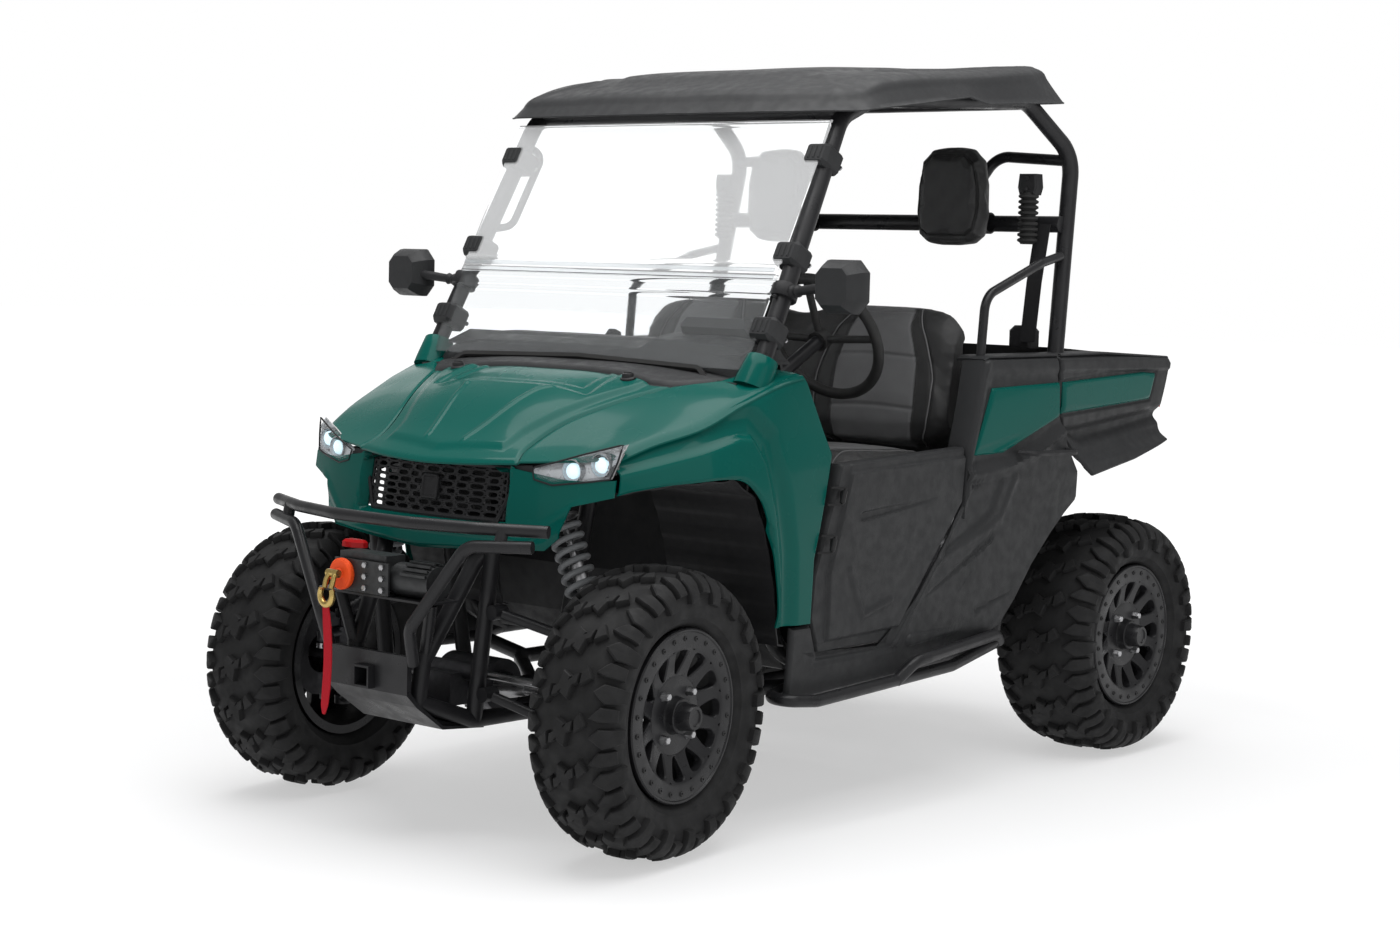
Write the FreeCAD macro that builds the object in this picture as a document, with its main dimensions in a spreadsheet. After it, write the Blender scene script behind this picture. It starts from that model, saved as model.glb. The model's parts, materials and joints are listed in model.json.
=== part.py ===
"""A compact side by side utility vehicle: two seats, open cab with roof and half doors, tipping bed.

Built in a frame whose y = 0 is the front axle and z = 0 the ground; +x is the driver's side and
+y runs rearwards. Every piece is then moved along y so that the whole stands centred on its origin.
Places are shares of three driving lengths: half the body's width, the wheelbase and the roof's
height. Everything that has a size of its own, such as a tube, a wall or a gap, is a cell of the sheet.
"""
import FreeCAD, Part
import math
import os
import Sketcher
from FreeCAD import Vector

doc = FreeCAD.newDocument("side_by_side")
sheet = doc.addObject("Spreadsheet::Sheet", "dims")

SIZES = {
    "driving lengths": {
        "body_half_width": 620,
        "wheelbase": 1885,
        "roof_height": 1870,
        "hook_reach": 409,
    },
    "fits and walls": {
        "seat_gap": 0.3,
        "fit_gap": 0.05,
        "seam_gap": 5,
        "moving_gap": 6,
        "panel_wall": 5,
        "overrun": 10,
        "lamp_depth": 90,
    },
    "wheels": {
        "tyre_radius": 330,
        "carcass_radius": 314,
        "tyre_wall": 12,
        "front_tyre_width": 215,
        "rear_tyre_width": 270,
        "front_track_half": 537,
        "rear_track_half": 553,
        "lug_count": 20,
        "lug_length": 44,
        "lug_sink": 14,
        "rim_radius": 178,
        "rim_wall": 7,
        "rim_lip": 14,
        "ring_radius": 196,
        "ring_depth": 12,
        "ring_hole_radius": 150,
        "dish_depth": 30,
        "disc_wall": 14,
        "spoke_count": 12,
        "hub_radius": 46,
        "hub_length": 92,
        "cap_radius": 32,
        "cap_length": 44,
        "spindle_radius": 14,
        "brake_radius": 95,
        "brake_wall": 5,
    },
    "steering": {
        "steer_rest": 5.45,
        "rack_travel": 95,
        "kingpin_x": 475,
        "pin_radius": 10,
        "knuckle_height": 150,
        "ball_offset": 108,
        "knuckle_wall": 28,
        "knuckle_length": 56,
        "steer_arm_reach": 95,
        "steer_arm_rise": 62,
        "steer_arm_radius": 10,
        "rod_radius": 9,
        "rod_end_radius": 14,
        "rod_end_wall": 12,
        "rack_radius": 21,
        "rack_length": 250,
        "steering_wheel_radius": 165,
        "steering_grip_radius": 14,
        "column_radius": 17,
    },
    "suspension": {
        "arm_tube_radius": 12,
        "arm_eye_radius": 17,
        "arm_eye_length": 40,
        "ball_eye_radius": 20,
        "ball_eye_height": 22,
        "spring_radius": 32,
        "spring_wire_radius": 5.5,
        "spring_turns": 7,
        "damper_radius": 17,
        "damper_rod_radius": 8,
        "damper_eye_radius": 14,
        "spring_seat_wall": 7,
        "shaft_radius": 12,
        "boot_radius": 34,
        "boot_length": 80,
    },
    "tubes": {
        "frame_tube_radius": 19,
        "frame_bend": 60,
        "cage_tube_radius": 22,
        "cage_bend": 90,
        "bumper_tube_radius": 14,
        "bumper_bend": 50,
        "hip_tube_radius": 12,
        "hip_bend": 60,
        "step_tube_radius": 15,
        "step_bend": 60,
        "handle_radius": 10,
    },
    "cab": {
        "floor_wall": 6,
        "floor_half_width": 520,
        "door_wall": 34,
        "quarter_wall": 8,
        "door_face_x": 632,
        "hinge_radius": 9,
        "hinge_length": 44,
        "hinge_pin_radius": 4,
        "hinge_offset": 6,
        "hood_hinge_half": 40,
        "hood_pin_radius": 2.5,
        "screen_wall": 5,
        "clamp_half": 30,
        "clamp_height": 66,
        "roof_wall": 6,
        "cushion_half_width": 545,
        "headrest_width": 230,
        "headrest_height": 255,
        "headrest_wall": 82,
        "mirror_width": 128,
        "mirror_height": 124,
        "mirror_wall": 50,
        "mirror_stalk_radius": 9,
        "belt_width": 46,
        "belt_wall": 3,
    },
    "bed": {
        "bed_wall": 4,
        "bed_half_width": 575,
        "bed_panel_wall": 24,
        "bed_face_x": 660,
        "bed_rail_wall": 34,
        "insert_wall": 6,
    },
    "recovery gear": {
        "receiver_size": 50.8,
        "receiver_wall": 5,
        "receiver_length": 120,
        "receiver_pin_radius": 8,
        "winch_drum_radius": 32,
        "winch_motor_radius": 38,
        "hook_wire_radius": 9,
        "strap_width": 26,
        "strap_wall": 3,
        "strap_length": 255,
        "plate_wall": 5,
    },
}


def fill_sheet():
    """Write every size in the sheet, one row each, with its name as alias."""
    row = 1
    for group, sizes in SIZES.items():
        sheet.set(f"A{row}", group)
        row += 1
        for alias, value in sizes.items():
            sheet.set(f"A{row}", alias)
            sheet.set(f"B{row}", str(value))
            sheet.setAlias(f"B{row}", alias)
            row += 1
    doc.recompute()


class Sizes:
    """Read a size back from its cell by its alias."""

    def __getattr__(self, alias):
        return float(sheet.get(alias))


fill_sheet()
mm = Sizes()
AXLE_Y = "-(dims.wheelbase + dims.tyre_radius - dims.hook_reach) / 2"
X_AXIS = Vector(1, 0, 0)
Y_AXIS = Vector(0, 1, 0)
Z_AXIS = Vector(0, 0, 1)
SUB_PARTS = []


def finish_part(item, label, moved=True):
    """Name a sub-part after its node and stand it in the vehicle's frame."""
    item.Label = label
    if moved:
        item.setExpression("Placement.Base.y", AXLE_Y)
    SUB_PARTS.append(item)
    return item


def shaped(label, shape):
    """A sub-part whose form comes from Part's own functions."""
    item = doc.addObject("Part::Feature", label)
    item.Shape = Part.Compound([shape])
    return finish_part(item, label)


def spot(shares):
    """A place from its shares of half width, wheelbase and roof height."""
    across, along, up = shares
    return Vector(across * mm.body_half_width, along * mm.wheelbase, up * mm.roof_height)


def mirrored(shape):
    return shape.mirror(Vector(0, 0, 0), X_AXIS)


def both_sides(shapes):
    """The shapes and their copies on the passenger's side."""
    return list(shapes) + [mirrored(shape) for shape in shapes]


def joined(shapes):
    """One shape of all the given ones, with seams removed."""
    first, rest = shapes[0], shapes[1:]
    if not rest:
        return first
    return first.fuse(rest).removeSplitter()


def rod(start, end, radius):
    return Part.makeCylinder(radius, (end - start).Length, start, end - start)


def block(low, high):
    size = high - low
    return Part.makeBox(size.x, size.y, size.z, low)


def bent_path(points, bend):
    """Straight runs through the points, joined by tangent arcs of the bend radius."""
    edges = []
    start = points[0]
    for before, corner, after in zip(points, points[1:], points[2:]):
        back = (before - corner).normalize()
        ahead = (after - corner).normalize()
        half = back.getAngle(ahead) / 2
        room = min((before - corner).Length, (after - corner).Length) * 0.45
        reach = min(bend / math.tan(half), room)
        first = corner + back * reach
        last = corner + ahead * reach
        middle_way = (back + ahead).normalize()
        radius = reach * math.tan(half)
        middle = corner + middle_way * (radius / math.sin(half) - radius)
        edges.append(Part.LineSegment(start, first).toShape())
        edges.append(Part.Arc(first, middle, last).toShape())
        start = last
    edges.append(Part.LineSegment(start, points[-1]).toShape())
    return Part.Wire(edges)


def tube_along(points, radius, bend):
    """A round tube along a bent path."""
    if len(points) == 2:
        return rod(points[0], points[1], radius)
    path = bent_path(points, bend)
    ring = Part.Wire(Part.makeCircle(radius, points[0], points[1] - points[0]))
    return path.makePipeShell([ring], True, True)


def tube(shares, radius, bend):
    """A round tube along a bent path whose corners are given as shares."""
    return tube_along([spot(share) for share in shares], radius, bend)


def prism(corners, direction, grow=0.0):
    """A closed polygon of corners, grown by a margin, pushed along a direction."""
    face = Part.Face(Part.makePolygon(list(corners) + [corners[0]]))
    if grow:
        face = face.makeOffset2D(grow, 2)
    return face.extrude(direction)


def side_prism(shares, low_x, high_x, grow=0.0):
    """A side view outline, given as shares, pushed across from low_x to high_x."""
    corners = [Vector(low_x, along * mm.wheelbase, up * mm.roof_height) for along, up in shares]
    return prism(corners, Vector(high_x - low_x, 0, 0), grow)


def plan_prism(shares, low_z, high_z, grow=0.0):
    """A plan outline, given as shares, pushed up from low_z to high_z."""
    corners = [Vector(across * mm.body_half_width, along * mm.wheelbase, low_z) for across, along in shares]
    return prism(corners, Vector(0, 0, high_z - low_z), grow)


def front_prism(shares, low_y, high_y, grow=0.0):
    """A front view outline, given as shares, pushed back from low_y to high_y."""
    corners = [Vector(across * mm.body_half_width, low_y, up * mm.roof_height) for across, up in shares]
    return prism(corners, Vector(0, high_y - low_y, 0), grow)


def surface(rows):
    """A smooth face through a grid of points."""
    sheet_of = Part.BSplineSurface()
    sheet_of.interpolate(rows)
    return sheet_of.toShape()


def top_surface(across_shares, along_shares, up_shares):
    """A face seen from above: one row of heights for each place along the vehicle."""
    rows = []
    for along, heights in zip(along_shares, up_shares):
        rows.append([spot((across, along, up)) for across, up in zip(across_shares, heights)])
    return surface(rows)


def side_surface(along_shares, up_shares, across_shares):
    """A face seen from the side: one row of distances for each place along the vehicle."""
    rows = []
    for along, outs in zip(along_shares, across_shares):
        rows.append([spot((out, along, up)) for up, out in zip(up_shares, outs)])
    return surface(rows)


def symmetric(shares):
    """A half row of shares from the middle outwards, made a whole row."""
    return tuple(reversed(shares[1:])) + tuple(shares)


def symmetric_places(shares):
    """As symmetric, for places across, whose sign turns on the passenger's side."""
    return tuple(-share for share in reversed(shares[1:])) + tuple(shares)


def origin_item(body, role):
    return [item for item in body.Origin.OriginFeatures if item.Role == role][0]


def outline_sketch(body, name, role, corners, offset=None):
    """A closed polygon whose corners are bound to the sheet, on one of the body's own planes."""
    sketch = body.newObject("Sketcher::SketchObject", name)
    sketch.AttachmentSupport = [(origin_item(body, role), "")]
    sketch.MapMode = "FlatFace"
    if offset:
        sketch.setExpression("AttachmentOffset.Base.z", offset)
    count = len(corners)
    turns = [2 * math.pi * index / count for index in range(count)]
    start = [Vector(math.cos(turn), math.sin(turn), 0) for turn in turns]
    rules = []
    for index in range(count):
        following = (index + 1) % count
        sketch.addGeometry(Part.LineSegment(start[index], start[following]))
    for index in range(count):
        rules.append(Sketcher.Constraint("Coincident", index, 2, (index + 1) % count, 1))
    for index in range(count):
        rules.append(Sketcher.Constraint("DistanceX", -1, 1, index, 1, start[index].x))
        rules.append(Sketcher.Constraint("DistanceY", -1, 1, index, 1, start[index].y))
    sketch.addConstraint(rules)
    for index, (across, up) in enumerate(corners):
        sketch.setExpression(f"Constraints[{count + 2 * index}]", across)
        sketch.setExpression(f"Constraints[{count + 2 * index + 1}]", up)
    return sketch


def revolved(label, corners):
    """A body turned about its own x axis from a half section of (along the axis, radius)."""
    body = doc.addObject("PartDesign::Body", label)
    sketch = outline_sketch(body, f"{label}_section", "XY_Plane", corners)
    turn = body.newObject("PartDesign::Revolution", f"{label}_turn")
    turn.Profile = sketch
    turn.ReferenceAxis = (sketch, ["H_Axis"])
    turn.Angle = 360
    sketch.Visibility = False
    return body


def padded(body, sketch, name, length, backwards=False):
    pad = body.newObject("PartDesign::Pad", name)
    pad.Profile = sketch
    pad.setExpression("Length", length)
    pad.Reversed = backwards
    return pad


def cut_away(body, sketch, name, length, backwards=False):
    pocket = body.newObject("PartDesign::Pocket", name)
    pocket.Profile = sketch
    pocket.setExpression("Length", length)
    pocket.Reversed = backwards
    return pocket


def round_pattern(body, features, name, count):
    """Copies of features spread evenly about the body's x axis."""
    doc.recompute()
    pattern = body.newObject("PartDesign::PolarPattern", name)
    pattern.Originals = features
    pattern.Axis = (origin_item(body, "X_Axis"), [""])
    pattern.Angle = 360
    pattern.setExpression("Occurrences", count)
    body.Tip = pattern
    return pattern


RIM_WIDTH_SHARE = 0.38
LUG_OUTLINE_SHARES = {
    "shoulder_arrow": ((0.5, 0.62), (0.5, 0.1), (0.02, -0.42), (0.16, 0.3)),
    "shoulder_block": ((0.5, -0.02), (0.5, -0.44), (0.13, -0.6), (0.12, -0.36)),
    "centre_bar": ((0.11, 0.24), (0.0, -0.34), (-0.14, -0.5), (-0.07, 0.12)),
}


def tyre_body(label, width):
    """A carcass with rounded sidewalls, and rows of lugs out to the tyre's full radius."""
    half = f"dims.{width} * 0.5"
    bead = "(dims.rim_radius + dims.seat_gap)"
    rise = f"(dims.carcass_radius - {bead})"
    outer_shares = ((0.83, 0.14), (0.97, 0.36), (1.0, 0.56), (0.97, 0.76), (0.86, 0.93), (0.6, 1.0))
    seat = f"(dims.{width} * {RIM_WIDTH_SHARE} - dims.seat_gap)"
    inner_seat = f"({seat} - dims.rim_wall)"
    shoulder = f"{bead} + {rise} * {outer_shares[0][1]}"
    corners = [(f"-{inner_seat} + dims.tyre_wall", bead), (f"-{inner_seat}", bead),
               (f"-{inner_seat}", shoulder)]
    corners += [(f"-{half} * {out}", f"{bead} + {rise} * {up}") for out, up in outer_shares]
    corners += [(f"{half} * {out}", f"{bead} + {rise} * {up}") for out, up in reversed(outer_shares)]
    corners += [(seat, shoulder), (seat, bead), (f"{seat} - dims.tyre_wall", bead)]
    inner_shares = ((0.72, 0.2), (0.88, 0.5), (0.72, 0.86))
    wall = "- dims.tyre_wall"
    corners += [(f"{half} * {out} {wall}", f"{bead} + {rise} * {up}") for out, up in inner_shares]
    corners += [(f"-{half} * {out} + dims.tyre_wall", f"{bead} + {rise} * {up}")
                for out, up in reversed(inner_shares)]
    body = revolved(label, corners)
    lugs = []
    pitch = "dims.lug_length"
    for side in (1, -1):
        for name, shares in LUG_OUTLINE_SHARES.items():
            outline = [(f"dims.{width} * {side * across}", f"{pitch} * {side * along}")
                       for across, along in shares]
            sketch = outline_sketch(body, f"{label}_{name}_{side + 1}", "XY_Plane", outline,
                                    "dims.tyre_radius - dims.lug_sink * 2")
            lugs.append(padded(body, sketch, f"{label}_{name}_lug_{side + 1}", "dims.lug_sink * 2"))
    round_pattern(body, lugs, f"{label}_lugs", "dims.lug_count")
    return body


def rim_body(label, width):
    """A barrel, a dished disc with windows between its spokes, a bolted ring, hub, cap and nuts."""
    outer = f"dims.{width} * {RIM_WIDTH_SHARE}"
    inner = f"-{outer}"
    face = f"({outer} + dims.ring_depth)"
    disc = f"({face} - dims.dish_depth)"
    barrel = "(dims.rim_radius - dims.rim_wall)"
    corners = [
        (inner, f"{barrel}"),
        (inner, "dims.rim_radius + dims.rim_lip"),
        (f"{inner} + dims.rim_wall", "dims.rim_radius + dims.rim_lip"),
        (f"{inner} + dims.rim_wall", "dims.rim_radius"),
        (outer, "dims.rim_radius"),
        (outer, "dims.ring_radius"),
        (face, "dims.ring_radius"),
        (face, "dims.ring_hole_radius"),
        (f"{disc}", "dims.hub_radius"),
        (f"{disc}", "dims.cap_radius"),
        (f"{disc} + dims.cap_length", "dims.cap_radius * 0.8"),
        (f"{disc} + dims.cap_length", "0"),
        (f"{disc} - dims.fit_gap", "0"),
        (f"{disc} - dims.fit_gap", "dims.spindle_radius + dims.fit_gap"),
        (f"{disc} - dims.hub_length", "dims.spindle_radius + dims.fit_gap"),
        (f"{disc} - dims.hub_length", "dims.brake_radius"),
        (f"{disc} - dims.hub_length + dims.brake_wall", "dims.brake_radius"),
        (f"{disc} - dims.hub_length + dims.brake_wall", "dims.hub_radius * 0.8"),
        (f"{disc} - dims.disc_wall", "dims.hub_radius * 0.8"),
        (f"{disc} - dims.disc_wall", "dims.hub_radius"),
        (f"{face} - dims.disc_wall", "dims.ring_hole_radius"),
        (f"{face} - dims.disc_wall", barrel),
    ]
    body = revolved(label, corners)
    window_shares = ((0.42, 0.17), (0.94, 0.46), (0.94, -0.46), (0.42, -0.17))
    spacing = "dims.ring_hole_radius * 0.38"
    window = [(f"{spacing} * {along}", f"dims.ring_hole_radius * {up}") for up, along in window_shares]
    sketch = outline_sketch(body, f"{label}_window", "YZ_Plane", window,
                            f"{outer} + dims.ring_depth + dims.overrun")
    opening = cut_away(body, sketch, f"{label}_opening", "dims.dish_depth * 2 + dims.overrun")
    round_pattern(body, [opening], f"{label}_windows", "dims.spoke_count")
    return body


def placed_wheel(label, master, x_name, axle_y, side, steered):
    """A copy of a wheel's piece at its own corner, turned to its side and its steering."""
    item = doc.addObject("Part::Feature", label)
    item.Shape = master.Shape.copy()
    item.Placement = FreeCAD.Placement(Vector(0, 0, 0), FreeCAD.Rotation(Z_AXIS, 0))
    turn = "dims.steer_rest" if steered else "0"
    half = "0" if side > 0 else "180"
    item.setExpression("Placement.Rotation.Angle", f"({turn} + {half}) * 1deg")
    reach = f"(dims.{x_name} - dims.kingpin_x)"
    if steered:
        x_place = f"{side} * (dims.kingpin_x + {reach} * cos({turn} * 1deg))"
        y_place = f"{side} * {reach} * sin({turn} * 1deg)"
    else:
        x_place = f"{side} * dims.{x_name}"
        y_place = "0"
    item.setExpression("Placement.Base.x", x_place)
    item.setExpression("Placement.Base.y", f"{AXLE_Y} + {axle_y} + {y_place}")
    item.setExpression("Placement.Base.z", "dims.tyre_radius")
    return finish_part(item, label, moved=False)


def make_wheels():
    """Four wheels from one front and one rear design of tyre and rim."""
    masters = {
        "front": (tyre_body("front_tyre_design", "front_tyre_width"),
                  rim_body("front_rim_design", "front_tyre_width")),
        "rear": (tyre_body("rear_tyre_design", "rear_tyre_width"),
                 rim_body("rear_rim_design", "rear_tyre_width")),
    }
    doc.recompute()
    corners = (("front", "front_track_half", "0"), ("rear", "rear_track_half", "dims.wheelbase"))
    for end, x_name, axle_y in corners:
        for side_name, side in (("left", 1), ("right", -1)):
            for piece, master in zip(("tyre", "rim"), masters[end]):
                placed_wheel(f"{piece}_{end}_{side_name}", master, x_name, axle_y, side, end == "front")


LOWER_RAIL_SHARES = ((0.177, -0.159, 0.176), (0.226, -0.08, 0.147), (0.226, 0.175, 0.145),
                     (0.532, 0.255, 0.158), (0.532, 0.706, 0.158), (0.306, 0.796, 0.155),
                     (0.306, 1.066, 0.152))
UPPER_RAIL_SHARES = ((0.185, -0.151, 0.227), (0.242, -0.088, 0.342), (0.387, -0.032, 0.422),
                     (0.395, 0.037, 0.428), (0.484, 0.202, 0.484), (0.806, 0.211, 0.484))
FRONT_POST_SHARES = ((0.177, -0.159, 0.172), (0.185, -0.151, 0.235))
SIDE_RAIL_SHARES = ((0.532, 0.265, 0.158), (0.855, 0.276, 0.174), (0.903, 0.34, 0.178),
                    (0.903, 0.706, 0.182), (0.532, 0.716, 0.158))
FORE_UPRIGHT_SHARES = ((0.226, -0.08, 0.147), (0.315, -0.08, 0.374))
AFT_UPRIGHT_SHARES = ((0.226, 0.058, 0.146), (0.406, 0.058, 0.436))
REAR_UPRIGHT_SHARES = ((0.306, 0.915, 0.154), (0.371, 0.915, 0.434))
TAIL_UPRIGHT_SHARES = ((0.306, 1.058, 0.153), (0.371, 1.058, 0.434))
BED_RAIL_SHARES = ((0.903, 0.772, 0.434), (0.371, 0.785, 0.434), (0.371, 1.058, 0.434))
CROSS_PLACES = {
    "nose_cross": (0.226, -0.08, 0.147),
    "dash_cross": (0.484, 0.202, 0.484),
    "tower_cross": (0.39, 0.011, 0.426),
    "axle_cross": (0.226, 0.058, 0.146),
    "floor_cross": (0.903, 0.403, 0.178),
    "seat_cross": (0.903, 0.637, 0.181),
    "radiator_cross": (0.331, -0.054, 0.391),
    "engine_fore_cross": (0.306, 0.798, 0.155),
    "engine_aft_cross": (0.306, 0.915, 0.154),
    "tail_cross": (0.306, 1.066, 0.152),
    "bed_fore_cross": (0.371, 0.79, 0.434),
    "bed_aft_cross": (0.371, 1.058, 0.434),
}


def tube_room(runs):
    """The space that frame tubes take, with the seat gap around them."""
    radius = mm.frame_tube_radius + mm.seat_gap
    return joined(both_sides([tube(run, radius, mm.frame_bend) for run in runs]))


def make_frame():
    """The welded tube frame under the body."""
    radius = mm.frame_tube_radius
    bend = mm.frame_bend
    runs = (LOWER_RAIL_SHARES, UPPER_RAIL_SHARES, FRONT_POST_SHARES, SIDE_RAIL_SHARES,
            FORE_UPRIGHT_SHARES, AFT_UPRIGHT_SHARES, REAR_UPRIGHT_SHARES, TAIL_UPRIGHT_SHARES,
            BED_RAIL_SHARES)
    shapes = both_sides([tube(run, radius, bend) for run in runs])
    for across, along, up in CROSS_PLACES.values():
        shapes.append(rod(spot((-across, along, up)), spot((across, along, up)), radius))
    shaped("chassis_frame", joined(shapes))


PILLAR_FOOT_SHARES = ((0.903, 0.34, 0.178), (0.839, 0.249, 0.225), (0.806, 0.211, 0.374),
                      (0.826, 0.211, 0.484))
PILLAR_SHARES = ((0.874, 0.183, 0.567), (0.816, 0.362, 0.901))
PILLAR_ELBOW_SHARE = -0.08
CAGE_REAR_SHARES = ((0.826, 0.424, 0.929), (0.874, 0.764, 0.948), (0.919, 0.866, 0.877),
                    (0.971, 0.814, 0.592), (0.961, 0.796, 0.481), (0.903, 0.743, 0.321),
                    (0.903, 0.706, 0.182))
CAGE_CROSS_PLACES = {
    "header": (0.818, 0.378, 0.91),
    "rear_header": (0.871, 0.756, 0.947),
    "back_bar": (0.944, 0.832, 0.778),
}
BRACE_SHARES = ((0.921, 0.854, 0.869), (0.532, 0.867, 0.877), (0.471, 0.849, 0.834), (0.46, 0.832, 0.778))
HIP_BAR_SHARES = ((0.955, 0.826, 0.733), (0.968, 0.769, 0.722), (0.968, 0.634, 0.675),
                  (0.968, 0.626, 0.587))
HANDLE_SHARES = ((0.819, 0.345, 0.869), (0.81, 0.375, 0.856), (0.81, 0.316, 0.754), (0.832, 0.281, 0.749))


def pillar_line():
    """Foot and head of the straight part of the front pillar."""
    return spot(PILLAR_SHARES[0]), spot(PILLAR_SHARES[1])


def cage_side(radius):
    """One side of the cage: foot, front pillar, roof rail and rear post, as one bent tube."""
    low, high = pillar_line()
    points = [spot(share) for share in PILLAR_FOOT_SHARES] + [low + (high - low) * PILLAR_ELBOW_SHARE, high]
    points += [spot(share) for share in CAGE_REAR_SHARES]
    return tube_along(points, radius, mm.cage_bend)


def make_cage():
    """The roll cage with its braces, hip bars and the passenger's grab handle, coped to the frame."""
    radius = mm.cage_tube_radius
    side = [cage_side(radius), tube(BRACE_SHARES, mm.step_tube_radius, mm.hip_bend),
            tube(HIP_BAR_SHARES, mm.hip_tube_radius, mm.hip_bend)]
    shapes = both_sides(side)
    for across, along, up in CAGE_CROSS_PLACES.values():
        shapes.append(rod(spot((-across, along, up)), spot((across, along, up)), radius))
    shapes.append(mirrored(tube(HANDLE_SHARES, mm.handle_radius, mm.bumper_bend)))
    room = tube_room((SIDE_RAIL_SHARES, UPPER_RAIL_SHARES, BED_RAIL_SHARES))
    shaped("roll_cage", joined(shapes).cut(room))


RECEIVER_MOUTH_SHARES = (0, -0.197, 0.204)
REAR_RECEIVER_MOUTH_SHARES = (0, 1.119, 0.152)
BUMPER_TOP_SHARES = ((-0.719, -0.126, 0.395), (-0.468, -0.164, 0.395), (-0.194, -0.187, 0.395),
                     (0.194, -0.187, 0.395), (0.468, -0.164, 0.395), (0.719, -0.126, 0.395))
BUMPER_LOOP_SHARES = ((0.684, -0.14, 0.377), (0.455, -0.172, 0.374), (0.235, -0.192, 0.27),
                      (0.218, -0.179, 0.225))
BUMPER_TIE_SHARES = ((0.565, -0.154, 0.375), (0.565, -0.15, 0.395))
BUMPER_BRACE_SHARES = ((0.187, -0.151, 0.23), (0.242, -0.159, 0.296))
TRAY_SHARES = (0, 0, 0.299)
SKID_HALF_SHARES = (0.213, 0, 0)
WINCH_TRAY_SHARES = ((-0.306, -0.183), (0.306, -0.183), (0.306, -0.135), (-0.306, -0.135))
SKID_SHARES = ((-0.187, 0.235), (-0.187, 0.188), (-0.171, 0.172), (-0.127, 0.14), (-0.058, 0.134),
               (-0.058, 0.137), (-0.126, 0.144), (-0.167, 0.175), (-0.18, 0.19), (-0.18, 0.235))


def make_bumper():
    """The bull bar's two tubes, the winch tray, and the bent skid plate below."""
    radius = mm.bumper_tube_radius
    loop = tube(BUMPER_LOOP_SHARES, radius, mm.bumper_bend)
    tie = tube(BUMPER_TIE_SHARES, radius, mm.bumper_bend)
    tray_z = spot(TRAY_SHARES).z
    tray = plan_prism(WINCH_TRAY_SHARES, tray_z, tray_z + mm.plate_wall)
    brace = tube(BUMPER_BRACE_SHARES, radius, mm.bumper_bend)
    shapes = both_sides([loop, tie, brace]) + [tube(BUMPER_TOP_SHARES, radius, mm.frame_bend * 2), tray]
    plate_half = spot(SKID_HALF_SHARES).x
    shapes.append(side_prism(SKID_SHARES, -plate_half, plate_half))
    mouth = spot(RECEIVER_MOUTH_SHARES)
    window_half = mm.receiver_size / 2 + mm.seat_gap
    window = Vector(window_half, mm.overrun, window_half)
    hole = block(mouth - window, mouth + window + Vector(0, mm.receiver_length, 0))
    room = tube_room((LOWER_RAIL_SHARES, UPPER_RAIL_SHARES, FRONT_POST_SHARES))
    cross = spot(CROSS_PLACES["nose_cross"])
    across = X_AXIS * cross.x
    cross_room = rod(cross - across * 2, cross, mm.frame_tube_radius + mm.seat_gap)
    shaped("front_bumper", joined(shapes).cut(hole).cut(room).cut(cross_room))


def square_tube(center, size, wall, length, direction):
    """A square tube from a center point along y, open at both ends."""
    half = size / 2
    corner = Vector(half, 0, half)
    outer = block(center - corner, center + corner + Vector(0, length * direction, 0))
    inset = Vector(half - wall, 0, half - wall)
    run = Vector(0, mm.overrun * direction, 0)
    inner = block(center - inset - run, center + inset + Vector(0, length * direction, 0) + run)
    return outer.cut(inner)


def receiver(mouth, direction):
    """A square socket for a towing or winch bar, cross drilled for its pin."""
    low_y = mouth.y if direction > 0 else mouth.y - mm.receiver_length
    base = Vector(mouth.x, low_y, mouth.z)
    socket = square_tube(base, mm.receiver_size, mm.receiver_wall, mm.receiver_length, 1)
    drill_y = mouth.y + direction * mm.receiver_length / 2
    reach = mm.receiver_size
    drill = rod(Vector(-reach, drill_y, mouth.z), Vector(reach, drill_y, mouth.z), mm.receiver_pin_radius)
    return socket.cut(drill)


def make_receivers():
    """Square sockets front and rear."""
    front = receiver(spot(RECEIVER_MOUTH_SHARES), 1)
    rear_mouth = spot(REAR_RECEIVER_MOUTH_SHARES)
    rear_mouth.z += mm.frame_tube_radius + mm.seat_gap + mm.receiver_size / 2
    rear = receiver(rear_mouth, -1)
    shaped("receiver_front", front)
    shaped("receiver_rear", rear)


TOP_ACROSS_SHARES = (0, 0.242, 0.435, 0.645, 0.839, 1.065)
TOP_ALONG_SHARES = (-0.127, -0.053, 0.011, 0.074, 0.138, 0.223, 0.329)
TOP_UP_SHARES = (
    (0.446, 0.446, 0.444, 0.44, 0.434, 0.422),
    (0.491, 0.489, 0.48, 0.474, 0.466, 0.45),
    (0.535, 0.533, 0.521, 0.509, 0.498, 0.477),
    (0.563, 0.561, 0.552, 0.54, 0.527, 0.505),
    (0.575, 0.574, 0.57, 0.564, 0.555, 0.535),
    (0.583, 0.583, 0.583, 0.582, 0.579, 0.567),
    (0.583, 0.583, 0.583, 0.582, 0.58, 0.572),
)
FENDER_ALONG_SHARES = (-0.138, -0.064, 0, 0.064, 0.138, 0.212, 0.318)
FENDER_UP_SHARES = (0.241, 0.374, 0.455, 0.508, 0.61)
FENDER_ACROSS_SHARES = (
    (0.879, 0.855, 0.831, 0.758, 0.613),
    (0.903, 0.887, 0.871, 0.815, 0.685),
    (0.935, 0.927, 0.911, 0.871, 0.782),
    (0.968, 0.968, 0.955, 0.919, 0.847),
    (0.987, 0.997, 0.987, 0.965, 0.911),
    (0.987, 1, 0.992, 0.977, 0.958),
    (0.977, 0.987, 0.981, 0.971, 0.965),
)
NOSE_ACROSS_SHARES = (0, 0.323, 0.645, 1.065)
NOSE_UP_SHARES = (0.225, 0.417, 0.631)
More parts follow.
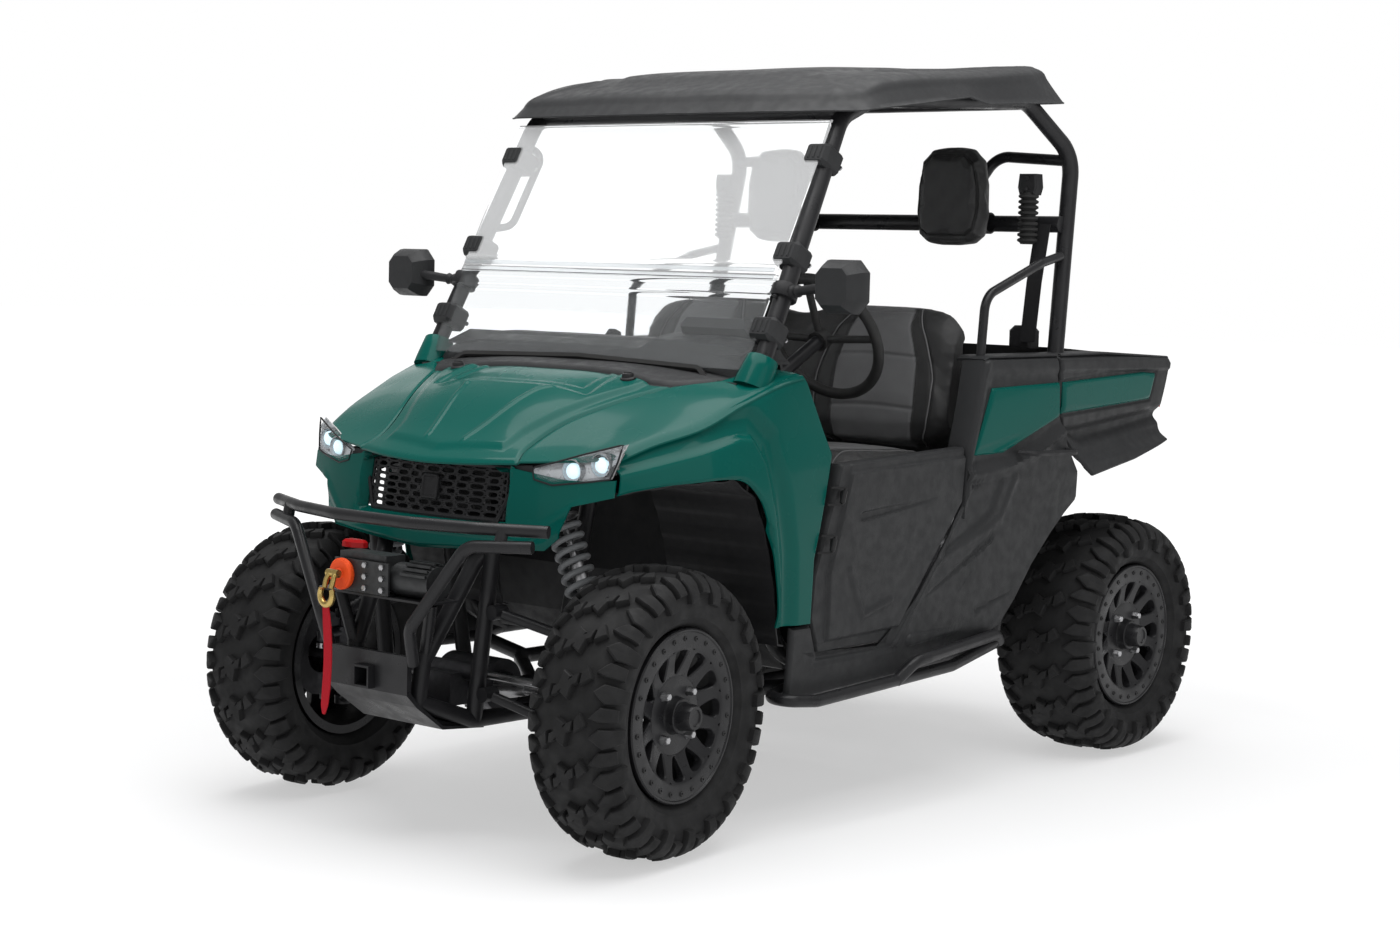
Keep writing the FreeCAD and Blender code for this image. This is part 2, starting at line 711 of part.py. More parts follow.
NOSE_ALONG_SHARES = (
    (-0.128, -0.099, -0.067),
    (-0.119, -0.091, -0.059),
    (-0.094, -0.065, -0.033),
    (-0.036, -0.007, 0.025),
)
HOOD_PLAN_SHARES = ((-0.415, -0.138), (0.415, -0.138), (0.423, -0.074), (0.632, 0.109), (0.532, 0.091),
                    (0.323, 0.074), (0, 0.066), (-0.323, 0.074), (-0.532, 0.091), (-0.632, 0.109),
                    (-0.423, -0.074))
COWL_PLAN_SHARES = ((0, 0.069), (0.323, 0.077), (0.532, 0.094), (0.645, 0.112), (0.758, 0.159),
                    (0.794, 0.202), (-0.794, 0.202), (-0.758, 0.159), (-0.645, 0.112), (-0.532, 0.094),
                    (-0.323, 0.077))
LAMP_FRONT_SHARES = ((0.484, 0.461), (0.677, 0.484), (0.847, 0.497), (0.816, 0.458), (0.568, 0.445),
                     (0.494, 0.451))
GRILLE_FRONT_SHARES = ((-0.424, 0.463), (-0.332, 0.394), (0.332, 0.394), (0.424, 0.463))
GRILLE_PLATE_SHARES = ((-0.44, 0.456), (-0.348, 0.387), (0.348, 0.387), (0.44, 0.456))
FASCIA_FRONT_SHARES = ((0, 0.458), (0.419, 0.458), (0.484, 0.451), (0.565, 0.443), (0.823, 0.455),
                       (0.819, 0.428), (0.758, 0.414), (0.703, 0.393), (0.645, 0.369), (0.597, 0.359),
                       (0, 0.355))
FASCIA_SIDE_SHARES = ((-0.159, 0.342), (-0.033, 0.342), (-0.033, 0.466), (-0.159, 0.466))
FENDER_SIDE_SHARES = ((-0.159, 0.615), (0.233, 0.615), (0.239, 0.581), (0.299, 0.473), (0.262, 0.343),
                      (0.262, 0.261), (0.187, 0.263), (0.185, 0.305), (0.162, 0.385), (0.142, 0.428),
                      (0.109, 0.45), (0.032, 0.448), (-0.032, 0.437), (-0.069, 0.428), (-0.159, 0.406))
HOOD_LIP_SHARES = (0, 0, 0.461)
HOOD_HINGE_SHARES = (0, -0.091, 0.459)
CONE_SPAN_SHARES = (-0.035, 0.056)


def moved(shape, x=0.0, y=0.0, z=0.0):
    return shape.translated(Vector(x, y, z))


def surface_solid(face, push):
    return face.extrude(push)


def nose_face(push):
    """The front face over grille, lamps and bumper, pushed back along the vehicle."""
    nose_rows = list(reversed(NOSE_ALONG_SHARES[1:])) + list(NOSE_ALONG_SHARES)
    nose_across = symmetric_places(NOSE_ACROSS_SHARES)
    rows = []
    for place, alongs in zip(nose_across, nose_rows):
        rows.append([spot((place, along, up)) for along, up in zip(alongs, NOSE_UP_SHARES)])
    return moved(surface(rows), y=push)


def front_body(shrink):
    """The solid under the hood, fender and nose surfaces, drawn in by shrink on every side."""
    across = symmetric_places(TOP_ACROSS_SHARES)
    top = top_surface(across, TOP_ALONG_SHARES, [symmetric(row) for row in TOP_UP_SHARES])
    top.translate(Vector(0, 0, -shrink))
    side = side_surface(FENDER_ALONG_SHARES, FENDER_UP_SHARES, FENDER_ACROSS_SHARES)
    side.translate(Vector(-shrink, 0, 0))
    width = mm.body_half_width
    below = surface_solid(top, Vector(0, 0, -width))
    left = surface_solid(side, Vector(-2 * width, 0, 0))
    behind = surface_solid(nose_face(shrink), Vector(0, mm.wheelbase / 2, 0))
    return below.common(left).common(mirrored(left)).common(behind)


def make_front_panels():
    """Hood, fenders, nose fascia, headlamps, grille and cowl, split from one shell at the real seams."""
    outer = front_body(0)
    shell = outer.cut(front_body(mm.panel_wall))
    tall = mm.roof_height
    long = mm.wheelbase
    half = mm.body_half_width
    gap = mm.seam_gap
    lip_z = spot(HOOD_LIP_SHARES).z
    hood = shell.common(plan_prism(HOOD_PLAN_SHARES, lip_z, tall))
    hood_cut = plan_prism(HOOD_PLAN_SHARES, lip_z - mm.moving_gap, tall, gap)
    lamp = front_prism(LAMP_FRONT_SHARES, -long, 0)
    lamp_cut = front_prism(LAMP_FRONT_SHARES, -long, 0, gap)
    grille_hole = front_prism(GRILLE_FRONT_SHARES, -long, 0)
    fascia_depth = side_prism(FASCIA_SIDE_SHARES, -half, half)
    fascia_cut_depth = side_prism(FASCIA_SIDE_SHARES, -half, half, gap)
    fascia_half = shell.common(front_prism(FASCIA_FRONT_SHARES, -long, 0)).common(fascia_depth)
    fascia = fascia_half.fuse(mirrored(fascia_half)).cut(grille_hole).removeSplitter()
    fascia_cut = front_prism(FASCIA_FRONT_SHARES, -long, 0, gap).common(fascia_cut_depth)
    cowl_cut = plan_prism(COWL_PLAN_SHARES, 0, tall, gap)
    side_zone = side_prism(FENDER_SIDE_SHARES, half * 0.3, half * 1.2)
    fender = shell.common(side_zone)
    for tool in (hood_cut, lamp_cut, grille_hole, fascia_cut, cowl_cut):
        fender = fender.cut(tool)
    inner = front_body(mm.panel_wall + mm.seat_gap)
    low, high = pillar_line()
    cone_foot = low + (high - low) * CONE_SPAN_SHARES[0]
    cone_head = low + (high - low) * CONE_SPAN_SHARES[1]
    radius = mm.cage_tube_radius
    cone = Part.makeCone(radius * 2.4, radius * 1.4, (cone_head - cone_foot).Length, cone_foot, high - low)
    bore = rod(low - (high - low) * CONE_SPAN_SHARES[1], cone_head + (high - low) * CONE_SPAN_SHARES[1],
               radius + mm.seat_gap)
    fender = fender.fuse(cone.cut(inner)).cut(bore).cut(screen_room())
    fender = largest(fender.fuse(hinge_ears()).removeSplitter())
    shaped("front_fenders", Part.Compound([fender, mirrored(fender)]))
    shaped("front_fascia", fascia)
    axis = spot(HOOD_HINGE_SHARES)
    hinge_half = mm.hood_hinge_half
    pin_radius = mm.hood_pin_radius
    barrel = rod(axis - X_AXIS * hinge_half, axis + X_AXIS * hinge_half, pin_radius * 2)
    pin_bore = rod(axis - X_AXIS * half, axis + X_AXIS * half, pin_radius + mm.fit_gap)
    shaped("hood", hood.fuse(barrel).cut(pin_bore).removeSplitter())
    lamp_flange = front_prism(LAMP_FRONT_SHARES, -long, 0, gap * 2).common(inner)
    lamp_solid = outer.common(lamp).fuse(lamp_flange).cut(moved(outer, y=mm.lamp_depth)).removeSplitter()
    shaped("headlamps", Part.Compound([lamp_solid, mirrored(lamp_solid)]))
    recess = mm.panel_wall + mm.seat_gap
    plate = surface_solid(nose_face(recess), Y_AXIS * mm.plate_wall)
    plate = plate.common(front_prism(GRILLE_PLATE_SHARES, -long, 0))
    ear_low = axis + Vector(hinge_half + pin_radius, -pin_radius, -pin_radius * 8)
    ear = block(ear_low, axis + Vector(hinge_half + pin_radius * 5, pin_radius * 4, 0))
    pin_end = X_AXIS * (hinge_half + pin_radius * 5)
    pin = rod(axis - pin_end, axis + pin_end, pin_radius)
    shaped("grille", joined([plate, ear, mirrored(ear), pin]))
    return inner


def largest(shape):
    """The main solid of a shape, without the slivers that trimming leaves."""
    return max(shape.Solids, key=lambda solid: solid.Volume)


def screen_room():
    """The space ahead of the windscreen's inner face, where nothing of the pillar's cones may stand."""
    foot, rise, normal = screen_frame()
    half = mm.body_half_width
    low = foot - rise * 0.01 - normal * mm.seat_gap
    high = low + rise
    corners = [low - X_AXIS * half, low + X_AXIS * half, high + X_AXIS * half, high - X_AXIS * half]
    return prism(corners, normal * mm.cage_bend)


def door_hinges():
    """Middle places of the door's two hinges and the direction of their shared axis."""
    low, high = [spot(shares) for shares in DOOR_HINGE_SHARES]
    for place in (low, high):
        place.x = mm.door_face_x + mm.hinge_offset
    return (low, high), (high - low).normalize()


def hinge_ears():
    """The fender's share of the door hinges: a pin held by two bent ears for each."""
    places, along = door_hinges()
    pin = mm.hinge_pin_radius
    reach = mm.hinge_length / 2 + pin * 2.2
    shapes = []
    for place in places:
        ends = [place - along * reach, place + along * reach]
        shapes.append(rod(ends[0], ends[1], pin))
        for end in ends:
            corner = end - Y_AXIS * mm.hinge_length
            root = corner - X_AXIS * (mm.hinge_offset + mm.panel_wall * 4)
            shapes.append(tube_along([end, corner, root], pin, pin * 2))
    return shapes


COWL_ACROSS_SHARES = (0, 0.323, 0.645, 0.903)
COWL_ALONG_SHARES = (0.053, 0.101, 0.159, 0.212)
COWL_UP_SHARES = ((0.559, 0.558, 0.554, 0.545), (0.581, 0.58, 0.573, 0.561), (0.595, 0.594, 0.587, 0.576),
                  (0.603, 0.602, 0.595, 0.584))


def make_cowl():
    """The raised plastic cowl between the hood and the windscreen."""
    across = symmetric_places(COWL_ACROSS_SHARES)
    top = top_surface(across, COWL_ALONG_SHARES, [symmetric(row) for row in COWL_UP_SHARES])
    depth = mm.panel_wall * 9
    solid = surface_solid(moved(top, z=-depth), Vector(0, 0, depth))
    hollow = moved(solid, z=-mm.panel_wall)
    tall = mm.roof_height
    outer = plan_prism(COWL_PLAN_SHARES, 0, tall)
    inner = plan_prism(COWL_PLAN_SHARES, 0, tall, -mm.panel_wall)
    foot, rise, normal = screen_frame()
    ahead = foot - rise * 0.3 + normal * (mm.screen_wall + mm.seat_gap)
    half = mm.body_half_width
    corners = [ahead - X_AXIS * half, ahead + X_AXIS * half, ahead + rise * 0.6 + X_AXIS * half,
               ahead + rise * 0.6 - X_AXIS * half]
    room = prism(corners, normal * -half)
    shaped("cowl", largest(solid.common(outer).cut(hollow.common(inner)).cut(room)))


DASH_SHARES = ((0.187, 0.595), (0.228, 0.61), (0.272, 0.588), (0.276, 0.567), (0.265, 0.527),
               (0.241, 0.484), (0.238, 0.484), (0.238, 0.487), (0.262, 0.529), (0.272, 0.567),
               (0.267, 0.586), (0.228, 0.606), (0.187, 0.591))
DASH_FACE_CORNERS = (4, 5)
TUB_SHARES = ((0.238, 0.484), (0.238, 0.299), (0.264, 0.23), (0.296, 0), (0.666, 0), (0.666, 0),
              (0.298, 0), (0.267, 0.232), (0.241, 0.301), (0.241, 0.484))
SEAT_BOX_SHARES = ((0.392, 0), (0.378, 0.412), (0.628, 0.412), (0.644, 0.54), (0.648, 0.539),
                   (0.631, 0.409), (0.381, 0.409), (0.395, 0))
CUSHION_SHARES = ((0.376, 0.412), (0.37, 0.428), (0.378, 0.461), (0.396, 0.471), (0.599, 0.461),
                  (0.624, 0.455), (0.625, 0.412))
BACK_SHARES = ((0.628, 0.414), (0.644, 0.54), (0.66, 0.659), (0.654, 0.668), (0.639, 0.666),
               (0.618, 0.631), (0.599, 0.535), (0.595, 0.492), (0.602, 0.464), (0.625, 0.458))


def bound_side_outline(shares, shift="0"):
    """Side view shares as expressions of the driving lengths, with a small shift rearwards and up."""
    return [(f"{along} * dims.wheelbase + {shift}", f"{up} * dims.roof_height + {shift}")
            for along, up in shares]


def cross_pad(label, corners, half_width):
    """A side view outline padded across the middle of the vehicle, half_width to each side."""
    body = doc.addObject("PartDesign::Body", label)
    sketch = outline_sketch(body, f"{label}_profile", "YZ_Plane", corners, f"-({half_width})")
    padded(body, sketch, f"{label}_pad", f"2 * ({half_width})")
    return body


def make_cab():
    """Floor tub, dashboard and the bench's seat base, all panels bent along the side view."""
    cross_up = CROSS_PLACES["seat_cross"][2]
    floor_low = f"{cross_up} * dims.roof_height + dims.frame_tube_radius + dims.seat_gap"
    floor_high = f"{floor_low} + dims.floor_wall"
    tub = bound_side_outline(TUB_SHARES)
    for index, height in ((3, floor_low), (4, floor_low), (5, floor_high), (6, floor_high)):
        tub[index] = (tub[index][0], height)
    seat_box = bound_side_outline(SEAT_BOX_SHARES)
    for index in (0, -1):
        seat_box[index] = (seat_box[index][0], f"{floor_high} + dims.seat_gap")
    dash = bound_side_outline(DASH_SHARES, "dims.seat_gap")
    pads = {
        "floor_tub": (tub, "dims.floor_half_width * 0.92"),
        "dashboard": (dash, "dims.floor_half_width * 0.93"),
        "seat_base": (seat_box, "dims.floor_half_width * 0.99"),
        "seat_cushion": (bound_side_outline(CUSHION_SHARES), "dims.cushion_half_width"),
        "seat_back": (bound_side_outline(BACK_SHARES), "dims.cushion_half_width"),
    }
    for label, (corners, half_width) in pads.items():
        finish_part(cross_pad(label, corners, half_width), label)


HEADREST_SHARES = (0.481, 0.784, 0.817)


def make_headrests():
    """Two pads on brackets that hook over the cage's rear bar."""
    bar = spot(CAGE_CROSS_PLACES["back_bar"])
    center = spot(HEADREST_SHARES)
    half = Vector(mm.headrest_width / 2, mm.headrest_wall / 2, mm.headrest_height / 2)
    pad = block(center - half, center + half)
    pad = pad.makeFillet(mm.headrest_wall * 0.25, pad.Edges)
    seat = bar.y - mm.cage_tube_radius - mm.seat_gap
    stem_half = mm.headrest_width * 0.2
    stem = block(Vector(center.x - stem_half, center.y, bar.z - mm.cage_tube_radius),
                 Vector(center.x + stem_half, seat, bar.z + mm.cage_tube_radius))
    rest = pad.fuse(stem).removeSplitter()
    shaped("headrests", Part.Compound([rest, mirrored(rest)]))


ROOF_ACROSS_SHARES = (0, 0.371, 0.484, 0.774, 0.927, 1.032)
ROOF_ALONG_SHARES = (0.297, 0.345, 0.424, 0.637, 0.775, 0.849, 0.902)
ROOF_UP_SHARES = (
    (0.924, 0.924, 0.922, 0.917, 0.909, 0.901),
    (0.941, 0.941, 0.939, 0.934, 0.923, 0.911),
    (0.968, 0.968, 0.966, 0.96, 0.95, 0.937),
    (0.987, 0.987, 0.983, 0.982, 0.971, 0.956),
    (0.994, 0.994, 0.989, 0.996, 0.983, 0.963),
    (0.996, 0.996, 0.991, 0.999, 0.982, 0.963),
    (0.985, 0.985, 0.982, 0.984, 0.969, 0.954),
)
ROOF_PLAN_SHARES = ((0, 0.317), (0.532, 0.324), (0.839, 0.34), (0.939, 0.366), (0.952, 0.477),
                    (0.958, 0.796), (0.944, 0.849), (0.839, 0.875), (0, 0.885))
ROOF_SKIRT_SHARES = ((0.297, 0.905), (0.35, 0.907), (0.589, 0.94), (0.631, 0.934), (0.817, 0.948),
                     (0.902, 0.953), (0.902, 1.064), (0.297, 1.064))


def roof_solid(shrink):
    """The solid under the roof's top face, drawn in by shrink on every side."""
    across = symmetric_places(ROOF_ACROSS_SHARES)
    top = top_surface(across, ROOF_ALONG_SHARES, [symmetric(row) for row in ROOF_UP_SHARES])
    top.translate(Vector(0, 0, -shrink))
    below = surface_solid(top, Vector(0, 0, -mm.body_half_width / 2))
    far_side = tuple((-across, along) for across, along in reversed(ROOF_PLAN_SHARES[1:-1]))
    plan = ROOF_PLAN_SHARES + far_side
    return below.common(plan_prism(plan, 0, 2 * mm.roof_height, -shrink))


def make_roof():
    """A moulded roof with turned down edges, its skirt rising to the rear, on four saddles."""
    half = mm.body_half_width
    skirt = side_prism(ROOF_SKIRT_SHARES, -half, half)
    shell = roof_solid(0).common(skirt).cut(roof_solid(mm.roof_wall))
    saddles = []
    for name in ("header", "rear_header"):
        across, along, up = CAGE_CROSS_PLACES[name]
        bar = spot((across, along, up))
        foot = bar.z + mm.cage_tube_radius + mm.seat_gap
        width = mm.cage_tube_radius * 2
        for side in (-1, 1):
            x = side * bar.x * 0.6
            saddles.append(block(Vector(x - width, bar.y - width / 2, foot),
                                 Vector(x + width, bar.y + width / 2, foot + mm.body_half_width)))
    core = roof_solid(mm.roof_wall / 2)
    legs = [saddle.common(core) for saddle in saddles]
    shaped("roof", shell.fuse(legs).removeSplitter())


SCREEN_FOOT_SHARES = (0.84, 0.175, 0.58)
SCREEN_HEAD_SHARES = (0.835, 0.34, 0.894)
SCREEN_SPLIT_SHARE = 0.36
CLAMP_SPOT_SHARES = (0.175, 0.455, 0.83)


def screen_frame():
    """Foot, run up the glass and outward normal of the windscreen's plane."""
    foot = spot(SCREEN_FOOT_SHARES)
    head = spot(SCREEN_HEAD_SHARES)
    rise = Vector(0, head.y - foot.y, head.z - foot.z)
    normal = Vector(0, -rise.z, rise.y).normalize()
    return Vector(0, foot.y, foot.z), rise, normal


def make_screen():
    """Two clear panes with a thick formed strip along their shared edge."""
    foot, rise, normal = screen_frame()
    half = spot(SCREEN_FOOT_SHARES).x
    panes = []
    spans = ((0, SCREEN_SPLIT_SHARE), (SCREEN_SPLIT_SHARE, 1))
    gap = Vector(rise).normalize() * mm.seam_gap
    for low, high in spans:
        start = foot + rise * low + (gap if low else Vector(0, 0, 0))
        end = foot + rise * high
        corners = [start - X_AXIS * half, start + X_AXIS * half, end + X_AXIS * half, end - X_AXIS * half]
        pane = prism(corners, normal * mm.screen_wall)
        lip_foot = end if not low else start
        lip_run = (gap * -3) if not low else (gap * 3)
        lip_end = lip_foot + lip_run
        lip = prism([lip_foot - X_AXIS * half, lip_foot + X_AXIS * half, lip_end + X_AXIS * half,
                     lip_end - X_AXIS * half], normal * mm.screen_wall * 3)
        panes.append(pane.fuse(lip).removeSplitter())
    shaped("windscreen", Part.Compound(panes))


def make_clamps():
    """Three clamp blocks on each pillar that carry the panes."""
    foot, rise, normal = screen_frame()
    low, high = pillar_line()
    run = high - low
    up = Vector(rise).normalize()
    blocks = []
    half = mm.clamp_half
    for share in CLAMP_SPOT_SHARES:
        center = low + run * share
        away = (foot - center).dot(normal) - mm.seat_gap
        size_up = up * mm.clamp_height / 2
        corners = []
        for side, depth in ((-1, -1), (1, -1), (1, 1), (-1, 1)):
            reach = away if depth > 0 else -half
            corners.append(center + X_AXIS * side * half + normal * reach - size_up)
        clamp = prism(corners, up * mm.clamp_height)
        bore = rod(center - run * 0.2, center + run * 0.2, mm.cage_tube_radius + mm.seat_gap)
        blocks.append(clamp.cut(bore))
    shaped("pillar_clamps", Part.Compound(both_sides(blocks)))


MIRROR_SHARES = (1.148, 0.233, 0.686)
MIRROR_STALK_SHARE = 0.325


def make_mirrors():
    """Eight sided mirror heads on stalks that clamp the pillars."""
    center = spot(MIRROR_SHARES)
    wide, high = mm.mirror_width / 2, mm.mirror_height / 2
    cut = high * 0.42
    ring = ((-wide, cut - high), (cut - wide, -high), (wide - cut, -high), (wide, cut - high),
            (wide, high - cut), (wide - cut, high), (cut - wide, high), (-wide, high - cut))
    back = mm.mirror_wall / 2
    big = Part.makePolygon([center + Vector(x, 0, z) for x, z in ring + ring[:1]])
    small = Part.makePolygon([center + Vector(x * 0.82, -2 * back, z * 0.82) for x, z in ring + ring[:1]])
    front = Part.makeLoft([big, small], True, True)
    rim = prism([center + Vector(x, 0, z) for x, z in ring], Vector(0, back * 0.7, 0))
    low_end, high_end = pillar_line()
    pillar = low_end + (high_end - low_end) * MIRROR_STALK_SHARE
    along = (high_end - low_end).normalize()
    length = mm.clamp_half
    ring_foot = pillar - along * length / 2
    collar = Part.makeCylinder(mm.cage_tube_radius + mm.plate_wall * 2, length, ring_foot, along)
    bore = Part.makeCylinder(mm.cage_tube_radius + mm.seat_gap, length * 3, ring_foot - along * length, along)
    stalk_end = Vector(center.x, center.y - back, center.z)
    stalk = rod(pillar, stalk_end, mm.mirror_stalk_radius)
    head = joined([front, rim, stalk, collar]).cut(bore).cut(screen_room())
    shaped("mirrors", Part.Compound([head, mirrored(head)]))


QUARTER_ALONG_SHARES = (0.202, 0.371, 0.531, 0.663, 0.785, 0.891)
QUARTER_UP_SHARES = (0.144, 0.241, 0.374, 0.481, 0.535, 0.604)
QUARTER_ACROSS_SHARES = (
    (0.955, 0.974, 0.987, 0.987, 0.981, 0.968),
    (0.965, 0.984, 0.997, 0.997, 0.99, 0.977),
    (0.974, 0.994, 1.013, 1.019, 1.016, 1.003),
    (0.981, 1, 1.023, 1.04, 1.042, 1.032),
    (0.981, 1.003, 1.032, 1.056, 1.063, 1.06),
    (0.981, 1.003, 1.035, 1.061, 1.065, 1.065),
)
QUARTER_OUTLINE_SHARES = ((0.225, 0.163), (0.225, 0.258), (0.263, 0.258), (0.28, 0.214),
                          (0.438, 0.215), (0.58, 0.395), (0.583, 0.471), (0.624, 0.589),
                          (0.633, 0.593), (0.776, 0.595), (0.784, 0.556), (0.792, 0.507),
                          (0.812, 0.471), (0.849, 0.428), (0.852, 0.386), (0.828, 0.369),
                          (0.796, 0.342), (0.753, 0.299), (0.717, 0.251), (0.684, 0.218),
                          (0.631, 0.199), (0.494, 0.175))
QUARTER_RAIL_SHARES = ((0.61, 0.551), (0.624, 0.589), (0.633, 0.593), (0.776, 0.595), (0.78, 0.573),
                       (0.637, 0.571), (0.622, 0.551))
QUARTER_INSERT_SHARES = ((0.627, 0.551), (0.589, 0.459), (0.658, 0.462), (0.69, 0.473), (0.784, 0.508),
                         (0.781, 0.556))
BED_ALONG_SHARES = (0.764, 0.849, 0.955, 1.061, 1.125)
BED_UP_SHARES = (0.406, 0.455, 0.481, 0.513, 0.567, 0.615)
BED_ACROSS_SHARES = (
    (1.056, 1.048, 1.04, 1.056, 1.065, 1.061),
    (1.077, 1.056, 1.04, 1.056, 1.065, 1.061),
    (1.094, 1.068, 1.04, 1.056, 1.065, 1.058),
    (1.11, 1.087, 1.045, 1.056, 1.065, 1.055),
    (1.116, 1.097, 1.048, 1.056, 1.065, 1.052),
)
BED_SIDE_SHARES = ((0.778, 0.595), (0.902, 0.596), (1.08, 0.588), (1.088, 0.58), (1.066, 0.503),
                   (1.079, 0.464), (0.981, 0.44), (0.87, 0.42), (0.854, 0.431), (0.814, 0.473),
                   (0.794, 0.508), (0.786, 0.556))
BED_INSERT_SHARES = ((0.789, 0.556), (0.794, 0.511), (1.031, 0.527), (1.043, 0.565), (1.008, 0.567))


def skin(surface_face, outline, wall):
    """A panel of even wall under an outer face, trimmed to an outline."""
    return surface_solid(surface_face, Vector(-wall, 0, 0)).common(outline)


def make_quarters():
    """Quarter panels that run down to the sill and forward below the doors, and their inserts."""
    half = mm.body_half_width
    face = side_surface(QUARTER_ALONG_SHARES, QUARTER_UP_SHARES, QUARTER_ACROSS_SHARES)
    outline = side_prism(QUARTER_OUTLINE_SHARES, half / 2, half * 1.5)
    panel = skin(face, outline, mm.quarter_wall)
    rail = skin(face, side_prism(QUARTER_RAIL_SHARES, half / 2, half * 1.5), mm.bed_rail_wall * 2)
    panel = panel.fuse(rail)
    deep = mm.insert_wall / 2
    seat = skin(face, side_prism(QUARTER_INSERT_SHARES, half / 2, half * 1.5, mm.seam_gap / 2), deep)
    panel = panel.cut(seat).cut(post_bore()).removeSplitter()
    insert_face = moved(face, x=mm.insert_wall - deep)
    insert = skin(insert_face, side_prism(QUARTER_INSERT_SHARES, half / 2, half * 1.5), mm.insert_wall)
    shaped("quarter_panels", Part.Compound([panel, mirrored(panel)]))
    shaped("quarter_inserts", Part.Compound([insert, mirrored(insert)]))


def post_bore():
    """Room around the cage's rear posts and hip bars, where they pass through the quarter's rail."""
    post = cage_side(mm.cage_tube_radius + mm.seat_gap)
    hip = tube(HIP_BAR_SHARES, mm.hip_tube_radius + mm.seat_gap, mm.hip_bend)
    return post.fuse(hip)


BED_FLOOR_SHARES = ((-0.927, 0.851), (0.927, 0.851), (0.927, 1.071), (-0.927, 1.071))
BED_RIM_SHARES = (0, 0.851, 0.602)
TAILGATE_HINGE_SHARES = (0.484, 1.079, 0.453)
BED_WALL_SHARES = ((0.851, 0.445), (1.071, 0.445), (1.071, 0.588), (0.851, 0.602))
BED_RAIL_TOP_SHARES = ((0.845, 0.576), (0.845, 0.596), (0.902, 0.596), (1.08, 0.588), (1.085, 0.578),
                       (1.077, 0.568), (0.902, 0.575))
BED_FORE_RAIL_SHARES = ((0.786, 0.574), (0.778, 0.595), (0.849, 0.596), (0.849, 0.576))
TAILGATE_SHARES = ((1.073, 0.459), (1.073, 0.584), (1.086, 0.584), (1.086, 0.459))


def bed_lugs(floor_low):
    """Lugs under the bed's floor that turn on the frame's rear cross tube."""
    across, along, up = CROSS_PLACES["bed_aft_cross"]
    tube_at = spot((0, along, up))
    size = mm.frame_tube_radius * 1.5
    lugs = []
    for share in (0.35, 0.65):
        x = across * mm.body_half_width * share
        low = Vector(x, tube_at.y - size, tube_at.z - size)
        lugs.append(block(low, Vector(x + mm.bed_panel_wall, tube_at.y + size * 0.7, floor_low)))
    reach = X_AXIS * mm.body_half_width
    bore = rod(tube_at - reach, tube_at + reach, mm.frame_tube_radius + mm.fit_gap)
    return [lug.cut(bore) for lug in both_sides(lugs)]


def gate_hinges():
    """Barrels for the tailgate, pins with their ears for the bed, and the bore for the pins."""
    place = spot(TAILGATE_HINGE_SHARES)
    pin = mm.hinge_pin_radius
    half = mm.hinge_length / 2
    ear_wall = mm.plate_wall
    barrels = []
    pins = []
    for side in (-1, 1):
        at = Vector(side * place.x, place.y, place.z)
        barrels.append(rod(at - X_AXIS * half, at + X_AXIS * half, pin * 2))
        barrels.append(block(at - Vector(half, pin, 0), at + Vector(half, pin, pin * 4)))
        reach = X_AXIS * (half + ear_wall + pin / 2)
        pins.append(rod(at - reach, at + reach, pin))
        for way in (-1, 1):
            start = at.x + way * (half + pin / 2)
            low = Vector(min(start, start + way * ear_wall), at.y - pin * 6, at.z - pin * 4)
            pins.append(block(low, low + Vector(ear_wall, pin * 7, pin * 5)))
    reach = X_AXIS * mm.body_half_width
    bore = rod(Vector(0, place.y, place.z) - reach, Vector(0, place.y, place.z) + reach, pin + mm.fit_gap)
    return barrels, pins, bore


def make_bed():
    """The tipping bed: a metal tub, plastic outer sides with rails, painted inserts, and a tailgate."""
    half = mm.bed_half_width
    wall = mm.bed_wall
    rail = spot(BED_RAIL_SHARES[-1])
    floor_low = rail.z + mm.frame_tube_radius + mm.seat_gap
    floor = plan_prism(BED_FLOOR_SHARES, floor_low, floor_low + wall)
    rim = spot(BED_RIM_SHARES)
    head = block(Vector(-half, rim.y, floor_low), Vector(half, rim.y + wall, rim.z))
    side_wall = side_prism(BED_WALL_SHARES, half - wall, half)
    barrels, pins, bore = gate_hinges()
    tub = joined([floor, head, side_wall, mirrored(side_wall)] + bed_lugs(floor_low) + pins)
    face = side_surface(BED_ALONG_SHARES, BED_UP_SHARES, BED_ACROSS_SHARES)
    reach = mm.body_half_width
    outline = side_prism(BED_SIDE_SHARES, reach / 2, reach * 1.5)
    panel = skin(face, outline, mm.bed_panel_wall / 3)
    rail_outline = side_prism(BED_RAIL_TOP_SHARES, half + mm.seat_gap, reach * 1.5)
    rail = surface_solid(face, Vector(-2 * mm.bed_face_x, 0, 0)).common(rail_outline)
    fore_rail = skin(face, side_prism(BED_FORE_RAIL_SHARES, reach / 2, reach * 1.5), mm.bed_panel_wall)
    panel = panel.fuse([rail, fore_rail])
    deep = mm.insert_wall / 2
    seat = skin(face, side_prism(BED_INSERT_SHARES, reach / 2, reach * 1.5, mm.seam_gap / 2), deep)
    panel = panel.cut(seat).removeSplitter()
    insert = skin(moved(face, x=mm.insert_wall - deep), side_prism(BED_INSERT_SHARES, reach / 2, reach * 1.5),
                  mm.insert_wall)
    shaped("bed_tub", tub)
    shaped("bed_sides", Part.Compound([panel, mirrored(panel)]))
    shaped("bed_inserts", Part.Compound([insert, mirrored(insert)]))
    gate = side_prism(TAILGATE_SHARES, -half + mm.moving_gap, half - mm.moving_gap)
    shaped("tailgate", joined([gate] + barrels).cut(bore))


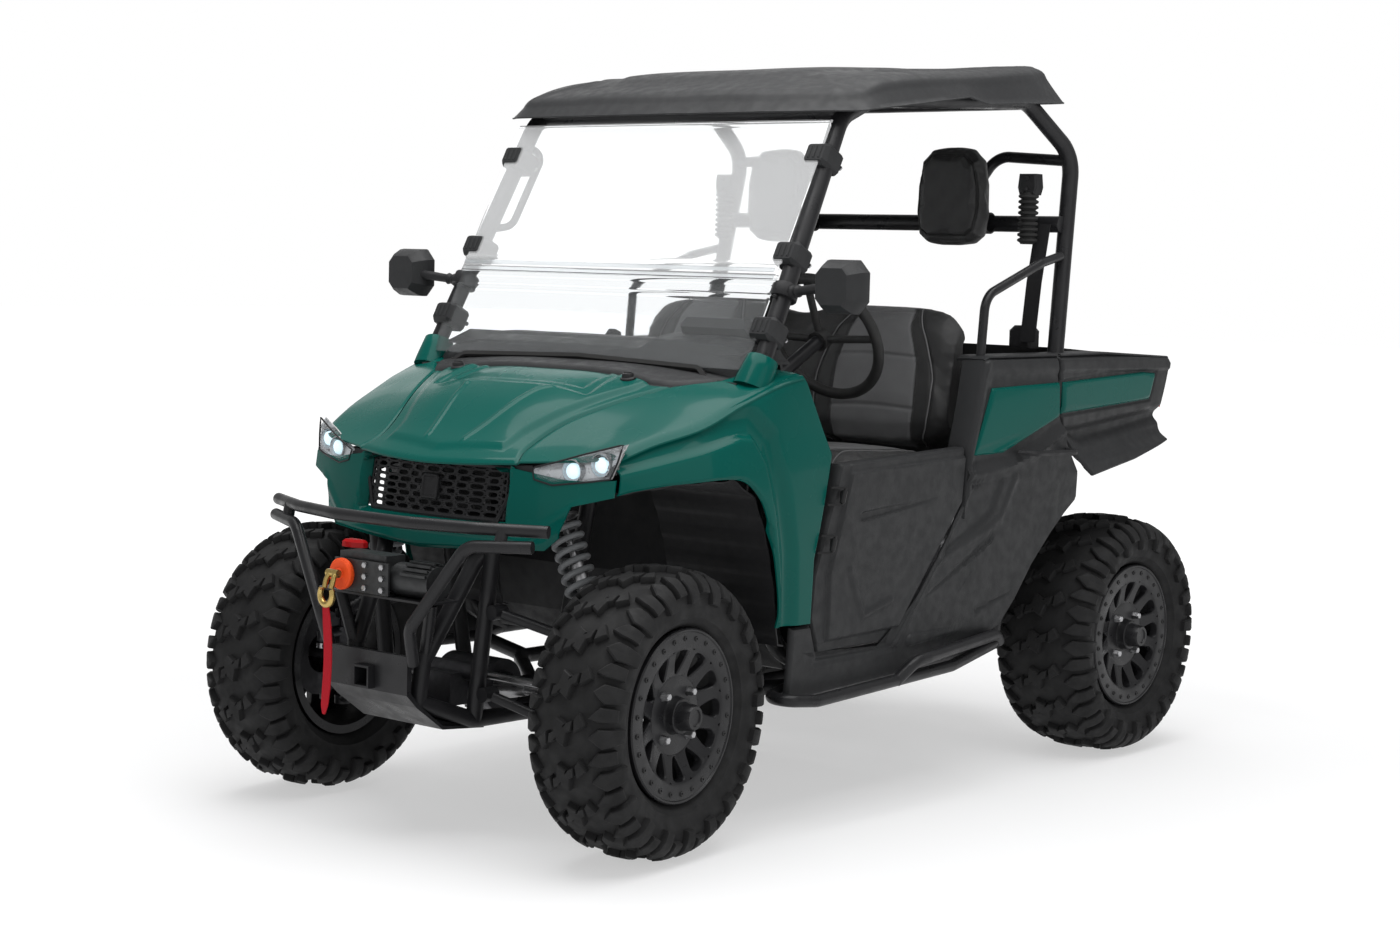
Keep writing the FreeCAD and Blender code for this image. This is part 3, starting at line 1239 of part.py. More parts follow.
DOOR_SHARES = ((0.306, 0.461), (0.576, 0.472), (0.574, 0.398), (0.435, 0.22), (0.283, 0.219),
               (0.262, 0.267), (0.264, 0.321))
DOOR_INNER_SHARES = ((0.32, 0.447), (0.563, 0.457), (0.561, 0.403), (0.429, 0.233), (0.291, 0.232),
                     (0.275, 0.267), (0.276, 0.32))
DOOR_HINGE_SHARES = ((0, 0.301, 0.422), (0, 0.283, 0.363))


def make_doors():
    """Half doors: a shell with a bevelled face, a slot and a fold, on two hinge barrels."""
    face = mm.door_face_x
    depth = mm.door_wall
    outer = side_prism(DOOR_SHARES, face - depth, face - depth / 3)
    low = [Vector(face - depth / 3, along * mm.wheelbase, up * mm.roof_height) for along, up in DOOR_SHARES]
    high = [Vector(face, along * mm.wheelbase, up * mm.roof_height) for along, up in DOOR_INNER_SHARES]
    crown = Part.makeLoft([Part.makePolygon(low + low[:1]), Part.makePolygon(high + high[:1])], True, True)
    door = outer.fuse(crown)
    pocket = side_prism(DOOR_INNER_SHARES, face - depth - mm.overrun, face - mm.panel_wall * 2)
    door = door.cut(pocket)
    places, along = door_hinges()
    pin = mm.hinge_pin_radius
    half = mm.hinge_length / 2
    shapes = [door]
    for place in places:
        shapes.append(rod(place - along * half, place + along * half, mm.hinge_radius))
        low = Vector(face - mm.overrun, place.y, place.z - half * 0.7)
        high = Vector(place.x + pin, place.y + mm.hinge_length * 0.7, place.z + half * 0.7)
        shapes.append(block(low, high))
    middle = (places[0] + places[1]) * 0.5
    reach = along * mm.roof_height
    bore = rod(middle - reach, middle + reach, pin + mm.fit_gap)
    door = joined(shapes).cut(bore)
    shaped("door_left", door)
    shaped("door_right", mirrored(door))


def steered(shape, side):
    """Turn a shape about its kingpin to the steering's rest angle."""
    turned = shape.copy()
    turned.rotate(Vector(side * mm.kingpin_x, 0, 0), Z_AXIS, mm.steer_rest)
    return turned


def make_knuckles():
    """Front uprights: kingpin stubs, the wheel's spindle and a forward steering arm."""
    pin_x = mm.kingpin_x
    axle_z = mm.tyre_radius
    half_length = mm.knuckle_length / 2
    half_height = mm.knuckle_height / 2
    low = Vector(pin_x - mm.knuckle_wall / 2, -half_length, axle_z - half_height)
    upright = block(low, low + Vector(mm.knuckle_wall, mm.knuckle_length, mm.knuckle_height))
    stub = mm.ball_offset + mm.ball_eye_height / 2
    pin_low = Vector(pin_x, 0, axle_z - stub)
    pin_high = Vector(pin_x, 0, axle_z + stub)
    pin = rod(pin_low, pin_high, mm.pin_radius)
    rim_face = mm.front_track_half + mm.front_tyre_width * RIM_WIDTH_SHARE + mm.ring_depth
    spindle_end = rim_face - mm.dish_depth - mm.moving_gap
    spindle = rod(Vector(pin_x, 0, axle_z), Vector(spindle_end, 0, axle_z), mm.spindle_radius)
    arm_top = axle_z + mm.steer_arm_rise
    arm_root = Vector(pin_x, 0, arm_top)
    arm_end = Vector(pin_x - mm.steer_arm_radius * 2, -mm.steer_arm_reach, arm_top)
    arm = rod(arm_root, arm_end, mm.steer_arm_radius)
    boss_height = mm.rod_end_wall
    boss = Part.makeCylinder(mm.rod_end_radius, boss_height * 2, arm_end - Z_AXIS * boss_height, Z_AXIS)
    knuckle = joined([upright, pin, spindle, arm, boss])
    shaped("knuckle_left", steered(knuckle, 1))
    shaped("knuckle_right", steered(mirrored(knuckle), -1))


def rack_height():
    """Height of the steering rack and its rods, just under the steering arms' ends."""
    return mm.tyre_radius + mm.steer_arm_rise - mm.rod_end_wall - mm.rod_radius - mm.fit_gap * 20


def make_tie_rods():
    """The rack bar and both tie rods, as one sliding piece, shifted to the steering's rest angle."""
    height = rack_height()
    end_x = mm.kingpin_x - mm.steer_arm_radius * 2
    along = -mm.steer_arm_reach
    bar = rod(Vector(-end_x, along, height), Vector(end_x, along, height), mm.rod_radius)
    ends = []
    for side in (-1, 1):
        foot = Vector(side * end_x, along, height - mm.rod_end_wall / 2)
        ends.append(Part.makeCylinder(mm.rod_end_radius, mm.rod_end_wall, foot, Z_AXIS))
    shift = mm.rack_travel * math.radians(mm.steer_rest)
    shaped("tie_rods", moved(joined([bar] + ends), x=shift))


WHEEL_CENTER_SHARES = (0.532, 0.463, 0.615)
COLUMN_FOOT_SHARES = (0.532, 0.255, 0.503)


def column_line():
    """Foot and head of the steering column; the foot just clears the dashboard's face."""
    head = spot(WHEEL_CENTER_SHARES)
    along = (head - spot(COLUMN_FOOT_SHARES)).normalize()
    first, second = [DASH_SHARES[corner] for corner in DASH_FACE_CORNERS]
    upper = Vector(head.x, first[0] * mm.wheelbase + mm.seat_gap, first[1] * mm.roof_height + mm.seat_gap)
    lower = Vector(head.x, second[0] * mm.wheelbase + mm.seat_gap, second[1] * mm.roof_height + mm.seat_gap)
    fall = (lower - upper).normalize()
    normal = Vector(0, -fall.z, fall.y)
    lean = along.dot(normal)
    clear = mm.seat_gap + mm.column_radius * math.sqrt(1 - lean * lean)
    foot = head - along * (((head - upper).dot(normal) - clear) / lean)
    return foot, head


def make_steering():
    """The column with its rack housing, and the steering wheel on the column's head."""
    foot, head = column_line()
    along = (head - foot).normalize()
    foot, head = column_line()
    hub_depth = mm.column_radius * 2
    column_end = head - along * (hub_depth * 0.8 + mm.seat_gap)
    column = rod(foot, column_end, mm.column_radius)
    radius = mm.rack_radius
    height = rack_height()
    half = mm.rack_length / 2
    start = Vector(-half, -mm.steer_arm_reach, height)
    housing = rod(start, start + X_AXIS * mm.rack_length, radius)
    cross = spot(CROSS_PLACES["nose_cross"])
    foot_low = cross.z + mm.frame_tube_radius + mm.seat_gap
    bracket = block(Vector(-half / 2, cross.y, foot_low),
                    Vector(half / 2, -mm.steer_arm_reach, height))
    bore_end = start + X_AXIS * (mm.rack_length + radius)
    bore = rod(start - X_AXIS * radius, bore_end, mm.rod_radius + mm.fit_gap)
    rack = housing.fuse(bracket).cut(bore).removeSplitter()
    shaped("steering_rack", rack)
    shaped("steering_column", column)
    ring = Part.makeTorus(mm.steering_wheel_radius, mm.steering_grip_radius, Vector(0, 0, 0), Z_AXIS)
    hub = Part.makeCylinder(mm.column_radius * 1.6, hub_depth * 0.8, Vector(0, 0, -hub_depth * 0.8), Z_AXIS)
    spokes = []
    for angle in (0, 180, 270):
        turn = math.radians(angle)
        tip = Vector(math.cos(turn), math.sin(turn), 0) * mm.steering_wheel_radius
        spokes.append(rod(Vector(0, 0, -hub_depth * 0.4), tip, mm.steering_grip_radius * 0.7))
    wheel = joined([ring, hub] + spokes)
    turn = FreeCAD.Rotation(Z_AXIS, along)
    wheel.Placement = FreeCAD.Placement(head, turn)
    shaped("steering_wheel", wheel)


UPPER_ARM_SHARES = (0, 0, 0.286)
LOWER_ARM_SHARES = (0, 0, 0.184)
SHOCK_FOOT_SHARE = 0.7


def upright_x(shares, height):
    """Where a slanted frame upright stands at a height."""
    low, high = spot(shares[0]), spot(shares[1])
    return low + (high - low) * ((height - low.z) / (high.z - low.z))


def arm_eyes(uprights, height):
    """Middle places of a wishbone's two inner eyes, beside the frame's uprights."""
    eye_places = []
    for shares in uprights:
        low, high = spot(shares[0]), spot(shares[1])
        slope = (high - low).normalize()
        on_post = upright_x(shares, height)
        out = Vector(slope.z, 0, -slope.x).normalize()
        clear = mm.frame_tube_radius + mm.arm_eye_radius + mm.seat_gap
        eye_places.append(on_post + out * clear)
    return eye_places


def arm_pair(eyes, ball):
    """A wishbone: two inner eyes joined to an eye on the kingpin, with a tie between its tubes."""
    pieces = []
    for place in eyes:
        start = place - Y_AXIS * mm.arm_eye_length / 2
        pieces.append(rod(start, start + Y_AXIS * mm.arm_eye_length, mm.arm_eye_radius))
        pieces.append(rod(place, ball, mm.arm_tube_radius))
    ends = [place + (ball - place) * SHOCK_FOOT_SHARE for place in eyes]
    pieces.append(rod(ends[0], ends[1], mm.arm_tube_radius))
    eye_foot = ball - Z_AXIS * mm.ball_eye_height / 2
    pieces.append(Part.makeCylinder(mm.ball_eye_radius, mm.ball_eye_height, eye_foot, Z_AXIS))
    bore = Part.makeCylinder(mm.pin_radius + mm.fit_gap, mm.ball_eye_height * 4,
                             ball - Z_AXIS * mm.ball_eye_height * 2, Z_AXIS)
    return joined(pieces).cut(bore)


def ball_heights():
    """Heights of the lower and upper wishbone's outer eye."""
    return mm.tyre_radius - mm.ball_offset, mm.tyre_radius + mm.ball_offset


def make_suspension():
    """Wishbones front and rear, spring and damper units, and the rear wheel carriers."""
    low_z, high_z = ball_heights()
    arms = []
    dampers = []
    springs = []
    corners = (
        ((FORE_UPRIGHT_SHARES, AFT_UPRIGHT_SHARES), 0, UPPER_RAIL_SHARES[2:4]),
        ((REAR_UPRIGHT_SHARES, TAIL_UPRIGHT_SHARES), mm.wheelbase, BED_RAIL_SHARES[1:3]),
    )
    for uprights, axle_y, rail in corners:
        lower_eyes = arm_eyes(uprights, spot(LOWER_ARM_SHARES).z)
        upper_eyes = arm_eyes(uprights, spot(UPPER_ARM_SHARES).z)
        upper_ball = Vector(mm.kingpin_x, axle_y, high_z)
        arms.append(arm_pair(lower_eyes, Vector(mm.kingpin_x, axle_y, low_z)))
        arms.append(arm_pair(upper_eyes, upper_ball))
        tie_ends = [eye + (upper_ball - eye) * SHOCK_FOOT_SHARE for eye in upper_eyes]
        foot = (tie_ends[0] + tie_ends[1]) * 0.5
        tie_axis = (tie_ends[1] - tie_ends[0]).normalize()
        rail_start, rail_end = spot(rail[0]), spot(rail[1])
        rail_run = rail_end - rail_start
        hang = rail_start + rail_run * ((foot.y - rail_start.y) / rail_run.y)
        down = (foot - hang).normalize()
        top = hang + down * (mm.frame_tube_radius + mm.damper_eye_radius + mm.seat_gap)
        bottom = foot - down * (mm.arm_tube_radius + mm.damper_eye_radius + mm.seat_gap)
        damper, spring = shock(top, bottom, rail_run.normalize(), tie_axis)
        dampers.append(damper)
        springs.append(spring)
    shaped("suspension_arms", Part.Compound(both_sides(arms)))
    shaped("shock_dampers", Part.Compound(both_sides(dampers)))
    shaped("shock_springs", Part.Compound(both_sides(springs)))
    shaped("rear_carriers", Part.Compound(both_sides([rear_carrier(low_z, high_z)])))


def shock(top, bottom, top_axis, bottom_axis):
    """A damper with its spring seats and eyes, and the coil around it."""
    run = bottom - top
    down = (bottom - top).normalize()
    eye = mm.damper_eye_radius
    seat = mm.spring_seat_wall
    wire = mm.spring_wire_radius
    upper_seat = top + down * eye * 1.6
    lower_seat = bottom - down * eye * 2.2
    pieces = [rod(top, bottom - down * run.Length * 0.4, mm.damper_rod_radius),
              rod(top + down * run.Length * 0.45, bottom, mm.damper_radius)]
    for place in (upper_seat, lower_seat):
        pieces.append(rod(place, place + down * seat, mm.spring_radius + wire))
    for place, axis in ((top, top_axis), (bottom, bottom_axis)):
        pieces.append(rod(place - axis * eye, place + axis * eye, eye))
    start = upper_seat + down * (seat + mm.seat_gap + wire)
    length = (lower_seat - start).Length - wire - mm.seat_gap
    helix = Part.makeHelix(length / mm.spring_turns, length, mm.spring_radius)
    ring = Part.Wire(Part.makeCircle(wire, Vector(mm.spring_radius, 0, 0), Y_AXIS))
    coil = Part.Wire(helix.Edges).makePipeShell([ring], True, True)
    coil.Placement = FreeCAD.Placement(start, FreeCAD.Rotation(Z_AXIS, down))
    return joined(pieces), coil


def rear_carrier(low_z, high_z):
    """A rear upright between its wishbones' eyes, with the wheel's spindle."""
    axle = Vector(mm.kingpin_x, mm.wheelbase, mm.tyre_radius)
    half = Vector(mm.knuckle_wall / 2, mm.knuckle_length / 2, mm.knuckle_height / 2)
    upright = block(axle - half, axle + half)
    stub = mm.ball_eye_height / 2
    pin = rod(Vector(axle.x, axle.y, low_z - stub), Vector(axle.x, axle.y, high_z + stub), mm.pin_radius)
    face = mm.rear_tyre_width * RIM_WIDTH_SHARE + mm.ring_depth
    reach = mm.rear_track_half + face - mm.dish_depth - mm.moving_gap
    spindle = rod(axle, Vector(reach, axle.y, axle.z), mm.spindle_radius)
    return joined([upright, pin, spindle])


ENGINE_LOW_SHARES = (-0.242, 0.743, 0.179)
ENGINE_HIGH_SHARES = (0.242, 0.897, 0.369)
GEARBOX_HALF_SHARES = (0.135, 0.033, 0)
MUFFLER_SHARES = ((-0.347, 1.058, 0.278), (0.347, 1.058, 0.278))
RADIATOR_SHARES = ((-0.242, -0.063, 0.391), (0.242, -0.045, 0.461))


def make_drivetrain():
    """Engine block, final drives, half shafts with their boots, muffler and radiator."""
    seat = mm.seat_gap
    engine_low = spot(ENGINE_LOW_SHARES)
    cross = spot(CROSS_PLACES["engine_fore_cross"])
    engine_low.z = cross.z + mm.frame_tube_radius + seat
    engine_body = block(engine_low, spot(ENGINE_HIGH_SHARES))
    shaped("engine_block", engine_body)
    half = spot(GEARBOX_HALF_SHARES)
    boxes = []
    shafts = []
    for axle_y, cross_name in ((0, "axle_cross"), (mm.wheelbase, "tail_cross")):
        center = Vector(0, axle_y, mm.tyre_radius)
        case = rod(center - X_AXIS * half.x, center + X_AXIS * half.x, half.y)
        cross = spot(CROSS_PLACES[cross_name])
        foot_low = Vector(-half.x / 2, center.y, cross.z - mm.shaft_radius)
        foot_high = Vector(half.x / 2, cross.y - mm.frame_tube_radius - seat, cross.z + mm.shaft_radius)
        boxes.append(joined([case, block(foot_low, foot_high)]))
        for side in (-1, 1):
            start = center + X_AXIS * side * (half.x + seat)
            end = center + X_AXIS * side * (mm.kingpin_x - mm.knuckle_wall - mm.moving_gap)
            boot = mm.boot_length
            shaft = rod(start, end, mm.shaft_radius)
            inner = Part.makeCone(mm.boot_radius, mm.shaft_radius * 1.2, boot, start, X_AXIS * side)
            outer = Part.makeCone(mm.shaft_radius * 1.2, mm.boot_radius * 0.9, boot * 0.7,
                                  end - X_AXIS * side * boot * 0.7, X_AXIS * side)
            shafts.append(joined([shaft, inner, outer]))
    shaped("final_drives", Part.Compound(boxes))
    shaped("half_shafts", Part.Compound(shafts))
    behind = Y_AXIS * (mm.frame_tube_radius + seat + mm.boot_radius * 2)
    start, end = [spot(shares) + behind for shares in MUFFLER_SHARES]
    shaped("muffler", rod(start, end, mm.boot_radius * 2))
    low, high = [spot(shares) for shares in RADIATOR_SHARES]
    low.z += mm.frame_tube_radius + seat
    shaped("radiator", block(low, high))


WINCH_SHARES = (0, -0.159, 0.324)
FAIRLEAD_SHARES = ((-0.19, 0.303), (0.097, 0.303), (0.097, 0.342), (-0.19, 0.342))
HOOK_SHARES = (-0.139, -0.212, 0.299)


def make_winch():
    """An electric winch: drum between end housings, motor, hawse plate, hook and pull strap."""
    center = spot(WINCH_SHARES)
    tray_top = spot(TRAY_SHARES).z + mm.plate_wall + mm.seat_gap
    radius = mm.winch_drum_radius
    motor = mm.winch_motor_radius
    middle_z = tray_top + motor
    drum = rod(Vector(-radius * 3, center.y, middle_z), Vector(radius * 1.6, center.y, middle_z), radius)
    can = rod(Vector(radius * 1.6, center.y, middle_z), Vector(radius * 5.4, center.y, middle_z), motor)
    gears = rod(Vector(-radius * 4, center.y, middle_z), Vector(-radius * 2.8, center.y, middle_z), motor)
    box_half = motor * 0.9
    cover = block(Vector(-radius * 3.6, center.y - box_half, middle_z + radius * 0.7),
                  Vector(radius * 1.2, center.y + box_half * 0.7, middle_z + radius * 1.6))
    face_y = center.y - motor - mm.plate_wall
    hawse = front_prism(FAIRLEAD_SHARES, face_y - mm.plate_wall, face_y)
    foot_top = tray_top + mm.plate_wall
    foot = block(Vector(-radius * 3, face_y, tray_top), Vector(radius * 1.5, center.y, foot_top))
    shaped("winch", joined([drum, can, gears, cover, hawse, foot]))
    hook_at = spot(HOOK_SHARES)
    wire = mm.hook_wire_radius
    hook_at.y = wire - mm.hook_reach
    bend = wire * 2.2
    eye_z = hook_at.z + bend * 3
    shank = [Vector(hook_at.x, face_y - mm.plate_wall - mm.seat_gap, eye_z),
             Vector(hook_at.x, hook_at.y, eye_z), Vector(hook_at.x, hook_at.y, hook_at.z + bend)]
    stem = bent_path(shank, bend)
    ring = Part.Wire(Part.makeCircle(wire, shank[0], shank[1] - shank[0]))
    stem_solid = stem.makePipeShell([ring], True, True)
    bowl = Part.makeTorus(bend, wire, Vector(hook_at.x, hook_at.y, hook_at.z), Y_AXIS)
    shaped("winch_hook", joined([stem_solid, bowl]))
    strap_top = hook_at.z - bend + wire + mm.seat_gap
    half = mm.strap_width / 2
    half_wall = mm.strap_wall / 2
    below_wire = strap_top - 2 * wire - 2 * mm.seat_gap
    hang = block(Vector(hook_at.x - half, hook_at.y - half_wall, strap_top - mm.strap_length),
                 Vector(hook_at.x + half, hook_at.y + half_wall, below_wire))
    shaped("pull_strap", hang)


STEP_SHARES = ((0.845, 0.28, 0.173), (0.903, 0.213, 0.17), (1.003, 0.208, 0.17), (1.035, 0.255, 0.166),
               (1.032, 0.552, 0.178), (1.013, 0.674, 0.199), (0.903, 0.685, 0.182))
STEP_RAISED_SHARES = ((1.032, 0.424, 0.171), (1.068, 0.451, 0.196), (1.071, 0.477, 0.199),
                      (1.032, 0.658, 0.21), (1.013, 0.675, 0.198))
BELT_SHARES = ((0.802, 0.695), (0.79, 0.61))
BELT_PLACE_SHARES = (0.839, 0, 0)
LINER_OUTER_SHARES = ((-0.029, 0.432), (0.032, 0.443), (0.106, 0.445), (0.139, 0.424), (0.159, 0.377),
                      (0.181, 0.305), (0.194, 0.235), (0.211, 0.235), (0.211, 0.241), (0.199, 0.241),
                      (0.187, 0.306), (0.164, 0.38), (0.143, 0.428), (0.108, 0.45), (0.031, 0.448),
                      (-0.029, 0.437))
TAIL_LAMP_SHARES = ((0.927, 1.061, 0.513), (1.032, 1.08, 0.561))


def make_trim(front_inner):
    """Side steps, seat belts, wheel liners and tail lamps."""
    radius = mm.step_tube_radius
    bar = tube(STEP_SHARES, radius, mm.step_bend)
    raised = tube(STEP_RAISED_SHARES, radius, mm.step_bend)
    step = joined([bar, raised]).cut(tube_room((SIDE_RAIL_SHARES,)))
    shaped("side_steps", Part.Compound(both_sides([step])))
    x = spot(BELT_PLACE_SHARES).x
    bar_at = spot(CAGE_CROSS_PLACES["back_bar"])
    line = [Vector(x, bar_at.y - mm.cage_tube_radius - mm.seat_gap, bar_at.z)]
    line += [Vector(x, along * mm.wheelbase, up * mm.roof_height) for along, up in BELT_SHARES]
    ahead = [place - Y_AXIS * mm.belt_wall for place in reversed(line)]
    belt = prism(line + ahead, X_AXIS * mm.belt_width)
    shaped("seat_belts", Part.Compound(both_sides([belt])))
    liner = side_prism(LINER_OUTER_SHARES, mm.body_half_width * 0.47, mm.body_half_width)
    shaped("wheel_liners", Part.Compound(both_sides([liner.common(front_inner)])))
    low, high = spot(TAIL_LAMP_SHARES[0]), spot(TAIL_LAMP_SHARES[1])
    low.x = mm.bed_half_width + mm.seat_gap
    shaped("tail_lamps", Part.Compound(both_sides([block(low, high)])))


def check_and_write():
    """Stop if any object failed or any sub-part is not a sound solid, then write the files."""
    doc.recompute()
    failed = [item.Label for item in doc.Objects if "Invalid" in item.State or "Error" in item.State]
    if failed:
        raise RuntimeError(f"failed objects: {failed}")
    os.makedirs("parts", exist_ok=True)
    for item in SUB_PARTS:
        shape = item.Shape
        if shape.isNull() or not shape.isValid() or not shape.Solids:
            raise RuntimeError(f"{item.Label} is not a sound solid")
    for item in SUB_PARTS:
        item.Shape.exportStep(f"parts/{item.Label}.step")


make_frame()
make_cage()
make_bumper()
make_receivers()
front_room = make_front_panels()
make_cowl()
make_cab()
make_headrests()
make_roof()
make_screen()
make_clamps()
make_mirrors()
make_quarters()
make_bed()
make_doors()
make_knuckles()
make_tie_rods()
make_steering()
make_suspension()
make_drivetrain()
make_winch()
make_trim(front_room)
make_wheels()
check_and_write()
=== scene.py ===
"""Looks of a compact side by side utility vehicle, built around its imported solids."""
import json
import math

import bmesh
import bpy
import numpy as np
from mathutils import Matrix, Vector
from mathutils.bvhtree import BVHTree


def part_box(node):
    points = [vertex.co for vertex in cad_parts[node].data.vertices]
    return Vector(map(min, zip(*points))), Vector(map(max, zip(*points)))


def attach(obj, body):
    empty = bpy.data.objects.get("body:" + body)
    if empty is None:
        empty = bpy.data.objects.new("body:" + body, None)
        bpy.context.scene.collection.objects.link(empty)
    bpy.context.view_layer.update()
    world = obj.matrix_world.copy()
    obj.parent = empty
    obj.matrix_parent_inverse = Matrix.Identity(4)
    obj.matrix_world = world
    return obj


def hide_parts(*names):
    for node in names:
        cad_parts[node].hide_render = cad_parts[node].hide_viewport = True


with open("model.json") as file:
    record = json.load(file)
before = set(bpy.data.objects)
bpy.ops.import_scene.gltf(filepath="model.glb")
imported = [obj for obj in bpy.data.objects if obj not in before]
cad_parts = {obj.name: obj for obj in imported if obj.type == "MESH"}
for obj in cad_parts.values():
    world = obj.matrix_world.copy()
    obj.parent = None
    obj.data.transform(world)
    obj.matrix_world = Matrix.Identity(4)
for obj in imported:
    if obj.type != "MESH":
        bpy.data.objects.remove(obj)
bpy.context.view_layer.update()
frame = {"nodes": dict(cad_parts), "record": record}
AXLE_Y = -0.903
TYRE = 0.33
SIDES = ((1, "left"), (-1, "right"))
SEAT_ACROSS = 298
BENCH_HALF = 536
# Radius at which a turned profile ends on its own axis.
AXIS = 0.0001
SENSOR_WIDTH, PHOTO_WIDTH, FOCAL_LENGTH = 36, 1400, 2461.28
CAMERA_TURNS = (-40.0073, -4.7567, 1.5443)
CAMERA_PLACE = (4.09431, -4.08204 + AXLE_Y, 1.33196)
FLOOR_REACH = 40


def mesh_of(name, points, faces):
    """A new mesh of points and faces."""
    mesh = bpy.data.meshes.new(name)
    mesh.from_pydata(np.asarray(points).tolist(), [], faces)
    return mesh


def linked(name, data):
    """A new object of some data, linked into the scene."""
    made = bpy.data.objects.new(name, data)
    bpy.context.collection.objects.link(made)
    return made


def place_camera():
    """Stand the camera where the photograph was taken: position, heading, pitch and roll."""
    yaw, pitch, roll = np.radians(CAMERA_TURNS)
    ahead = np.array((np.sin(yaw) * np.cos(pitch), np.cos(yaw) * np.cos(pitch), np.sin(pitch)))
    right = np.cross(ahead, (0, 0, 1))
    right /= np.linalg.norm(right)
    up = np.cross(right, ahead)
    side = right * np.cos(roll) + up * np.sin(roll)
    top = up * np.cos(roll) - right * np.sin(roll)
    turned = np.eye(4)
    turned[:3, 0], turned[:3, 1], turned[:3, 2] = side, top, -ahead
    turned[:3, 3] = CAMERA_PLACE
    lens = bpy.data.cameras.new("photo_view")
    lens.sensor_width = SENSOR_WIDTH
    lens.lens = FOCAL_LENGTH / PHOTO_WIDTH * SENSOR_WIDTH
    camera = linked("photo_view", lens)
    camera.matrix_world = Matrix(turned.tolist())
    bpy.context.scene.camera = camera


def soft_light(name, place, aim, size, power):
    """A rectangular lamp at a place, turned to its aim and unseen through the panes."""
    lamp = bpy.data.lights.new(name, "AREA")
    lamp.shape = "RECTANGLE"
    lamp.size, lamp.size_y = size
    lamp.energy = power
    holder = linked(name, lamp)
    way = Vector(aim) - Vector(place)
    holder.matrix_world = Matrix.Translation(place) @ way.to_track_quat("-Z", "Y").to_matrix().to_4x4()
    holder.visible_transmission = False


def light_studio():
    """A broad ceiling light, three side banks and a floor, in a room that is white to the camera
    and through the panes, and dimmer as a light."""
    soft_light("ceiling", (0.4, -0.4, 4.6), (0, 0, 0), (5, 5), 300)
    soft_light("left_bank", (5.2, -1.2, 2.4), (0, 0, 0.7), (4, 3), 30)
    soft_light("front_bank", (0.8, -6.2, 2.2), (0, 0, 0.8), (4, 2.6), 14)
    soft_light("back_bank", (-4.5, 4.0, 3.2), (0, 0, 0.8), (4, 3), 26)
    world = bpy.data.worlds.new("pale_room")
    world.use_nodes = True
    nodes, join = world.node_tree.nodes, world.node_tree.links.new
    room = nodes["Background"]
    room.inputs["Color"].default_value = (1.0, 1.0, 1.0, 1)
    path, seen, bright = (nodes.new(f"ShaderNode{kind}") for kind in ("LightPath", "Math", "MapRange"))
    seen.operation = "MAXIMUM"
    join(path.outputs["Is Camera Ray"], seen.inputs[0])
    join(path.outputs["Is Transmission Ray"], seen.inputs[1])
    bright.inputs["To Min"].default_value, bright.inputs["To Max"].default_value = 0.4, 1.0
    join(seen.outputs[0], bright.inputs["Value"])
    join(bright.outputs["Result"], room.inputs["Strength"])
    bpy.context.scene.world = world
    bpy.context.scene.view_settings.view_transform = "Standard"
    corners = [(x * FLOOR_REACH, y * FLOOR_REACH, 0) for x, y in ((-1, -1), (1, -1), (1, 1), (-1, 1))]
    mesh = mesh_of("floor", corners, [(0, 1, 2, 3)])
    mesh.materials.append(FINISH["studio_floor"])
    linked("floor", mesh)


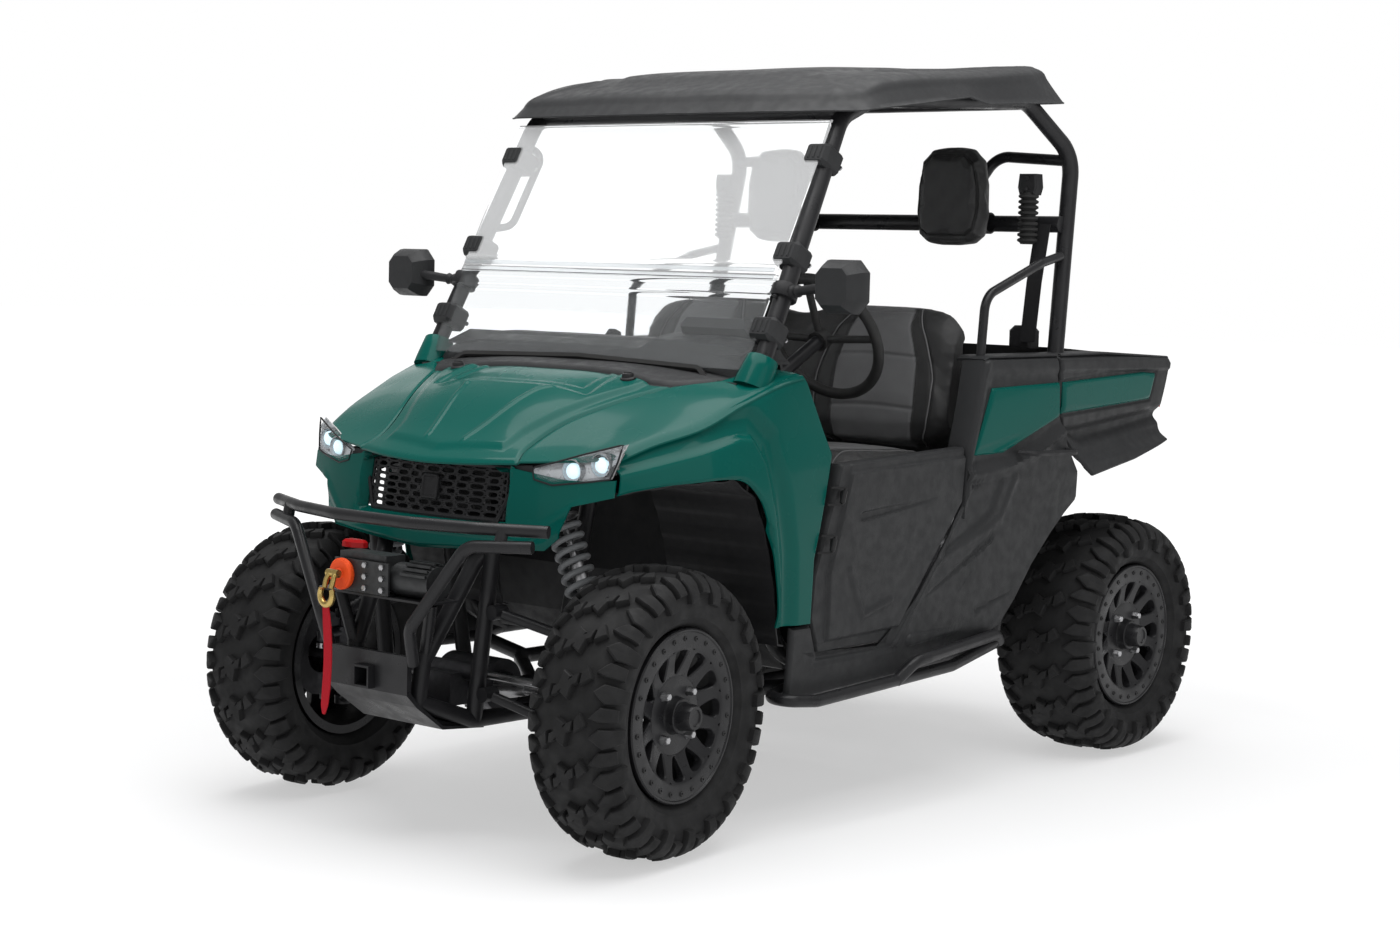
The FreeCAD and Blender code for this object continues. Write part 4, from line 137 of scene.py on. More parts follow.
class Recipe:
    """One material's node tree, with short ways to add noise, ramps and bumps."""

    def __init__(self, name, colour, roughness, metallic=0.0):
        """Start a material of one colour, roughness and metallic share."""
        self.colour = colour
        self.material = bpy.data.materials.new(name)
        self.material.use_nodes = True
        self.tree = self.material.node_tree
        self.shader = self.tree.nodes["Principled BSDF"]
        self.shader.inputs["Base Color"].default_value = (*colour, 1)
        self.shader.inputs["Roughness"].default_value = roughness
        self.shader.inputs["Metallic"].default_value = metallic
        self.place = self.tree.nodes.new("ShaderNodeTexCoord").outputs["Object"]

    def node(self, kind, links=(), **values):
        """A new node with its settings, and its sockets linked or given values."""
        made = self.tree.nodes.new(kind)
        for key, value in values.items():
            if hasattr(made, key):
                setattr(made, key, value)
        for socket, source in dict(links).items():
            if hasattr(source, "links"):
                self.tree.links.new(source, made.inputs[socket])
            else:
                made.inputs[socket].default_value = source
        return made

    def noise(self, scale, detail=4.0, stretch=None):
        """Noise over the object's own coordinates, stretched where asked."""
        where = self.place
        if stretch:
            where = self.node("ShaderNodeMapping", {"Vector": self.place, "Scale": stretch}).outputs[0]
        return self.node("ShaderNodeTexNoise", {"Vector": where, "Scale": scale, "Detail": detail}).outputs[0]

    def cells(self, scale):
        """Distance to the nearest of scattered cell points."""
        found = self.node("ShaderNodeTexVoronoi", {"Vector": self.place, "Scale": scale})
        return found.outputs["Distance"]

    def spread(self, value, low, high, start, end):
        """Map a value between start and end onto low to high."""
        made = self.node("ShaderNodeMapRange", {"Value": value, "From Min": start, "From Max": end,
                                                "To Min": low, "To Max": high})
        return made.outputs[0]

    def mottle(self, value, gain, lift):
        """Mix the colour by a value towards itself times a gain plus a lift."""
        self.shade(value, self.colour, [min(1, part * gain + lift) for part in self.colour])

    def shade(self, value, first, second):
        """Mix two colours by a value onto the shader's colour."""
        mix = self.node("ShaderNodeMix", {0: value}, data_type="RGBA")
        mix.inputs[6].default_value = (*first, 1)
        mix.inputs[7].default_value = (*second, 1)
        self.tree.links.new(mix.outputs[2], self.shader.inputs["Base Color"])

    def gloss(self, value, low, high, start=0.35, end=0.65):
        """Spread a value between two roughnesses."""
        self.tree.links.new(self.spread(value, low, high, start, end), self.shader.inputs["Roughness"])

    def bump(self, value, depth, strength=0.5, onto=None):
        """Raise the surface by a value, on top of an earlier bump where given."""
        links = {"Height": value, "Distance": depth, "Strength": strength}
        if onto:
            links["Normal"] = onto
        made = self.node("ShaderNodeBump", links).outputs[0]
        self.tree.links.new(made, self.shader.inputs["Normal"])
        return made

    def set(self, **sockets):
        """Set the shader's sockets by name, with _ for a space."""
        for name, value in sockets.items():
            self.shader.inputs[name.replace("_", " ")].default_value = value


def gloss_paint(name, colour):
    """Clear coated body plastic: faint orange peel, a little road dust in the roughness."""
    made = Recipe(name, colour, 0.24)
    made.shade(made.noise(3.1), [part * 0.86 for part in colour], colour)
    made.gloss(made.noise(7.0, 6.0), 0.2, 0.3)
    made.bump(made.noise(240.0, 2.0), 0.0003, 0.12)
    made.set(Coat_Weight=0.12, Coat_Roughness=0.06, Specular_IOR_Level=0.06)
    return made.material


def grained_plastic(name, colour, grain=620.0, depth=0.0006, shine=0.5):
    """Moulded plastic with a leather like grain of fine cells and a slight mottle."""
    made = Recipe(name, colour, shine)
    made.mottle(made.noise(9.0, 5.0), 1.35, 0.002)
    made.gloss(made.noise(34.0), shine - 0.08, shine + 0.1)
    first = made.bump(made.cells(grain), depth, 0.5)
    made.bump(made.noise(grain * 0.7, 3.0), depth * 0.6, 0.35, first)
    made.set(Specular_IOR_Level=0.22)
    return made.material


def powder_coat(name, colour, shine=0.42):
    """Satin powder coat on steel tube: fine pebble and a little wear in the gloss."""
    made = Recipe(name, colour, shine)
    made.mottle(made.noise(14.0, 6.0), 1.5, 0.004)
    made.gloss(made.noise(22.0, 5.0), shine - 0.1, shine + 0.08)
    made.bump(made.noise(900.0, 2.0), 0.0003, 0.3)
    made.set(Specular_IOR_Level=0.24)
    return made.material


def cast_metal(name, colour, shine, metallic=0.85, grain=160.0):
    """Cast or painted metal with a coarse grain and an uneven gloss."""
    made = Recipe(name, colour, shine, metallic)
    made.mottle(made.noise(40.0, 6.0), 1.4, 0.01)
    made.gloss(made.noise(60.0), shine - 0.1, shine + 0.14)
    made.bump(made.noise(grain, 5.0), 0.0008, 0.35)
    return made.material


def rubber(name, colour, shine=0.72):
    """Tyre rubber: dusty mottle, with fine mould lines as a soft bump."""
    made = Recipe(name, colour, shine)
    made.mottle(made.noise(16.0, 8.0), 1.8, 0.004)
    made.gloss(made.noise(30.0, 6.0), shine - 0.1, shine + 0.12)
    first = made.bump(made.noise(420.0, 4.0), 0.0006, 0.35)
    made.bump(made.noise(70.0, 3.0), 0.0012, 0.2, first)
    made.set(Specular_IOR_Level=0.25)
    return made.material


def vinyl(name, colour, grain=900.0):
    """Seat vinyl: fine leather grain, soft creases and a dull sheen."""
    made = Recipe(name, colour, 0.5)
    made.mottle(made.noise(12.0, 5.0), 1.3, 0.003)
    made.gloss(made.noise(26.0), 0.42, 0.6)
    first = made.bump(made.cells(grain), 0.0007, 0.6)
    made.bump(made.noise(18.0, 4.0), 0.002, 0.25, first)
    made.set(Sheen_Weight=0.05, Specular_IOR_Level=0.2)
    return made.material


def seat_cover(name, colour, insert):
    """Seat vinyl whose riders' inserts, marked by the insert attribute, are a woven grey."""
    made = Recipe(name, colour, 0.5)
    where = made.node("ShaderNodeAttribute", attribute_name="insert").outputs["Fac"]
    mottled = made.spread(made.noise(14.0, 5.0), 0.86, 1.0, 0.3, 0.7)
    level = made.node("ShaderNodeMath", {0: where, 1: mottled}, operation="MULTIPLY").outputs[0]
    made.shade(level, colour, insert)
    made.gloss(made.noise(26.0), 0.42, 0.6)
    first = made.bump(made.cells(900.0), 0.0007, 0.6)
    made.bump(made.noise(18.0, 4.0), 0.002, 0.25, first)
    made.set(Sheen_Weight=0.12)
    return made.material


def webbing(name, colour):
    """Woven strap: fine diagonal ribs from two crossed waves."""
    made = Recipe(name, colour, 0.75)
    wave = made.node("ShaderNodeTexWave", {"Vector": made.place, "Scale": 260.0, "Distortion": 0.6},
                     bands_direction="DIAGONAL").outputs[0]
    made.mottle(wave, 1.4, 0.004)
    made.bump(wave, 0.0008, 0.6)
    made.set(Sheen_Weight=0.04, Specular_IOR_Level=0.1)
    return made.material


def clear_plastic(name, colour, roughness=0.03, through=0.96, painted_glow=0.0):
    """Clear polycarbonate: smooth, faintly tinted, with a fine hazy mottle in the roughness; where asked, a white
    emission paints a glow on it, a veil of light that stands in for light the pane scatters and reflects.
    """
    made = Recipe(name, colour, roughness)
    made.gloss(made.noise(30.0, 5.0), roughness, roughness + 0.05)
    # The emission is a painted glow, not a lamp: a veil of light laid over what is seen through the pane.
    made.set(Emission_Color=(1, 1, 1, 1), Emission_Strength=painted_glow, Transmission_Weight=through, IOR=1.08,
             Specular_IOR_Level=0.6)
    made.material.use_raytrace_refraction = True
    return made.material


def bright_metal(name, colour, shine=0.25, stretch=(1, 1, 30)):
    """Bright or plated metal, brushed one way."""
    made = Recipe(name, colour, shine, 1.0)
    made.gloss(made.noise(40.0, 5.0, stretch), shine - 0.06, shine + 0.14)
    made.shade(made.noise(25.0, 4.0), [part * 0.85 for part in colour], colour)
    made.bump(made.noise(200.0, 2.0), 0.0002, 0.2)
    return made.material


def lit_lens(name, colour, strength):
    """A lit frosted lens: a clear milky shell that glows."""
    made = Recipe(name, colour, 0.2)
    made.gloss(made.noise(60.0), 0.12, 0.24)
    made.set(Emission_Color=(*colour, 1), Emission_Strength=strength)
    return made.material


def studio_floor(name):
    """A pale floor whose glow rises with distance, so that it fades into the white room."""
    made = Recipe(name, (0.42, 0.42, 0.424), 0.7)
    made.shade(made.noise(1.3, 2.0), (0.41, 0.41, 0.414), (0.43, 0.43, 0.434))
    made.set(Emission_Color=(1, 1, 1, 1))
    reach = made.node("ShaderNodeVectorMath", {0: made.place}, operation="LENGTH").outputs["Value"]
    made.tree.links.new(made.spread(reach, 0.5, 0.88, 2.0, 5.0), made.shader.inputs["Emission Strength"])
    return made.material


TEAL = (0.0008, 0.078, 0.063)
FINISH = {name: maker(name, *values) for name, (maker, *values) in {
    "studio_floor": (studio_floor,),
    "green_paint": (gloss_paint, TEAL),
    "grey_plastic": (grained_plastic, (0.017, 0.0175, 0.0185), 520.0, 0.0006, 0.5),
    "black_plastic": (grained_plastic, (0.012, 0.012, 0.013), 700.0, 0.0004, 0.5),
    "black_frame": (powder_coat, (0.008, 0.008, 0.009)),
    "black_tube": (powder_coat, (0.01, 0.01, 0.011), 0.36),
    "black_metal": (powder_coat, (0.009, 0.009, 0.0095), 0.44),
    "black_mesh": (powder_coat, (0.008, 0.008, 0.009), 0.4),
    "black_rim": (powder_coat, (0.009, 0.009, 0.01), 0.34),
    "lamp": (clear_plastic, (0.92, 0.95, 0.97)),
    "lamp_glow": (lit_lens, (0.7, 0.9, 0.97), 0.75),
    "red_lens": (gloss_paint, (0.4, 0.01, 0.012)),
    "seat_vinyl": (vinyl, (0.013, 0.013, 0.014)),
    "seat_cover": (seat_cover, (0.008, 0.008, 0.0085), (0.12, 0.121, 0.124)),
    "piping": (vinyl, (0.11, 0.11, 0.112)),
    # The upper pane's emission is painted light: a glowing veil that stands in for light the hazy pane scatters and
    # reflects.
    "hazy_pane": (clear_plastic, (0.95, 0.96, 0.97), 0.05, 0.82, 0.1),
    "coil_paint": (powder_coat, (0.15, 0.155, 0.16), 0.5),
    "clear_pane": (clear_plastic, (0.95, 0.97, 0.98)),
    "cast_metal": (cast_metal, (0.06, 0.06, 0.065), 0.5),
    "steel": (bright_metal, (0.42, 0.42, 0.43), 0.3),
    "grip_rubber": (rubber, (0.012, 0.012, 0.012), 0.6),
    "spring_grey": (cast_metal, (0.3, 0.3, 0.31), 0.4, 0.6),
    "winch_metal": (cast_metal, (0.02, 0.021, 0.022), 0.42, 0.5),
    "gold_steel": (bright_metal, (0.55, 0.4, 0.14), 0.28),
    "red_web": (webbing, (0.34, 0.004, 0.012)),
    "belt_web": (webbing, (0.012, 0.012, 0.013)),
    "clear_black": (gloss_paint, (0.006, 0.006, 0.007)),
    "frosted": (clear_plastic, (0.8, 0.82, 0.83), 0.3),
    "lamp_tray": (cast_metal, (0.46, 0.45, 0.45), 0.32, 0.35),
    "orange_rubber": (rubber, (0.62, 0.055, 0.006), 0.6),
    "tyre": (rubber, (0.007, 0.007, 0.0073)),
}.items()}


def dress_nodes():
    """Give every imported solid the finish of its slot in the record."""
    for part in frame["record"]["subparts"]:
        mesh = frame["nodes"][part["node"]].data
        mesh.materials.clear()
        mesh.materials.append(FINISH[part["material_slot"]])


def grid_faces(rows, cols, ring_rows=False, ring_cols=False):
    """Quads between neighbouring points of a grid, closed round where asked."""
    i = np.arange(rows if ring_rows else rows - 1)[:, None]
    j = np.arange(cols if ring_cols else cols - 1)[None, :]
    i, j = np.broadcast_arrays(i, j)
    down, over = (i + 1) % rows, (j + 1) % cols
    quads = np.stack((i * cols + j, down * cols + j, down * cols + over, i * cols + over), -1)
    return quads.reshape(-1, 4)


def surface(points, ring_rows=False, ring_cols=False, caps=False):
    """A grid of points with its quads; caps close the first and last row with one face each."""
    rows, cols = points.shape[:2]
    faces = grid_faces(rows, cols, ring_rows, ring_cols).tolist()
    if caps:
        faces += [list(range(cols))[::-1], list(range((rows - 1) * cols, rows * cols))]
    return points.reshape(-1, 3), faces


def gathered(parts):
    """Several point and face sets as one."""
    points, faces, count = [], [], 0
    for places, quads in parts:
        points.append(np.asarray(places, float).reshape(-1, 3))
        faces += [[index + count for index in quad] for quad in quads]
        count += len(points[-1])
    return np.concatenate(points), faces


def flipped(part):
    """The part on the other side of the middle plane."""
    points, faces = part
    return points * (-1, 1, 1), [face[::-1] for face in faces]


def both(part):
    """The part with its mirror image."""
    return gathered([part, flipped(part)])


def show(name, part, finish, body="root", replaces=(), crease=35, tidy=True):
    """Make a mesh of a part, with outward faces and sharp edges past the crease angle."""
    mesh = mesh_of(name, *part)
    if tidy:
        work = bmesh.new()
        work.from_mesh(mesh)
        bmesh.ops.remove_doubles(work, verts=work.verts, dist=1e-5)
        bmesh.ops.recalc_face_normals(work, faces=work.faces)
        work.to_mesh(mesh)
        work.free()
    mesh.polygons.foreach_set("use_smooth", np.ones(len(mesh.polygons), bool))
    mesh.set_sharp_from_angle(angle=math.radians(crease))
    mesh.materials.append(FINISH[finish])
    piece = linked(name, mesh)
    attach(piece, body)
    if replaces:
        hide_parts(*replaces)
    return piece


def unit(ways):
    """The ways, each scaled to a length of one."""
    return ways / np.linalg.norm(ways, axis=-1, keepdims=True)


def lengths_along(path):
    """The distance along a path at each of its points."""
    return np.concatenate(([0], np.cumsum(np.linalg.norm(np.diff(path, axis=0), axis=1))))


def turned(profile, steps, arc=2 * np.pi, start=0.0, shift=0.0):
    """A profile of (along x, radius), shifted along x and turned about the x axis."""
    profile = np.asarray(profile, float) + (shift, 0)
    full = abs(arc - 2 * np.pi) < 1e-6
    angle = start + arc * np.arange(steps + (not full)) / steps
    x = np.broadcast_to(profile[:, 0], (len(angle), len(profile)))
    y = profile[None, :, 1] * np.cos(angle)[:, None]
    z = profile[None, :, 1] * np.sin(angle)[:, None]
    return surface(np.stack((x, y, z), -1), ring_rows=full)


def lathe(profile, steps, foot, head):
    """A profile of (distance from foot towards head, radius), turned about that line."""
    foot, head = np.asarray(foot, float), np.asarray(head, float)
    points, faces = turned(profile, steps)
    along = unit(head - foot)
    other = unit(np.cross(along, (0, 0, 1.0) if abs(along[2]) < 0.9 else (1.0, 0, 0)))
    third = np.cross(along, other)
    return foot + points @ np.stack((along, other, third)), faces


def arc_path(corners, bend, steps=6):
    """A path through corners, each rounded by an arc of the bend radius."""
    corners = np.asarray(corners, float)
    path = [corners[0]]
    for before, corner, after in zip(corners, corners[1:], corners[2:]):
        back, ahead = before - corner, after - corner
        room = 0.45 * min(np.linalg.norm(back), np.linalg.norm(ahead))
        back, ahead = unit(back), unit(ahead)
        half = np.arccos(np.clip(back @ ahead, -1, 1)) / 2
        reach = min(bend / np.tan(half), room)
        first, last = corner + back * reach, corner + ahead * reach
        share = np.linspace(0, 1, steps + 1)[:, None]
        path += list((1 - share) ** 2 * first + 2 * share * (1 - share) * corner + share ** 2 * last)
    path.append(corners[-1])
    return np.array(path)


def carried(profile, path, ring_path=False, caps=True, level=(0, 0, 1)):
    """A closed profile of (side, up) carried along a path; side is level where the path allows."""
    profile, path = np.asarray(profile, float), np.asarray(path, float)
    if ring_path:
        ahead = np.roll(path, -1, 0) - np.roll(path, 1, 0)
    else:
        ahead = np.gradient(path, axis=0)
    ahead = unit(ahead)
    side = np.cross(ahead, np.asarray(level, float))
    side /= np.maximum(np.linalg.norm(side, axis=1, keepdims=True), 1e-9)
    up = np.cross(side, ahead)
    points = path[:, None] + profile[None, :, :1] * side[:, None] + profile[None, :, 1:] * up[:, None]
    return surface(points, ring_rows=ring_path, ring_cols=True, caps=caps and not ring_path)


def circle(radius, steps=16, squash=1.0):
    """A closed ring of points, flattened by squash."""
    angle = 2 * np.pi * np.arange(steps) / steps
    return np.stack((np.cos(angle) * radius, np.sin(angle) * radius * squash), -1)


def flat_bar(half, thick):
    """The four corners of a flat bar's section."""
    return (-half, -thick), (half, -thick), (half, thick), (-half, thick)


def plate(outline, heights, insets, frame_of):
    """A moulded plate: rings of the outline, each drawn in and raised, closed by a cap.

    frame_of turns (across, along, height) arrays into places.
    """
    outline = np.asarray(outline, float)
    before, after = outline - np.roll(outline, 1, 0), np.roll(outline, -1, 0) - outline
    before, after = unit(before), unit(after)
    turn = np.sign(np.sum(outline[:, 0] * np.roll(outline[:, 1], -1) - np.roll(outline[:, 0], -1) * outline[:, 1]))
    inward = unit(np.stack((-(before + after)[:, 1], (before + after)[:, 0]), -1) * turn)
    cosine = np.abs(np.sum(inward * np.stack((-after[:, 1], after[:, 0]), -1), axis=1))
    inward /= np.maximum(cosine, 0.4)[:, None]
    rings = [frame_of(*(outline + inward * inset).T, np.full(len(outline), height))
             for height, inset in zip(heights, insets)]
    return surface(np.stack(rings), ring_cols=True, caps=True)


# Distance of the steering axis from the middle plane, in metres.
KINGPIN = 0.475
# For each axle: half the tyre's width, half the track, distance behind the front axle, steer.
WHEELS = {"front": (0.1075, 0.537, 0.0, math.radians(5.45)), "rear": (0.135, 0.553, 1.885, 0.0)}
RIM_RINGS = {"ring": 0.196, "bolts": 0.1735, "windows": 0.1515, "hub": 0.088, "nuts": 0.0685}
PITCHES = 20
PITCH = 2 * math.pi * TYRE / PITCHES
CENTRE_LUGS = (
    ((-0.2, -0.2), (0.0, -0.08), (0.1, 0.18), (-0.1, 0.3)),
    ((0.04, -0.06), (0.26, 0.06), (0.29, 0.28), (0.14, 0.2)),
    ((0.33, 0.02), (0.55, 0.2), (0.42, 0.44), (0.32, 0.3)),
)
SHOULDER_LUGS = (
    ((0.62, -0.06), (0.8, 0.14), (1.32, 0.12), (1.3, -0.22), (0.86, -0.3)),
    ((0.6, 0.36), (0.8, 0.62), (1.12, 0.62), (1.12, 0.3), (0.78, 0.3)),
)


def carcass_line(half, count=61):
    """Cross-section of the tyre from bead to bead: a superellipse about radius 254 mm, drawn in
    to the rim seat below its waist. Gives places (along the axle, radius) and outward directions."""
    angle = np.linspace(-2.42, 2.42, count)
    across = np.sign(np.sin(angle)) * np.abs(np.sin(angle)) ** 0.72
    up = np.sign(np.cos(angle)) * np.abs(np.cos(angle)) ** 0.74
    radius = 0.254 + np.where(up > 0, 0.06, 0.073) * up
    along = half * across * np.where(up > 0, 1.0, 1.0 - 0.1 * np.abs(up))
    line = np.stack((along, radius), -1)
    way = unit(np.gradient(line, axis=0))
    return line, np.stack((-way[:, 1], way[:, 0]), -1)


def on_carcass(half, across, turn, height):
    """Places of points given by distance across the tread, angle round the axle and height."""
    line, out = carcass_line(half, 241)
    length = lengths_along(line)
    length -= length[-1] / 2
    spot = [np.interp(across, length, line[:, axis]) for axis in (0, 1)]
    push = [np.interp(across, length, out[:, axis]) for axis in (0, 1)]
    along, radius = spot[0] + push[0] * height, spot[1] + push[1] * height
    return np.stack((along, radius * np.sin(turn), radius * np.cos(turn)), -1)


def lug(half, corners, side, turns, height):
    """One lug outline on every pitch: rings of the outline from its foot to a chamfered crown,
    then drawn in to the middle, each ring laid on the curved carcass."""
    corners = np.asarray(corners, float) * (half * side, PITCH * side)
    share = np.linspace(0, 1, 4)[:-1, None]
    ring = np.concatenate([(1 - share) * a + share * b for a, b in zip(corners, np.roll(corners, -1, 0))])
    middle = ring.mean(0)
    sizes, heights = (1.08, 1.0, 0.88, 0.5, 0.02), (-0.003, 0.84, 1.0, 1.0, 1.0)
    rings = np.stack([middle + (ring - middle) * size for size in sizes])
    rise = np.array([level if level < 0 else level * height for level in heights])[:, None]
    rise = np.broadcast_to(rise, rings.shape[:2])
    parts = []
    for turn in turns:
        points = on_carcass(half, rings[..., 0], rings[..., 1] / TYRE + turn, rise)
        parts.append(surface(points, ring_cols=True, caps=True))
    return parts


def tyre_part(half):
    """A carcass turned about the axle, with a fine ribbed ring on each sidewall, and its lugs."""
    line, out = carcass_line(half)
    turns = 240
    angle = 2 * np.pi * np.arange(turns) / turns
    ribs = np.isin(np.arange(len(line)), (13, 14, 46, 47))[None, :] * 0.0011 * (np.arange(turns) % 2)[:, None]
    beads = np.isin(np.arange(len(line)), (6, 54))[None, :] * 0.0022
    along = line[:, 0] + out[:, 0] * (ribs + beads)
    radius = line[:, 1] + out[:, 1] * (ribs + beads)
    shell = np.stack((along, radius * np.sin(angle)[:, None], radius * np.cos(angle)[:, None]), -1)
    inner = shell[:, ::-1] * (0.9, 1, 1)
    inner[..., 1:] *= 0.985
    parts = [surface(np.concatenate((shell, inner), 1), ring_rows=True, ring_cols=True)]
    turn = 2 * math.pi / PITCHES * np.arange(PITCHES)
    for side in (1, -1):
        for corners in CENTRE_LUGS:
            parts += lug(half, corners, side, turn, 0.0155)
        for corners in SHOULDER_LUGS:
            parts += lug(half, corners, side, turn, 0.0145)
    return gathered(parts)


def square_ways(count, power):
    """Directions round a loop, with their reach to a square and to a rounded square."""
    way = 2 * np.pi * (np.arange(count) + 0.5) / count
    east, north = np.cos(way), np.sin(way)
    rounded = (np.abs(east) ** power + np.abs(north) ** power) ** (-1 / power)
    return east, north, 1 / np.maximum(np.abs(east), np.abs(north)), rounded


def window_ring(share):
    """A loop round one window of the rim in (radius, angle): share 0 is the rounded window,
    share 1 the border of its sector, with straight mixes between."""
    east, north, square, rounded = square_ways(48, 3.2)
    middle, half_height = 0.1185, 0.0275
    tall = RIM_RINGS["windows"] - middle
    border = np.stack((middle + tall * north * square * np.where(north > 0, 1, 0.93), math.pi / 12 * east * square), -1)
    radius = middle + 0.001 + half_height * north * rounded
    width = 0.0148 + 0.0105 * (radius - middle) / half_height
    hole = np.stack((radius, width * east * rounded / radius), -1)
    return (1 - share) * hole + share * border


def rim_part(half):
    """Barrel, lip and ring turned about the axle, twelve spokes as loops round their windows, hub disc, collar and cap;
    the brake disc behind them is made by brake."""
    face = half * 0.76 + 0.012
    ring, windows, hub = RIM_RINGS["ring"], RIM_RINGS["windows"], RIM_RINGS["hub"]
    parts = [turned([(-half * 0.76, 0.171), (-half * 0.76, 0.192), (-half * 0.72, 0.192), (-half * 0.66, 0.178),
                     (face - 0.014, 0.178), (face - 0.012, ring), (face - 0.003, ring), (face, ring - 0.003),
                     (face, ring - 0.007), (face - 0.0025, ring - 0.009), (face - 0.0025, windows + 0.006),
                     (face - 0.004, windows), (face - 0.02, windows), (face - 0.022, 0.170)], 120)]

    def depth_at(radius):
        """How far out the spokes stand at a radius."""
        return face - 0.004 - 0.022 * np.clip((windows - radius) / (windows - hub), 0, 1) ** 0.8
    steps = ((0.0, -0.02), (0.0, -0.003), (0.16, 0.0), (0.45, 0.0005), (1.0, 0.0))
    turns = math.pi / 6 * np.arange(12)
    loops = np.stack([window_ring(share) for share, _ in steps])
    along = depth_at(loops[..., 0]) + np.array([push for _, push in steps])[:, None]
    behind = window_ring(1.0)
    for turn in turns:
        angle = loops[..., 1] + turn
        front = np.stack((along, loops[..., 0] * np.sin(angle), loops[..., 0] * np.cos(angle)), -1)
        angle = behind[:, 1] + turn
        back = np.stack((depth_at(behind[:, 0]) - 0.02, behind[:, 0] * np.sin(angle), behind[:, 0] * np.cos(angle)), -1)
        parts.append(surface(np.concatenate((back[None], front)), ring_cols=True))
    disc = depth_at(hub)
    parts.append(turned(((-0.02, hub + 0.001), (0, hub + 0.001), (0.001, 0.083), (0.001, 0.044), (0.006, 0.041),
                         (0.022, 0.04), (0.024, 0.038), (0.024, 0.033), (0.03, 0.0315), (0.052, 0.029),
                         (0.057, 0.0262), (0.057, 0.0195), (0.054, 0.018), (0.054, AXIS)), 48, shift=disc))
    return gathered(parts), disc


def ring_bolts(half):
    """Small round bolts evenly spaced in the outer ring."""
    bolt = turned(((-0.002, 0.0066), (0.0012, 0.0062), (0.0026, 0.005), (0.0026, 0.0028), (0.0008, 0.0022),
                   (0.0008, AXIS)), 12, shift=half * 0.76 + 0.0095)
    return around(bolt, RIM_RINGS["bolts"], 26)


def around(part, radius, count, start=0.0):
    """Copies of a part set evenly round the axle at a radius."""
    points, faces = part
    turns = start + 2 * np.pi * np.arange(count) / count
    return gathered([(points + (0, radius * np.sin(turn), radius * np.cos(turn)), faces) for turn in turns])


def wheel_nuts(disc):
    """Four tapered hexagon nuts in a square on the hub disc."""
    nut = turned(((0, 0.0118), (0.004, 0.0118), (0.006, 0.0102), (0.017, 0.0098), (0.02, 0.0074), (0.02, AXIS)), 6,
                 shift=disc)
    return around(nut, RIM_RINGS["nuts"], 4, math.pi / 4)


def brake(disc):
    """Brake disc and caliper behind the spokes."""
    behind = disc - 0.06
    plain = turned(((0, 0.05), (0.005, 0.05), (0.005, 0.105), (0, 0.105), (0, 0.05)), 64, shift=behind)
    grip = turned(((-0.012, 0.075), (0.02, 0.078), (0.022, 0.1), (0.016, 0.12), (-0.012, 0.12), (-0.012, 0.075)), 10,
                  1.0, 2.4, behind)
    return gathered([plain, grip])


def at_corner(part, end, side):
    """Turn a part from the axle's own frame to its corner of the vehicle, steered as it stands."""
    points, faces = part
    _, track, axle, steer = WHEELS[end]
    turn = steer + (0 if side > 0 else math.pi)
    spin = np.array(((math.cos(turn), -math.sin(turn), 0), (math.sin(turn), math.cos(turn), 0), (0, 0, 1)))
    reach = track - KINGPIN
    centre = (side * (KINGPIN + reach * math.cos(steer)), AXLE_Y + axle + side * reach * math.sin(steer), TYRE)
    return points @ spin.T + centre, faces


def make_wheels():
    """Tyre, rim, bolts, nuts and brake at each corner, on the wheel's own body."""
    for end, (half, *_) in WHEELS.items():
        rim, disc = rim_part(half)
        pieces = (("tyre", tyre_part(half), "tyre", True), ("rim", rim, "black_rim", True),
                  ("ring_bolts", ring_bolts(half), "black_metal", False), ("nuts", wheel_nuts(disc), "steel", False),
                  ("brake", brake(disc), "cast_metal", False))
        for side, name in SIDES:
            corner = f"{end}_{name}"
            for kind, part, finish, swap in pieces:
                show(f"{kind}_{corner}_shape", at_corner(part, end, side), finish, f"wheel_{corner}",
                     (f"{kind}_{corner}",) if swap else ())


def at(across, along, up):
    """Places in metres from millimetres measured off the front axle line."""
    return np.stack(np.broadcast_arrays(across, along, up), -1) / 1000 + (0, AXLE_Y, 0)


def over(moulding, grid):
    """A moulding's values at a grid of (first, second)."""
    return moulding(grid[..., 0], grid[..., 1])


def on_side(across, flat):
    """Places of a grid of (along, up) at a distance across."""
    return at(across, flat[..., 0], flat[..., 1])


def on_top(plan, up):
    """Places of a grid of (across, along) at a height."""
    return at(plan[..., 0], plan[..., 1], up)


def on_front(grid, along):
    """Places of a grid of (across, up) at a distance along."""
    return at(grid[..., 0], along, grid[..., 1])


def rod(radius, low, high, steps, foot, head):
    """A round rod between two distances from its foot towards its head."""
    return lathe(((low, AXIS), (low, radius), (high, radius), (high, AXIS)), steps, foot, head)


def bolt_head(radius, height, bevel, inset, foot, tip):
    """A hexagon bolt head with a bevelled crown, from its foot towards its tip."""
    top = height + bevel
    return lathe(((0, radius), (height, radius), (top, radius - inset), (top, AXIS)), 6, foot, tip)


